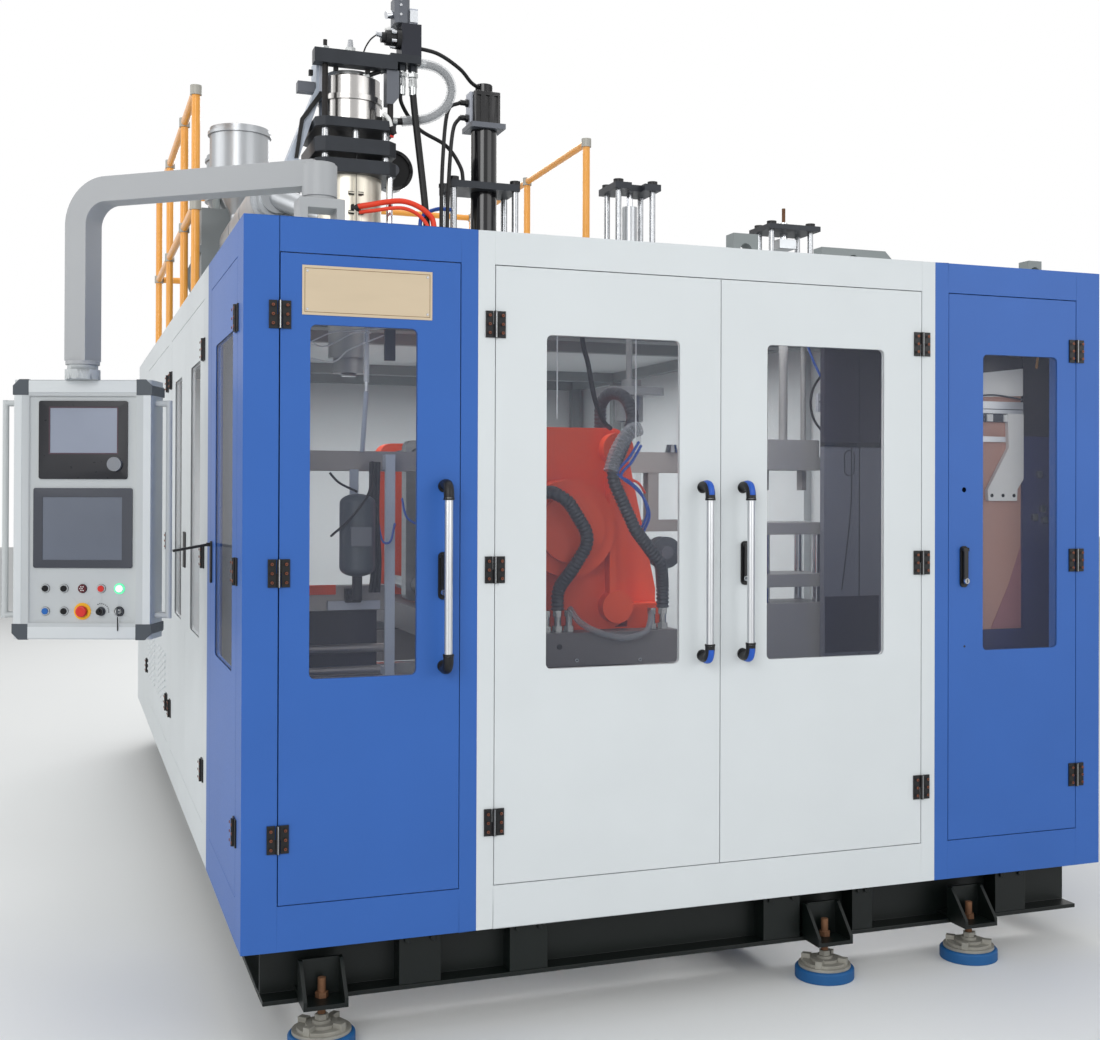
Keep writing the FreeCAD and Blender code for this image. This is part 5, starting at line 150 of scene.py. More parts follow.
M = {
    "blue": surface("blue_paint", (47, 94, 169), 0.42, vary=0.035, bump=0.05, grain=240),
    "grey": surface("grey_paint", (207, 212, 214), vary=0.02, bump=0.05, grain=240),
    "base": surface("base_paint", (7, 14, 12), 0.42, vary=0.2, bump=0.12, grain=90),
    "frame": surface("frame_paint", (132, 138, 138), 0.5),
    "cast": surface("cast_grey", (148, 146, 138), 0.6, 0.25, vary=0.22, bump=0.4, scale=14, grain=120),
    "rust": surface("rusty_stud", (112, 80, 58), 0.7, 0.4, vary=0.35, bump=0.4, scale=30, grain=160),
    "rust_stud": surface("oiled_stud", (40, 38, 38), 0.5, 0.5, vary=0.3, bump=0.6, scale=30,
                         stretch=(1, 1, 12)),
    "pad": surface("blue_rubber", (24, 84, 138), 0.6, vary=0.1, bump=0.15, grain=160),
    "steel": surface("machined_steel", (160, 162, 163), 0.34, 0.85, vary=0.08, scale=6, stretch=(1, 1, 8)),
    "brushed": surface("brushed_tube", (208, 210, 213), 0.3, 0.9, vary=0.05, scale=10, stretch=(12, 12, 0.6)),
    "chrome": surface("chrome", (206, 208, 212), 0.12, 1.0, vary=0.03),
    # The ram's vertical dark and light streaks are painted reflections.
    "ram": surface("ram_steel_painted_reflections", (172, 170, 168), 0.2, 1.0, vary=0.3, scale=3.2, stretch=(4.2, 4.2, 0.05)),
    "alu": surface("aluminium", (178, 181, 184), 0.36, 0.85, scale=8),
    "black": surface("black_plastic", (22, 22, 24), 0.42, vary=0.2, bump=0.08, grain=200),
    "lever": surface("lever_black", (30, 30, 33), 0.3, vary=0.15, coat=0.2),
    "gloss": surface("gloss_black", (14, 14, 17), 0.16, vary=0.2, coat=0.3),
    "rubber": surface("black_rubber", (20, 20, 21), 0.5, vary=0.2, bump=0.1, grain=180),
    "jacket": surface("jacket_steel", (206, 200, 186), 0.3, 0.55, vary=0.1, scale=2.6,
                      stretch=(2.5, 2.5, 0.15)),
    "dark_plate": surface("dark_plate", (46, 49, 54), 0.42, 0.3, vary=0.18, scale=9, bump=0.08),
    "valve": surface("valve_black", (38, 40, 48), 0.42, 0.2, vary=0.12, bump=0.08),
    "mid_grey": surface("mid_grey", (98, 101, 108), 0.42, 0.3, vary=0.1),
    "side_plate": surface("side_plate", (176, 180, 190), 0.4, 0.3),
    "duct": surface("duct_plate", (178, 186, 198), 0.42, 0.1, vary=0.05),
    "fitting": surface("fitting_steel", (176, 178, 178), 0.24, 0.95, vary=0.12, scale=40),
    "rail": surface("rail_paint", (240, 166, 70), 0.35, vary=0.05, coat=0.3),
    "rail_foot": surface("rail_clamp", (166, 164, 156), 0.5, 0.3, vary=0.1, bump=0.1),
    "orange": surface("orange_paint", (228, 76, 30), 0.42, vary=0.08),
    "manifold": surface("manifold_grey", (112, 110, 112), 0.45, 0.2, vary=0.08, bump=0.08),
    "table": surface("table_grey", (156, 156, 156), 0.42, 0.3, vary=0.07),
    "fixture": surface("fixture_steel", (150, 146, 144), 0.4, 0.5, vary=0.1),
    "rail_steel": surface("ground_rail", (168, 168, 170), 0.22, 0.95),
    "gear": surface("gearbox_grey", (128, 134, 136), vary=0.07),
    "arm": surface("arm_paint", (168, 170, 172), 0.42, vary=0.03),
    "panel": surface("panel_paint", (187, 191, 192), 0.4, vary=0.03),
    "panel_light": surface("panel_profile", (207, 211, 212), 0.36, vary=0.03),
    "cap": surface("corner_cap", (72, 78, 84), 0.4, vary=0.08, bump=0.05),
    "bezel": surface("panel_bezel", (64, 67, 75), 0.34),
    "bezel_black": surface("panel_bezel_black", (32, 33, 38), 0.3),
    "plum": surface("plum_trim", (74, 52, 62), 0.4),
    "screen_high": surface("screen_glass_high", (140, 147, 162), 0.2, vary=0.08, coat=0.2),
    "screen_low": surface("screen_glass_low", (104, 110, 122), 0.2, vary=0.12, scale=2.2, coat=0.2),
    "dial": surface("jog_grey", (128, 131, 136), 0.35, vary=0.05),
    "hose": surface("grey_hose", (66, 68, 72), 0.4, 0.35, vary=0.15),
    "red_hose": surface("red_hose", (226, 66, 40), 0.42, vary=0.1),
    "blue_hose": surface("blue_hose", (38, 80, 166), 0.42, vary=0.1),
    "sleeve": clear("clear_sleeve", (236, 239, 242), 0.38, 0.25, 0.3),
    "yellow": surface("yellow_plastic", (240, 178, 40), 0.4, vary=0.05),
    "red": surface("red_plastic", (208, 44, 36), 0.34, vary=0.08, coat=0.2),
    "maroon": surface("maroon_plastic", (84, 22, 32), 0.4, vary=0.1),
    "btn_blue": surface("blue_plastic", (30, 96, 170), 0.34, vary=0.08, coat=0.2),
    "blue_cap": surface("blue_insert", (30, 84, 180), 0.36, vary=0.05, coat=0.1),
    "green": glow("green_lamp", (196, 255, 226), 1.5),
    "mint": glow("green_halo", (70, 226, 156), 0.7),
    "white": surface("white_mark", (228, 228, 226), 0.5, vary=0.03),
    "brass": surface("plate_beige", (197, 180, 154), 0.4, 0.2, vary=0.04, stretch=(1, 1, 6)),
    "bronze": surface("plate_line", (118, 92, 64), 0.42, 0.4, vary=0.1),
    "copper": surface("copper_screw", (122, 72, 52), 0.42, 0.6, vary=0.2, scale=40),
    "window": clear("window_pane", (104, 108, 120), 0.14, 0.06, 0.12),
    # The vertical streaks on this polished steel are painted reflections.
    "hopper": surface("hopper_steel", (164, 167, 170), 0.34, 0.8, vary=0.12, stretch=(4, 4, 0.1)),
    "bed": surface("bed_paint", (170, 172, 172), 0.5, vary=0.05),
    "tint": surface("cabinet_violet", (96, 98, 108), 0.3, vary=0.12, scale=1.2, stretch=(6, 6, 0.3)),
    "tint_dark": surface("cabinet_dark", (42, 40, 50), 0.25, vary=0.3, scale=1.5, stretch=(5, 5, 0.4)),
    "navy": surface("navy_panel", (44, 50, 96), 0.35, vary=0.12, scale=1.2, stretch=(5, 5, 0.4)),
    "salmon": surface("warm_sheet", (188, 146, 132), 0.42, vary=0.07, scale=1.4),
    "salmon_dark": surface("warm_sheet_shade", (160, 112, 116), 0.42, vary=0.07, scale=1.4),
    "bright": surface("white_sheet", (232, 232, 230), vary=0.02),
    "seam": surface("dark_seam", (34, 36, 40), 0.5, vary=0.1),
    "post": surface("bright_post", (168, 170, 173), 0.26, 0.8, vary=0.1, scale=6, stretch=(1, 1, 8)),
    "haze": clear("grey_sleeve", (150, 154, 160), 0.5, 0.3, 0.2),
    "alu_bright": surface("bright_profile", (214, 217, 221), 0.4, 0.5, vary=0.04),
}

BODY = {member: body for body, members in frame["record"]["behaviour"]["bodies"].items()
        for member in members}
MM = Matrix.Scale(0.001, 4)


# -------- building tools
EDGE_ANGLE = math.radians(35)
EDGE_SEGMENTS = 2
SAME_POINT = 1e-5
FLAT_ANGLE = 0.002
# The wide, holed plates of these nodes keep their CAD faces, shaded one by one.
HOLED = ("panel_housing", "panel_displays")
HOLED_TOP = 2.034
ROUND_PART_H = 200
# Panes stand above this height; a side door's pane also lies between these planes.
PANE_Z0, PANE_H, PANE_T = 1000, 1000, 8
SIDE_PANE_X0, SIDE_PANE_X1, SIDE_PANE_H, SIDE_PANE_D = -239, -232.5, 900, 100


class Span:
    """The box of a group of points, in millimetres."""

    def __init__(self, points):
        self.x0, self.y0, self.z0 = (min(p[i] for p in points) * 1000 for i in range(3))
        self.x1, self.y1, self.z1 = (max(p[i] for p in points) * 1000 for i in range(3))
        self.w, self.d, self.h = self.x1 - self.x0, self.y1 - self.y0, self.z1 - self.z0
        self.big = max(self.w, self.d, self.h)


def finish_mesh(bm, name, keys, body, bevel):
    mesh = bpy.data.meshes.new(name)
    bm.to_mesh(mesh)
    bm.free()
    mesh.set_sharp_from_angle(angle=EDGE_ANGLE)
    for key in keys:
        mesh.materials.append(M[key])
    obj = bpy.data.objects.new(name, mesh)
    scene.collection.objects.link(obj)
    if bevel:
        edge = obj.modifiers.new("edge", "BEVEL")
        edge.width = bevel
        edge.segments = EDGE_SEGMENTS
        edge.limit_method = "ANGLE"
        edge.angle_limit = EDGE_ANGLE
    normals = obj.modifiers.new("normals", "WEIGHTED_NORMAL")
    normals.keep_sharp = True
    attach(obj, body)
    return obj


def islands(bm):
    """The groups of faces that hang together."""
    seen = set()
    for face in bm.faces:
        if face.index in seen:
            continue
        stack, group = [face], []
        seen.add(face.index)
        while stack:
            f = stack.pop()
            group.append(f)
            for e in f.edges:
                for g in e.link_faces:
                    if g.index not in seen:
                        seen.add(g.index)
                        stack.append(g)
        yield group


def is_side_pane(s):
    """The large faces of a glass sheet that shares its node with a side door."""
    return (SIDE_PANE_X0 < s.x0 and s.x1 < SIDE_PANE_X1 and s.z0 > PANE_Z0
            and s.h > SIDE_PANE_H and s.d > SIDE_PANE_D)


def restyle(name, rule, ease=1.0, by_face=False):
    """Replaces a CAD node by a copy with edges eased by so many millimetres.

    The rule is a material's key, or a function that picks the key: from the box of each
    island of faces or, by face, from each face's box and centre.
    """
    bm = bmesh.new()
    bm.from_mesh(nodes[name].data)
    bmesh.ops.remove_doubles(bm, verts=bm.verts, dist=SAME_POINT)
    merge = [v for v in bm.verts if name not in HOLED or v.co.z > HOLED_TOP]
    inside = set(merge)
    bmesh.ops.dissolve_limit(bm, angle_limit=FLAT_ANGLE, verts=merge,
                             edges=[e for e in bm.edges if inside.issuperset(e.verts)])
    bm.faces.index_update()
    keys = []
    for group in islands(bm):
        span = Span([v.co for f in group for v in f.verts])
        key = None if by_face else (rule(span) if callable(rule) else rule)
        for f in group:
            face = Span([v.co for v in f.verts])
            own = rule(face, f.calc_center_median() * 1000) if by_face else key
            if is_side_pane(face):
                own = "window"
            if own not in keys:
                keys.append(own)
            f.material_index = keys.index(own)
            f.smooth = name not in HOLED or span.h < ROUND_PART_H
    obj = finish_mesh(bm, name + "_look", keys, BODY[name], ease / 1000)
    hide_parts(name)


class Kit:
    """Gathers simple solids into one piece. All measures are in millimetres."""

    def __init__(self, place=None):
        self.bm = bmesh.new()
        self.keys = []
        self.place = MM @ (place or Matrix.Identity(4))

    def take(self, verts, key, matrix):
        bmesh.ops.transform(self.bm, matrix=self.place @ matrix, verts=verts)
        if key not in self.keys:
            self.keys.append(key)
        for f in {f for v in verts for f in v.link_faces}:
            f.material_index = self.keys.index(key)
            f.smooth = True

    def box(self, key, x0, x1, y0, y1, z0, z1):
        made = bmesh.ops.create_cube(self.bm, size=1)
        mid = Matrix.Translation(((x0 + x1) / 2, (y0 + y1) / 2, (z0 + z1) / 2))
        size = Matrix.Diagonal((abs(x1 - x0), abs(y1 - y0), abs(z1 - z0), 1))
        self.take(made["verts"], key, mid @ size)

    def rod(self, key, a, b, r, r2=None, seg=24):
        a, b = Vector(a), Vector(b)
        made = bmesh.ops.create_cone(self.bm, cap_ends=True, segments=seg, radius1=r,
                                     radius2=r if r2 is None else r2, depth=(b - a).length)
        turn = (b - a).to_track_quat("Z", "Y").to_matrix().to_4x4()
        self.take(made["verts"], key, Matrix.Translation((a + b) / 2) @ turn)

    def ball(self, key, centre, r, flat=(1, 1, 1)):
        made = bmesh.ops.create_uvsphere(self.bm, u_segments=20, v_segments=12, radius=r)
        self.take(made["verts"], key, Matrix.Translation(centre) @ Matrix.Diagonal((*flat, 1)))

    def plate(self, key, y, depth, outline):
        """A closed outline of x and z on the plane y, pushed back by depth."""
        low = [self.bm.verts.new((x, y, z)) for x, z in outline]
        high = [self.bm.verts.new((x, y + depth, z)) for x, z in outline]
        self.bm.faces.new(low)
        self.bm.faces.new(high[::-1])
        n = len(low)
        for i in range(n):
            self.bm.faces.new((low[i], high[i], high[(i + 1) % n], low[(i + 1) % n]))
        self.take(low + high, key, Matrix.Identity(4))

    def ring(self, key, centre, axis, r_out, r_in, depth, seg=40):
        axis = Vector(axis).normalized()
        turn = axis.to_track_quat("Z", "Y").to_matrix()
        rows = []
        for r, z in ((r_in, 0), (r_out, 0), (r_out, depth), (r_in, depth)):
            rows.append([
                self.bm.verts.new(Vector(centre) + turn @ Vector((
                    r * math.cos(2 * math.pi * k / seg), r * math.sin(2 * math.pi * k / seg), z)))
                for k in range(seg)])
        for i in range(4):
            a, b = rows[i], rows[(i + 1) % 4]
            for k in range(seg):
                self.bm.faces.new((a[k], b[k], b[(k + 1) % seg], a[(k + 1) % seg]))
        self.take([v for row in rows for v in row], key, Matrix.Identity(4))

    def tube(self, key, points, r, seg=12, steps=8, flat=1.0, radii=None):
        """A round tube along a smooth line through the points; radii is a rule of (distance, length)."""
        path = smooth_line(points, steps)
        rings = []
        side = None
        walked = 0.0
        length = sum((b - a).length for a, b in zip(path, path[1:]))
        for i, p in enumerate(path):
            ahead = (path[min(i + 1, len(path) - 1)] - path[max(i - 1, 0)]).normalized()
            if side is None:
                side = ahead.orthogonal().normalized()
            side = (side - ahead * side.dot(ahead)).normalized()
            other = ahead.cross(side)
            if i:
                walked += (p - path[i - 1]).length
            rr = radii(walked, length) if radii else r
            rings.append([
                self.bm.verts.new(p + side * (rr * math.cos(2 * math.pi * k / seg))
                                  + other * (rr * flat * math.sin(2 * math.pi * k / seg)))
                for k in range(seg)])
        for a, b in zip(rings, rings[1:]):
            for k in range(seg):
                self.bm.faces.new((a[k], a[(k + 1) % seg], b[(k + 1) % seg], b[k]))
        self.bm.faces.new(rings[0][::-1])
        self.bm.faces.new(rings[-1])
        self.take([v for ring in rings for v in ring], key, Matrix.Identity(4))

    def done(self, name, body, ease=0.0, replaces=()):
        bmesh.ops.recalc_face_normals(self.bm, faces=self.bm.faces)
        obj = finish_mesh(self.bm, name, self.keys, body, ease / 1000)
        if replaces:
            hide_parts(*replaces)


def smooth_line(points, steps):
    """A curve through all the points, with so many steps between two of them."""
    pts = [Vector(p) for p in points]
    pts = [pts[0] * 2 - pts[1]] + pts + [pts[-1] * 2 - pts[-2]]
    out = []
    for a, b, c, d in zip(pts, pts[1:], pts[2:], pts[3:]):
        for s in range(steps):
            t = s / steps
            out.append(0.5 * (2 * b + (c - a) * t + (2 * a - 5 * b + 4 * c - d) * t * t
                              + (3 * b - a - 3 * c + d) * t ** 3))
    out.append(pts[-2])
    return out


# -------- finishes on the CAD nodes
HEAD_X, HEAD_Y = 362, 1490
BARREL_R = 130.5
RAM_R = 136
LEAF_H, LEAF_W, BRACKET_W = 170, 60, 130
MOUNT_X, MOUNT_Y = (0, 1705, 2287), (0, 5460)
STUD_REACH = 34
ROOF_Z = 2519


def door_rule(base):
    """Panes, hinge leaves, brackets and the nameplate, told from the leaf by their size."""
    def rule(s):
        if s.z0 > PANE_Z0 and s.h > PANE_H and min(s.w, s.d) < PANE_T:
            return "window"
        if s.h >= LEAF_H:
            return base
        across = max(s.w, s.d)
        if across < LEAF_W:
            return "black"
        return "frame" if across < BRACKET_W else "brass"
    return rule


def station_rule(s):
    if s.h < 35 and s.w > 150:
        return "dark_plate"
    return "black" if s.h < 20 else "post"


def cylinder_rule(s):
    if s.x0 < 1010:
        if s.h < 40 and s.w > 100:
            return "mid_grey"
        return "side_plate" if s.w < 20 else "gloss"
    if s.h > 60 and s.w < 20:
        return "rust"
    return "chrome" if s.w < 40 else "alu"


def rail_rule(s):
    return "rail_foot" if s.z1 < 2500 or s.big < 70 else "rail"


# Planes that part the pieces above the head: a block begins at Z0, Y0 or X0 and ends at X1.
DUCT_X1, DUCT_Y0, WHEEL_Y0 = 243, 1400, 1730
CAP_Z0, CAP_PLATE_X0, CAP_REAR_Y0 = 3520, 574.5, 1450
VALVE_Z0, SERVO_X0, VALVE_X0 = 3394.5, 455, 538
STUDS_Z0, STUDS_X1, LEFT_STUD_X1, LEFT_STUD_Z0 = 3384.5, 400, 300, 3398
CROSSBAR_Z0, RAM_Z0 = 3327, 3118
FITTINGS_X0, SPACERS_Z1 = 525, 3000


def hydraulic_rule(s, c):
    """Pieces above the head, told apart by where their faces lie."""
    from_axis = math.hypot(c.x - HEAD_X, c.y - HEAD_Y)
    if c.x < DUCT_X1 and c.y > DUCT_Y0:
        return "duct"
    if c.y > WHEEL_Y0:
        return "black"
    if c.z > CAP_Z0:
        return "side_plate" if c.x > CAP_PLATE_X0 or c.y > CAP_REAR_Y0 else "mid_grey"
    if c.z > VALVE_Z0 and c.x > SERVO_X0:
        return "valve" if c.x > VALVE_X0 else "black"
    if c.z > STUDS_Z0 and c.x < STUDS_X1:
        if c.x < LEFT_STUD_X1:
            return "rust_stud" if c.z > LEFT_STUD_Z0 else "fitting"
        return "chrome"
    if c.z > CROSSBAR_Z0:
        return "dark_plate"
    if from_axis < RAM_R and c.z > RAM_Z0:
        return "ram"
    if c.x > FITTINGS_X0:
        return "fitting"
    return "chrome" if c.z < SPACERS_Z1 else "rust_stud"


def extruder_rule(s):
    if s.h > 200 and s.w < 100:
        return "frame"
    if s.y0 < 1700:
        return "hopper"
    if s.w < 300:
        return "black" if s.z1 < 2800 and s.d > 200 else "frame"
    return "gear"


def carriage_rule(s):
    if s.z1 < 1165:
        return "manifold"
    if s.h < 90 and s.z1 < 1260 and s.w < 60:
        return "fitting"
    return "chrome" if s.h <= 600 and s.d > 1000 else "orange"


def platen_rule(s):
    return "chrome" if s.w < 100 else "steel"


def bed_rule(s):
    if s.x0 > 2000:
        return "chrome" if s.w < 50 and s.h < 400 else "table"
    if s.h > 500 or s.y0 < 400:
        return "fixture"
    return "rail_steel" if s.h < 50 and s.z0 > 990 else "bed"


def head_rule(s, c):
    """The barrel's jacket between its black seams, over a steel foot."""
    from_axis = math.hypot(c.x - HEAD_X, c.y - HEAD_Y)
    if c.z < ROOF_Z:
        return "steel"
    return "black" if from_axis > BARREL_R and abs(c.x - HEAD_X) > 9 else "jacket"


def mount_rule(s, c):
    """Cast disc and rusty stud on each foot axis, dark bracket around them."""
    x = min(MOUNT_X, key=lambda at: abs(at - c.x))
    y = min(MOUNT_Y, key=lambda at: abs(at - c.y))
    reach = max(math.hypot(a - x, b - y) for a in (s.x0, s.x1) for b in (s.y0, s.y1))
    if c.z < 100:
        return "cast"
    return "rust" if reach < STUD_REACH else "base"


def ring_rule(s):
    return "bezel" if s.w < 60 and s.h < 60 else "panel"


def display_rule(s):
    if s.h > 250:
        return "bezel_black" if s.z1 > 1900 else "bezel"
    return "screen_high" if s.z0 > 1700 else "screen_low"


# Each node's material or rule, and how far its edges are eased.
STYLE = {
    "base_frame": ("base", 1.5), "upper_frame": ("frame", 0), "levelling_pads": ("pad", 2.0),
    "blue_cladding": ("blue", 1.2), "grey_cladding": ("grey", 1.2), "roof_panels": ("grey", 1.0),
    "hinge_leaves": ("black", 1.0), "arm_pedestal": ("arm", 2.0), "swing_arm": ("arm", 2.5),
    "head_plates": (lambda s: "post" if s.w < 60 else "dark_plate", 1.5),
    "station_frames": (station_rule, 0.8), "station_cylinders": (cylinder_rule, 0.8),
    "extruder": (extruder_rule, 1.5), "hoppers": (lambda s: "hopper" if s.w > 60 else "frame", 1.0),
    "guard_rails": (rail_rule, 0.8), "machine_bed": (bed_rule, 1.2), "clamp_hoses": ("hose", 0),
    "front_left_door": (door_rule("blue"), 1.2), "front_left_glass": ("window", 0.8),
    "front_left_lock_lever": ("lever", 1.2),
    "mould_door_left": (door_rule("grey"), 1.2), "mould_door_left_glass": ("window", 0.8),
    "mould_door_right": (door_rule("grey"), 1.2), "mould_door_right_glass": ("window", 0.8),
    "mould_door_lock_lever": ("lever", 1.2),
    "front_right_door": (door_rule("blue"), 1.2), "front_right_glass": ("window", 0.8),
    "front_right_lock_lever": ("lever", 1.2),
    "side_front_door": (door_rule("blue"), 1.2), "side_front_lever": ("lever", 1.5),
    "side_mid_door_front": (door_rule("grey"), 1.2), "side_mid_door_rear": (door_rule("grey"), 1.2),
    "side_rear_door_front": (door_rule("grey"), 1.0), "side_rear_door_rear": (door_rule("grey"), 1.0),
    "panel_housing": (ring_rule, 0), "jog_dial": ("dial", 1.5),
    "black_button_1": ("gloss", 1.0), "black_button_2": ("gloss", 1.0), "black_button_3": ("gloss", 1.0),
    "red_button": ("red", 1.0), "green_button": ("green", 1.0), "blue_button": ("btn_blue", 1.0),
    "emergency_stop": ("red", 3.0), "speed_knob": ("gloss", 1.0), "key_switch": ("steel", 0.6),
    "clamp_carriage": (carriage_rule, 1.5), "front_platen": (platen_rule, 2.0),
    "rear_platen": (platen_rule, 2.0), "blow_pin": ("chrome", 1.0), "trim_press_head": ("steel", 1.5),
    "take_out_head": ("table", 1.5), "die_mandrel": ("chrome", 1.0),
}
for name, (rule, ease) in STYLE.items():
    restyle(name, rule, ease)
restyle("die_head", head_rule, by_face=True)
restyle("levelling_mounts", mount_rule, by_face=True)
restyle("head_hydraulics", hydraulic_rule, by_face=True)
restyle("panel_displays", display_rule, 0)

# -------- screws and knuckles of the hinges
HINGE_Z = (2160, 1400, 620)
SCREW_DZ = (-27, 0, 27)
SCREW_R, SCREW_TIP_R, SOCKET_R = 5.0, 4.0, 2.0
SCREW_H, SOCKET_H = 2.0, 2.3
FRONT_LEAF_Y, SIDE_LEAF_X = -33.6, -253.6
PIN_TO_SCREW = 21
LEAF_PITCH = 43
KNUCKLE_Y, KNUCKLE_UP, KNUCKLE_R = -33.2, 41, 1.6
# The pin's x and the side of it that the door leaf lies on.
FRONT_HINGES = (
    ("front_left_door", -134.5, 1), ("mould_door_left", 525.5, 1),
    ("mould_door_right", 2074.5, -1), ("front_right_door", 2734.5, -1))
# The y of the door leaf's screws and the side of them that the wall leaf lies on.
SIDE_HINGES = (
    ("side_front_door", 141, -1), ("side_mid_door_front", 1149, -1), ("side_mid_door_rear", 2671, 1),
    ("side_rear_door_front", 2929, -1), ("side_rear_door_rear", 4425, 1))


def leaf_screws(kit, x, y, z, out):
    """Three screws in a column on a hinge leaf."""
    out = Vector(out)
    for dz in SCREW_DZ:
        foot = Vector((x, y, z + dz))
        kit.rod("copper", foot, foot + out * SCREW_H, SCREW_R, SCREW_TIP_R, 14)
        kit.rod("black", foot + out * (SCREW_H - 0.2), foot + out * SOCKET_H, SOCKET_R, None, 6)


def front_leaves(kit, pin, side, knuckle):
    for z in HINGE_Z:
        leaf_screws(kit, pin + side * PIN_TO_SCREW, FRONT_LEAF_Y, z, (0, -1, 0))
        if knuckle:
            kit.rod("steel", (pin, KNUCKLE_Y, z - KNUCKLE_UP), (pin, KNUCKLE_Y, z + KNUCKLE_UP),
                    KNUCKLE_R, None, 10)


def side_leaves(kit, y):
    for z in HINGE_Z:
        leaf_screws(kit, SIDE_LEAF_X, y, z, (-1, 0, 0))


wall = Kit()
for node, pin, side in FRONT_HINGES:
    front_leaves(wall, pin, -side, True)
wall.done("front_hinge_screws", "machine")
for node, pin, side in FRONT_HINGES:
    kit = Kit()
    front_leaves(kit, pin, side, False)
    kit.done(node + "_hinge_screws", BODY[node])

wall = Kit()
for node, y, side in SIDE_HINGES:
    side_leaves(wall, y + side * LEAF_PITCH)
wall.done("side_hinge_screws", "machine")
for node, y, side in SIDE_HINGES:
    kit = Kit()
    side_leaves(kit, y)
    kit.done(node + "_hinge_screws", BODY[node])

# -------- door pulls
DOOR_Y = -20
PULL_LOW, PULL_MID, PULL_HIGH, PULL_Y = 1083, 1384, 1684, -80
PULL_R, ELBOW_R, ELBOW_H, COLLAR_R = 14.5, 16, 62, 17
INSERT_R = 10.5


def pull(node, x, insert):
    """An oval tube between moulded elbows, with a coloured insert in each if so asked."""
    kit = Kit()
    kit.tube("brushed", [(x, PULL_Y, PULL_LOW + 50), (x, PULL_Y, PULL_MID), (x, PULL_Y, PULL_HIGH - 50)],
             PULL_R, seg=24, steps=2, flat=0.82)
    for end, s in ((PULL_HIGH, -1), (PULL_LOW, 1)):
        def at(y, dz):
            return (x, y, end + s * dz)
        kit.tube("black", [at(DOOR_Y, 22), at(-44, 20), at(-66, 24), at(-78, 40), at(PULL_Y, ELBOW_H)],
                 ELBOW_R, seg=20, steps=6)
        kit.ring("black", at(PULL_Y, ELBOW_H), (0, 0, s), COLLAR_R, 10, 6)
        kit.rod("black", at(DOOR_Y, 26), at(DOOR_Y - 5, 26), 19, 18, 28)
        if insert:
            kit.tube("blue_cap", [at(-40, 13.5), at(-60, 13), at(-80, 20), at(-88, 38), at(-88.5, 50)],
                     INSERT_R, seg=16, steps=5)
    kit.done(node + "_look", BODY[node], replaces=(node,))


pull("front_left_handle", 363, False)
pull("mould_door_left_handle", 1234, True)
pull("mould_door_right_handle", 1381, True)

# -------- locks: keyholes, cylinders and keys
LOCK_Y = -38.2
CYLINDER_DROP = 50


def lock_face(node, x, z, key=False):
    """The chrome cylinder under the lever's lower end, with a hanging key if so asked."""
    kit = Kit()
    low = z - CYLINDER_DROP
    kit.rod("chrome", (x, LOCK_Y, low), (x, -44, low), 11, 10, 28)
    kit.box("black", x - 1.2, x + 1.2, -44.6, -43.6, low - 6, low + 6)
    if key:
        kit.box("chrome", x - 1.0, x + 1.0, -62, -44, low - 4, low + 4)
        kit.ring("chrome", (x - 1, -68, low), (1, 0, 0), 11, 6, 2, 24)
        kit.ring("chrome", (x - 4, -72, low - 22), (1, 0, 0.2), 14, 12.4, 1.6, 28)
        kit.box("steel", x - 5, x - 3, -80, -66, low - 64, low - 34)
        kit.ring("steel", (x - 5, -73, low - 34), (1, 0, 0), 9, 3, 2, 20)
    kit.done(node + "_cylinder", BODY[node])


# The black box behind the right corner door's keyhole is painted shade, so that the hole reads dark inside; a
# small dark disc sits on the door's face.
keyhole_shade = Kit()
keyhole_shade.box("black", 2236, 2300, 10, 14, 1632, 1676)
keyhole_shade.rod("seam", (2253, DOOR_Y, 1102), (2253, DOOR_Y - 0.8, 1102), 4, None, 16)
keyhole_shade.done("keyhole_painted_shade", BODY["front_right_door"])
lock_face("front_left_door", 360.5, 1384.5)
lock_face("mould_door_right", 1389, 1409, True)
lock_face("front_right_door", 2248, 1383.5)

# -------- bare nameplate: an engraved border and four screws
PLATE_X0, PLATE_X1, PLATE_Z0, PLATE_Z1, PLATE_Y = -70, 324, 2163, 2310, -22.0
LINE_IN_X, LINE_IN_Z, LINE_W = 7, 8, 1.5
line_x0, line_x1 = PLATE_X0 + LINE_IN_X, PLATE_X1 - LINE_IN_X
line_z0, line_z1 = PLATE_Z0 + LINE_IN_Z, PLATE_Z1 - LINE_IN_Z
plate = Kit()
for x0, x1, z0, z1 in (
        (line_x0, line_x1, line_z1 - LINE_W, line_z1), (line_x0, line_x1, line_z0, line_z0 + LINE_W),
        (line_x0, line_x0 + LINE_W, line_z0, line_z1), (line_x1 - LINE_W, line_x1, line_z0, line_z1)):
    plate.box("bronze", x0, x1, PLATE_Y - 0.4, PLATE_Y + 0.2, z0, z1)
for x in (PLATE_X0 + 15, PLATE_X1 - 15):
    for z in (PLATE_Z0 + 17, PLATE_Z1 - 17):
        plate.rod("chrome", (x, PLATE_Y, z), (x, PLATE_Y - 1.6, z), 4.2, 3.4, 18)
plate.done("nameplate_trim", BODY["front_left_door"])

# -------- control panel, in its own turned frame
PANEL = Matrix.Translation((-890, 1177, 0)) @ Matrix.Rotation(math.radians(-21.04), 4, "Z")
PANEL_W, PANEL_Z0, PANEL_Z1, PANEL_D = 491, 1115, 2033, 140
CAP, CUT, PROUD = 54, 21, 2
BAR_Z, SIDE_BAR_X0, SIDE_BAR_X1 = 44, 3, 30
ROW_HIGH, ROW_LOW = 1294, 1213.5
COLUMNS = (113, 179, 245, 311, 376)
MIDDLE, KNOB_X, LAST = COLUMNS[2:]
OUTWARD = (0, 1, 0)
ARC_R, ARC_FROM, ARC_STEP, DOT = 27, 115, 15, 1.8
BUZZER_R, BUZZER_HOLE_R = 7.5, 2.2

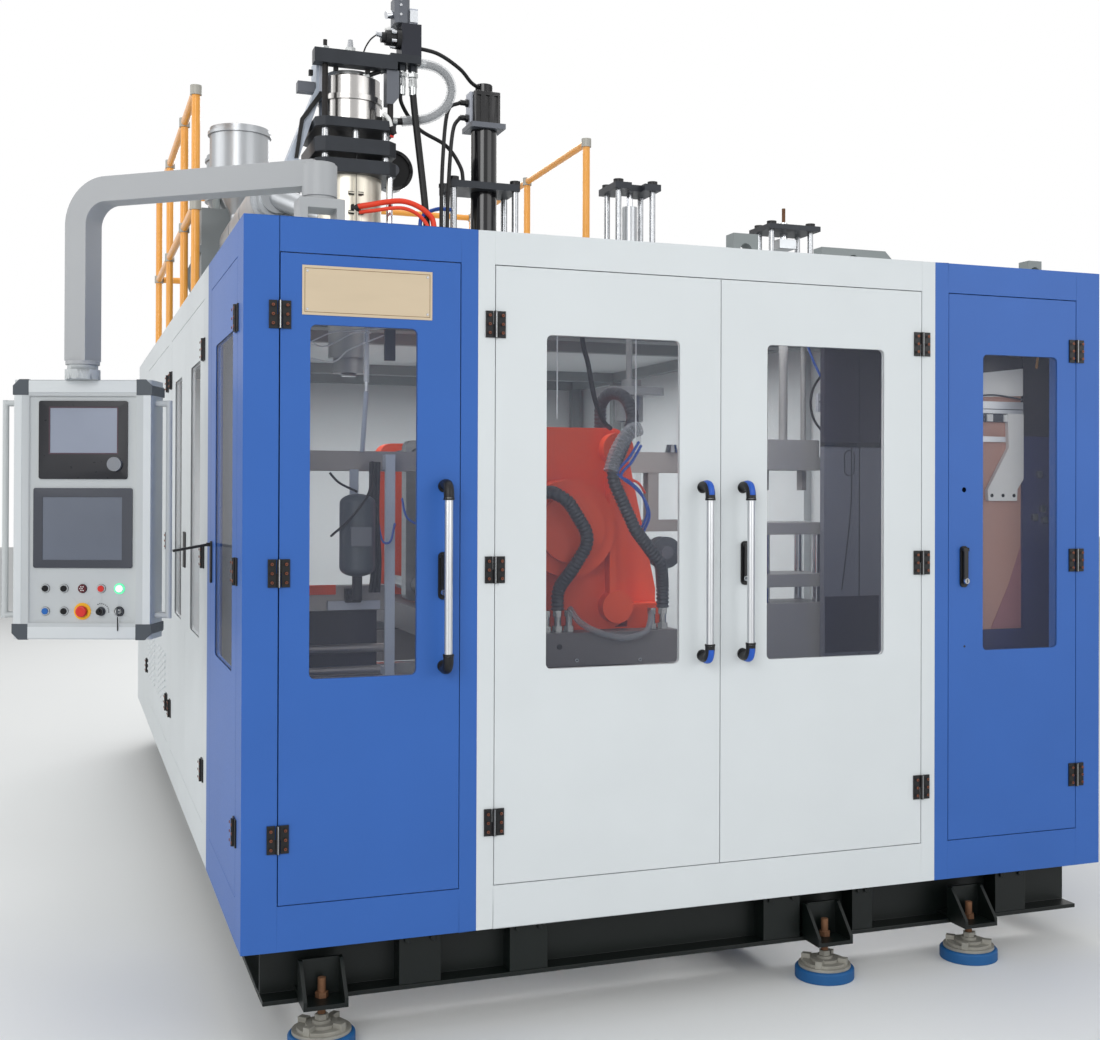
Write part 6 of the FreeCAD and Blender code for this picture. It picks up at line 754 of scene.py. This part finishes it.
panel = Kit(PANEL)
for sx in (0, 1):
    for sz in (0, 1):
        def corner(u, z):
            return (PANEL_W - u if sx else u, PANEL_Z1 - z if sz else PANEL_Z0 + z)
        panel.plate("cap", -PROUD, PANEL_D + 2 * PROUD, [
            corner(-PROUD, CUT), corner(CUT, -PROUD), corner(CAP, -PROUD), corner(CAP, CAP),
            corner(-PROUD, CAP)])
for z0, z1 in ((PANEL_Z0 + 4, PANEL_Z0 + BAR_Z), (PANEL_Z1 - BAR_Z, PANEL_Z1 - 4)):
    panel.box("panel_light", CAP, PANEL_W - CAP, -1.2, 6, z0, z1)
for x0, x1 in ((SIDE_BAR_X0, SIDE_BAR_X1), (PANEL_W - SIDE_BAR_X1, PANEL_W - SIDE_BAR_X0)):
    panel.box("panel_light", x0, x1, -0.8, 6, PANEL_Z0 + CAP, PANEL_Z1 - CAP)
# button rings, the collar of the stop, the lamp's halo and the key's disc
for x in COLUMNS:
    for z in (ROW_HIGH, ROW_LOW):
        if (x, z) != (MIDDLE, ROW_LOW):
            panel.ring("bezel_black", (x, 9.4, z), OUTWARD, 16, 14, 2.6, 32)
panel.ring("yellow", (MIDDLE, 9.0, ROW_LOW), OUTWARD, 30, 16, 3.0, 40)
panel.ring("mint", (LAST, 8.8, ROW_HIGH), OUTWARD, 19, 14.2, 3.2, 36)
panel.ring("gloss", (LAST, 8.4, ROW_LOW), OUTWARD, 17.5, 9, 3.6, 32)
panel.box("gloss", LAST - 1.8, LAST + 1.8, -9, -7, 1146, 1196)
# buzzer with its holes, and the dots round the knob
panel.rod("maroon", (MIDDLE, 5, ROW_HIGH), (MIDDLE, 12, ROW_HIGH), 15, 15, 28)
for k in range(6):
    a = k * math.pi / 3
    dx, dz = (BUZZER_R * math.cos(a), BUZZER_R * math.sin(a)) if k else (0, 0)
    panel.rod("white", (MIDDLE + dx, 5.2, ROW_HIGH + dz), (MIDDLE + dx, 4.4, ROW_HIGH + dz),
              BUZZER_HOLE_R, None, 10)
for k in range(9):
    a = math.radians(ARC_FROM - k * ARC_STEP)
    x, z = KNOB_X + ARC_R * math.cos(a), ROW_LOW + ARC_R * math.sin(a)
    panel.box("black", x - DOT, x + DOT, 11.4, 12.2, z - DOT, z + DOT)
# plum border of the upper screen, and both screens
for x0, x1, z0, z1 in ((127, 367, 1934, 1938), (127, 367, 1770, 1774),
                       (124, 128, 1770, 1938), (366, 370, 1770, 1938)):
    panel.box("plum", x0, x1, 5.6, 6.4, z0, z1)
panel.box("screen_high", 128, 366, 7.5, 8.6, 1774, 1934)
panel.box("screen_low", 103, 385, 7.5, 8.6, 1395, 1618)
panel.done("panel_trim", "panel", 0.5)

# -------- roof lines: smooth hoses in place of the jointed ones
ROOF_TOP = 2440
HOSE_R, LEAD_R, RED_R = 14, 8, 11
LOOP = [(606, 1380, 3378), (690, 1386, 3372), (744, 1394, 3340), (764, 1404, 3284), (738, 1412, 3218),
        (668, 1418, 3168), (560, 1420, 3146), (450, 1420, 3142)]
# Material, radius, sides, steps between points, and the points.
ROOF_LINES = (
    ("rubber", HOSE_R, 20, 10, LOOP),
    ("rubber", HOSE_R, 20, 12, [
        (596, 1380, 3285), (602, 1375, 3190), (645, 1340, 2729), (645, 1315, ROOF_TOP)]),
    ("rubber", LEAD_R, 16, 10, [
        (550, 1380, 3285), (556, 1404, 3215), (640, 1462, 3135), (758, 1465, 3075), (816, 1452, 2990),
        (823, 1430, 2922)]),
    ("rubber", LEAD_R, 16, 10, [
        (606, 1380, 3440), (700, 1376, 3424), (800, 1410, 3384), (862, 1454, 3346), (910, 1483, 3332)]),
    ("rubber", LEAD_R, 16, 10, [
        (825, 1490, 3205), (790, 1466, 3150), (752, 1380, 2990), (725, 1315, 2733), (725, 1315, ROOF_TOP)]),
    ("rubber", LEAD_R, 16, 10, [
        (825, 1490, 3268), (768, 1478, 3220), (722, 1380, 2990), (700, 1315, 2740), (700, 1315, ROOF_TOP)]),
    ("blue_hose", LEAD_R, 16, 10, [
        (763, 1412, 2800), (700, 1380, 2792), (630, 1325, 2752), (612, 1315, 2690), (615, 1315, ROOF_TOP)]),
    ("red_hose", RED_R, 18, 10, [
        (372, 1352, 2773), (400, 1330, 2776), (540, 1315, 2800), (640, 1315, 2762), (672, 1315, 2690),
        (675, 1315, ROOF_TOP)]),
)
lines = Kit()
for key, r, seg, steps, points in ROOF_LINES:
    lines.tube(key, points, r, seg=seg, steps=steps)
lines.done("hydraulic_lines_look", BODY["hydraulic_lines"], replaces=("hydraulic_lines",))

# -------- roof: small parts of the head and its valve
LOOP_SLEEVE_R, LOOP_RIB, LOOP_RIB_PITCH = 20.5, 0.7, 0.5
SERVO_Y, SERVO_Z, SERVO_BOLT_R = 1360, 3460, 34
STUD_X, STUD_Y = 338, 1360
WHEEL_X, WHEEL_Z = 598, 3020

roof = Kit()
roof.tube("sleeve", LOOP[:-1], 21, seg=18, steps=24,
          radii=lambda walked, length: LOOP_SLEEVE_R + LOOP_RIB * math.sin(walked * LOOP_RIB_PITCH))
roof.rod("fitting", (606, 1380, 3378), (648, 1382, 3378), 18, 17, 24)
roof.rod("fitting", (490, 1420, 3142), (540, 1420, 3144), 18, 17, 24)
roof.rod("fitting", (478, 1420, 3142), (494, 1420, 3142), 21, None, 6)
roof.tube("rubber", [(400, 1384, 3300), (440, 1380, 3318), (478, 1378, 3334)], 9, seg=16)
roof.rod("fitting", (396, 1385, 3298), (418, 1383, 3307), 12, None, 6)
roof.rod("fitting", (462, 1379, 3327), (482, 1378, 3336), 12, None, 6)
for x, z in ((550, 3285), (596, 3285)):
    roof.rod("fitting", (x, 1380, z - 8), (x, 1380, z + 28), 19, 16, 6)
    roof.rod("fitting", (x, 1380, z + 30), (x, 1380, z + 46), 22, None, 6)
    roof.rod("fitting", (x, 1380, z - 42), (x, 1380, z - 8), 15.5, 16.5, 20)
# servo drive bolts, its plug and lead
for k in range(6):
    a = math.radians(60 * k + 30)
    y, z = SERVO_Y + SERVO_BOLT_R * math.cos(a), SERVO_Z + SERVO_BOLT_R * math.sin(a)
    roof.rod("chrome", (518, y, z), (498, y, z), 7.5, 7, 16)
    roof.rod("black", (498.4, y, z), (497.4, y, z), 3.6, None, 6)
roof.rod("chrome", (463, SERVO_Y, 3470), (440, SERVO_Y, 3474), 14, 12, 20)
roof.tube("black", [(444, 1358, 3468), (418, 1350, 3444), (398, 1350, 3412), (388, 1352, 3384)], 3.2, seg=10)
# plugs and screws on the valve cap
roof.rod("chrome", (513, 1372, 3560), (482, 1364, 3552), 17, 15, 24)
roof.rod("white", (500, 1366, 3500), (480, 1362, 3492), 9, 8, 16)
roof.box("alu_bright", 574, 606, 1337, 1347, 3528, 3576)
for z in (3552, 3590, 3612):
    roof.rod("chrome", (536, 1332.5, z), (536, 1329, z), 6, 5, 16)
roof.rod("red", (540, 1360, 3623), (540, 1360, 3630), 10, 6, 16)
# second stud, bracket on the right of the ram, nubs on the ram
roof.rod("fitting", (STUD_X, STUD_Y, 3384), (STUD_X, STUD_Y, 3402), 21, None, 6)
roof.rod("post", (STUD_X, STUD_Y, 3400), (STUD_X, STUD_Y, 3434), 13, 9, 20)
roof.plate("mid_grey", 1344, 62, [(482, 3328), (532, 3328), (532, 3222), (508, 3192), (482, 3192)])
for x, y in ((284, 1380), (410, 1372)):
    roof.box("black", x - 9, x + 9, y - 9, y + 9, 3312, 3332)
roof.rod("steel", (HEAD_X, HEAD_Y, 3313), (HEAD_X, HEAD_Y, 3326), 96, None, 48)
# duct edge, its clamp plate and the small block beside it
roof.box("side_plate", 224, 251, 1404, 1418, 3232, 3352)
roof.plate("black", 1408, 14, [
    (251, 3234), (232, 3240), (150, 3118), (128, 2960), (142, 2960), (164, 3110)])
roof.box("mid_grey", 142, 212, 1424, 1470, 3230, 3271)
roof.box("black", 184, 200, 1412, 1430, 3294, 3316)
# drain tube with its elbow, and the hand wheel
roof.tube("white", [(470, 1344, 3152), (490, 1338, 3128), (499, 1336, 3096)], 8.5, seg=16)
roof.rod("black", (498, 1336, 3100), (512, 1342, 3070), 13, 12, 20)
roof.rod("red", (494, 1336, 3062), (508, 1336, 3058), 5, None, 12)
roof.rod("black", (WHEEL_X, 1752, WHEEL_Z), (WHEEL_X, 1790, WHEEL_Z), 82, None, 56)
roof.ring("gloss", (WHEEL_X, 1742, WHEEL_Z), (0, 1, 0), 88, 74, 58, 56)
roof.rod("mid_grey", (WHEEL_X, 1736, WHEEL_Z), (WHEEL_X, 1752, WHEEL_Z), 26, None, 32)
# plug and second line beside the red hose, and the seam of the jacket
roof.rod("black", (378, 1356, 2768), (350, 1372, 2768), 19, 18, 24)
roof.tube("red_hose", [
    (376, 1352, 2750), (420, 1322, 2754), (540, 1296, 2768), (622, 1296, 2728), (646, 1290, 2650),
    (648, 1290, ROOF_TOP)], 7.5, seg=16, steps=10)
for z in range(2560, 2900, 84):
    roof.box("seam", 361, 363, 1348.5, 1350.5, z, z + 84)
roof.done("roof_details", "machine", 0.8)

# -------- clamp: sleeves, thin lines and manifold screws
MANIFOLD_Y = 381
SLEEVE_R, SLEEVE_RIB, SLEEVE_RIB_PITCH = 26, 1.4, 0.45

clamp = Kit()
clamp.tube("haze", [(1163, 350, 1866), (1120, 345, 1846), (1078, 346, 1782), (1052, 338, 1712)], 27,
           seg=20, steps=24,
           radii=lambda walked, length: SLEEVE_R + SLEEVE_RIB * math.sin(walked * SLEEVE_RIB_PITCH))
for key, r, seg, steps, points in (
        ("haze", 11, 16, 12, [
            (930, 414, 1236), (950, 362, 1192), (1010, 350, 1158), (1107, 346, 1134), (1194, 352, 1156),
            (1240, 412, 1214)]),
        ("blue_hose", 5, 12, 10, [
            (1163, 352, 1818), (1124, 340, 1765), (1076, 335, 1708), (1128, 340, 1675), (1173, 350, 1635),
            (1199, 360, 1569), (1182, 384, 1504)]),
        ("blue_hose", 5, 12, 10, [
            (1172, 352, 1806), (1134, 345, 1748), (1092, 340, 1700), (1140, 345, 1662), (1186, 356, 1618),
            (1210, 366, 1560), (1196, 386, 1500)]),
        ("red_hose", 4.5, 12, 8, [
            (1070, 345, 1706), (1110, 345, 1694), (1160, 350, 1674), (1200, 384, 1640)])):
    clamp.tube(key, points, r, seg=seg, steps=steps)
# This black disc in the manifold's open hole is painted shade of the hole's dark inside.
clamp.rod("rubber", (881, MANIFOLD_Y, 1107), (881, MANIFOLD_Y - 3.5, 1107), 10, None, 24)
for x, z in ((943, 1059), (1180, 1053), (821, 1067)):
    clamp.rod("chrome", (x, MANIFOLD_Y, z), (x, MANIFOLD_Y - 8, z), 9, 7, 20)
    clamp.rod("black", (x, MANIFOLD_Y - 7.6, z), (x, MANIFOLD_Y - 8.4, z), 3.8, None, 6)
clamp.done("clamp_details", BODY["clamp_hoses"], 0.6)

# -------- what shows behind the mould doors
CEILING, FLOOR = 2378, 426
CAB_L, CAB_R, CAB_F, CAB_B = 2453, 2754, 1300, 1336
LOOP_X, LOOP_Z, LOOP_R, LOOP_HALF = 2581, 1776, 26, 30
FRAME_F, FRAME_B = 880, 940
PUMP_X, PUMP_Y, PUMP_R = 144, 214, 56

inner = Kit()
inner.tube("rubber", [
    (950, 360, CEILING), (954, 360, 2174), (975, 360, 2086), (1001, 362, 1965), (1040, 380, 1890),
    (1090, 440, 1868)], 8.5, seg=16, steps=8)
for x, z in ((848, 1891), (1138, 1829)):
    inner.rod("alu_bright", (x, 320, CEILING), (x, 320, z), 2.4, None, 10)
inner.tube("blue_hose", [(2380, 1360, CEILING), (2421, 1360, 2256), (2487, 1360, 2132)], 5.5, seg=12)
inner.tube("rubber", [
    (2487, 1365, 2175), (2462, 1362, 2157), (2430, 1360, 2108), (2418, 1360, 2045), (2434, 1360, 1972),
    (2486, 1362, 1910)], 5.5, seg=12)
inner.box("side_plate", 2450, 2483, 1352, 1372, 2005, 2088)
inner.rod("black", (2460, 1353, 2050), (2460, 1350.5, 2050), 4, None, 16)
# cabinet with its seams and a long loop of cable
inner.box("tint_dark", CAB_L, CAB_R, CAB_F, CAB_B, 1866, CEILING)
inner.box("tint", CAB_L, CAB_R, CAB_F, CAB_B, 430, 1850)
inner.box("gloss", CAB_L, CAB_R, CAB_F - 4, CAB_B, 1848, 1868)
inner.box("tint_dark", CAB_L + 6, CAB_R - 20, CAB_F - 3, CAB_F + 2, 930, 1180)
inner.box("seam", 2631, 2635, CAB_F - 2, CAB_F + 2, 430, 2370)
loop = []
for k in range(16):
    a = k * math.pi / 8
    rise = LOOP_HALF if k <= 8 else -LOOP_HALF
    loop.append((LOOP_X + LOOP_R * math.cos(a), CAB_F - 1.5, LOOP_Z + LOOP_R * math.sin(a) + rise))
inner.tube("seam", loop + loop[:1], 2.2, seg=8, steps=3)
inner.tube("seam", [
    (2592, CAB_F - 2, 1846), (2590, CAB_F - 2, 1600), (2566, CAB_F - 2, 1380), (2543, CAB_F - 2, 1209)],
    2.2, seg=8)
# frame seen between the crosshead and the door stile
inner.box("fixture", 1350, 1660, FRAME_F, FRAME_B, 1718, 1799)
inner.box("fixture", 1426, 1470, FRAME_F + 4, FRAME_B - 4, 1534, 1718)
inner.box("fixture", 1410, 1660, FRAME_F, FRAME_B, 1488, 1534)
inner.box("fixture", 1600, 1660, FRAME_F + 4, FRAME_B - 4, FLOOR, 1799)
inner.rod("chrome", (1528, 890, 1799), (1528, 890, 1830), 26, 20, 24)
inner.rod("cap", (1500, 872, 1405), (1500, 940, 1405), 62, None, 36)
inner.rod("mid_grey", (1500, 864, 1405), (1500, 872, 1405), 26, None, 28)
inner.box("fixture", 1556, 1610, 890, 930, 1380, 1430)

# -------- panel behind the right corner door, with its bracket
BOARD_L, BOARD_M, BOARD_R = 2380, 2632, 2752
BOARD_F, BOARD_B, BOARD_Z = 150, 190, 1855
SHEET_Z0, SHEET_Z1 = 1139, 2010

for key, x0, x1, back, z0, z1 in (
        ("tint_dark", BOARD_M, BOARD_R, 0, BOARD_Z, CEILING), ("navy", BOARD_M, BOARD_R, 0, FLOOR, BOARD_Z),
        ("navy", BOARD_L, BOARD_M, 0, FLOOR, SHEET_Z0), ("salmon", BOARD_L, BOARD_M, 12, SHEET_Z0, SHEET_Z1),
        ("tint_dark", BOARD_L, BOARD_M, 6, SHEET_Z1, CEILING)):
    inner.box(key, x0, x1, BOARD_F + back, BOARD_B, z0, z1)
inner.plate("salmon_dark", BOARD_F + 10, 3, [(2498, 1141), (BOARD_M, 1141), (BOARD_M, 1450), (2576, 1300)])
inner.plate("bright", BOARD_F, 14, [
    (BOARD_L, 2078), (BOARD_M, 2108), (BOARD_M, 2006), (2540, 2002), (BOARD_L, 1996)])
inner.tube("cap", [(BOARD_L, BOARD_F - 1, 1994), (2500, BOARD_F - 1, 2006), (BOARD_M, BOARD_F - 1, 1992)],
           3, seg=8)
inner.box("alu_bright", BOARD_L, BOARD_M, BOARD_F - 2, BOARD_F + 14, 1938, 1982)
inner.box("cap", BOARD_L, BOARD_M, BOARD_F - 3, BOARD_F, 1952, 1955)
inner.box("bezel", BOARD_L, BOARD_M, BOARD_F + 2, BOARD_F + 14, 1906, 1938)
for x in (2470, 2545, 2600):
    inner.box("bright", x, x + 26, BOARD_F - 4, BOARD_F + 10, 1908, 1934)
inner.plate("bright", BOARD_F - 6, 18, [
    (2560, 1938), (2631, 1938), (2631, 1695), (2604, 1658), (2602, 1614), (2475, 1614), (2471, 1654),
    (2565, 1811)])
inner.box("alu_bright", BOARD_L, 2552, BOARD_F - 4, BOARD_F + 14, 1832, 1852)
for x in (2490, 2539, 2588):
    inner.rod("seam", (x, BOARD_F - 5, 1634), (x, BOARD_F - 7, 1634), 7, None, 20)
for x, z in ((2669, 1540), (2704, 1572), (2714, 1530), (2690, 1700)):
    inner.box("fitting", x, x + 22, BOARD_F - 14, BOARD_F + 2, z, z + 26)
inner.tube("rail", [(2706, BOARD_F - 4, CEILING), (2700, BOARD_F - 4, 2200), (2690, BOARD_F - 4, 2110)],
           5, seg=10)

# -------- pump and wiring behind the left corner door
inner.rod("cap", (PUMP_X, PUMP_Y, 1400), (PUMP_X, PUMP_Y, 1606), PUMP_R, None, 36)
for z in (1606, 1400):
    inner.ball("cap", (PUMP_X, PUMP_Y, z), PUMP_R, (1, 1, 0.5))
inner.box("mid_grey", 112, 176, 150, 162, 1470, 1530)
inner.box("black", 120, 168, 268, 306, 1286, 1330)
inner.rod("black", (PUMP_X, PUMP_Y, 1300), (PUMP_X, PUMP_Y, 1380), 16, None, 20)
inner.box("black", 128, 160, PUMP_Y, 306, 1296, 1312)
for k, x in enumerate((192, 202, 213)):
    inner.tube("rubber", [(x, 236 - 6 * k, 1735), (x - 3, 224, 1560), (x + 5, 226, 1420),
                          (x + 2 * k, 240, 1320)], 6.5, seg=12)
for key, r, points in (
        ("rubber", 4, [(66, 240, 1500), (110, 140, 1560), (168, 150, 1640), (196, 236, 1735)]),
        ("rubber", 4, [(60, 240, 1700), (90, 232, 1668), (140, 200, 1640)]),
        ("blue_hose", 3.6, [(212, 232, 1560), (226, 226, 1486), (252, 226, 1482), (268, 230, 1540)]),
        ("blue_hose", 3.6, [(292, 236, 1620), (306, 230, 1560), (350, 232, 1530)])):
    inner.tube(key, points, r, seg=10)
for key, *box in (
        ("duct", 136, 164, 296, 306, 1622, 1712), ("duct", 243, 274, 254, 270, 1050, 1760),
        ("duct", 243, 268, 270, 306, 1712, 1760), ("duct", 243, 268, 270, 322, 1050, 1076),
        ("orange", 5, 90, 285, 306, 1312, 1342), ("tint_dark", -70, 236, 350, 356, 1146, 1260),
        ("tint_dark", -70, 236, 350, 356, 1075, 1120), ("side_plate", 66, 235, 292, 306, 1262, 1290)):
    inner.box(key, *box)
for points in ([(-20, 232, 2100), (60, 226, 2140), (130, 226, 2150), (300, 232, 2172)],
               [(-10, 240, 2060), (70, 232, 2050), (120, 232, 2090), (230, 236, 2140)],
               [(-20, 236, 2120), (40, 230, 2096), (130, 232, 2142), (190, 236, 2146)]):
    inner.tube("bright", points, 2.4, seg=8)
inner.rod("sleeve", (176, 240, 1990), (176, 240, 2150), 9, None, 20)
inner.rod("alu_bright", (176, 240, 1960), (176, 240, CEILING), 5, None, 16)
inner.rod("duct", (176, 300, 1771), (176, 240, 1960), 8, None, 16)
inner.box("bezel", 234, 268, 232, 250, 2060, 2160)
inner.done("inner_details", "machine", 0.8)

# -------- camera, solved from the photo's edges
PHOTO_W, PHOTO_H = 1100, 1040
FOCAL_PX, CENTRE_U, CENTRE_V = 1413.4687, 587.741, 484.58
SENSOR = 36.0
EYE = (-0.74591, -4.21961, 1.64026)
RIGHT = Vector((0.93605547, -0.35183708, 0.00329157))
UP = Vector((-0.00504149, -0.00405759, 0.99997906))
AHEAD = Vector((0.35181635, 0.93605246, 0.00557191))

lens = bpy.data.cameras.new("camera")
lens.sensor_fit = "HORIZONTAL"
lens.sensor_width = SENSOR
lens.lens = FOCAL_PX / PHOTO_W * SENSOR
lens.shift_x = (PHOTO_W / 2 - CENTRE_U) / PHOTO_W
lens.shift_y = (CENTRE_V - PHOTO_H / 2) / PHOTO_W
lens.clip_end = 100
camera = bpy.data.objects.new("camera", lens)
scene.collection.objects.link(camera)
camera.matrix_world = Matrix.Translation(EYE) @ Matrix((RIGHT, UP, -AHEAD)).transposed().to_4x4()
scene.camera = camera

# -------- light and floor
FLOOR_HALF = 40


def area(name, place, target, size, power):
    """A lamp at its place, turned to the target."""
    data = bpy.data.lights.new(name, "AREA")
    data.shape = "RECTANGLE"
    data.size, data.size_y = size
    data.energy = power
    lamp = bpy.data.objects.new(name, data)
    lamp.location = place
    lamp.rotation_euler = (Vector(target) - Vector(place)).to_track_quat("-Z", "Y").to_euler()
    scene.collection.objects.link(lamp)
    return lamp


key = area("key", (-4.2, -7.2, 4.6), (1.2, 0.5, 1.3), (5, 5), 400)
fill = area("fill", (6.5, -6.5, 3.6), (1.5, 0.5, 1.4), (6, 5), 185)
top = area("top", (1.3, 2.6, 9.0), (1.3, 2.6, 0.0), (8, 9), 290)
side = area("side", (-7.5, 3.0, 4.5), (0.0, 2.5, 1.3), (6, 5), 170)
inside_front = area("inside_front", (1.3, 0.95, 2.33), (1.3, 0.9, 0.0), (2.2, 1.2), 38)
inside_rear = area("inside_rear", (1.3, 3.4, 2.33), (1.3, 3.4, 0.0), (2.0, 2.4), 70)
for lamp in (inside_front, inside_rear):
    lamp.visible_camera = False
    lamp.visible_glossy = False
back = area("back", (3.5, 12.5, 6.0), (1.5, 5.0, 1.3), (6, 5), 330)

floor_mesh = bpy.data.meshes.new("floor")
floor_mesh.from_pydata([(x * FLOOR_HALF, y * FLOOR_HALF, 0) for x, y in ((-1, -1), (1, -1), (1, 1), (-1, 1))],
                       [], [(0, 1, 2, 3)])
floor_mesh.materials.append(surface("floor", (226, 227, 226), 0.6, vary=0.01, scale=0.4))
floor = bpy.data.objects.new("floor", floor_mesh)
scene.collection.objects.link(floor)

# A dim world that lights the part, and a white one that the camera, metal and glass see.
world = bpy.data.worlds.new("studio")
scene.world = world
world.use_nodes = True
tree = world.node_tree
tree.nodes.clear()
output = tree.nodes.new("ShaderNodeOutputWorld")
mix = tree.nodes.new("ShaderNodeMixShader")
lit = tree.nodes.new("ShaderNodeBackground")
lit.inputs["Color"].default_value = (0.93, 0.95, 0.97, 1)
lit.inputs["Strength"].default_value = 0.46
seen = tree.nodes.new("ShaderNodeBackground")
seen.inputs["Color"].default_value = (1, 1, 1, 1)
seen.inputs["Strength"].default_value = 1.0
paths = tree.nodes.new("ShaderNodeLightPath")
shown = paths.outputs["Is Camera Ray"]
for ray in ("Is Glossy Ray", "Is Transmission Ray"):
    either = tree.nodes.new("ShaderNodeMath")
    either.operation = "MAXIMUM"
    tree.links.new(shown, either.inputs[0])
    tree.links.new(paths.outputs[ray], either.inputs[1])
    shown = either.outputs[0]
tree.links.new(shown, mix.inputs["Fac"])
tree.links.new(lit.outputs["Background"], mix.inputs[1])
tree.links.new(seen.outputs["Background"], mix.inputs[2])
tree.links.new(mix.outputs["Shader"], output.inputs["Surface"])
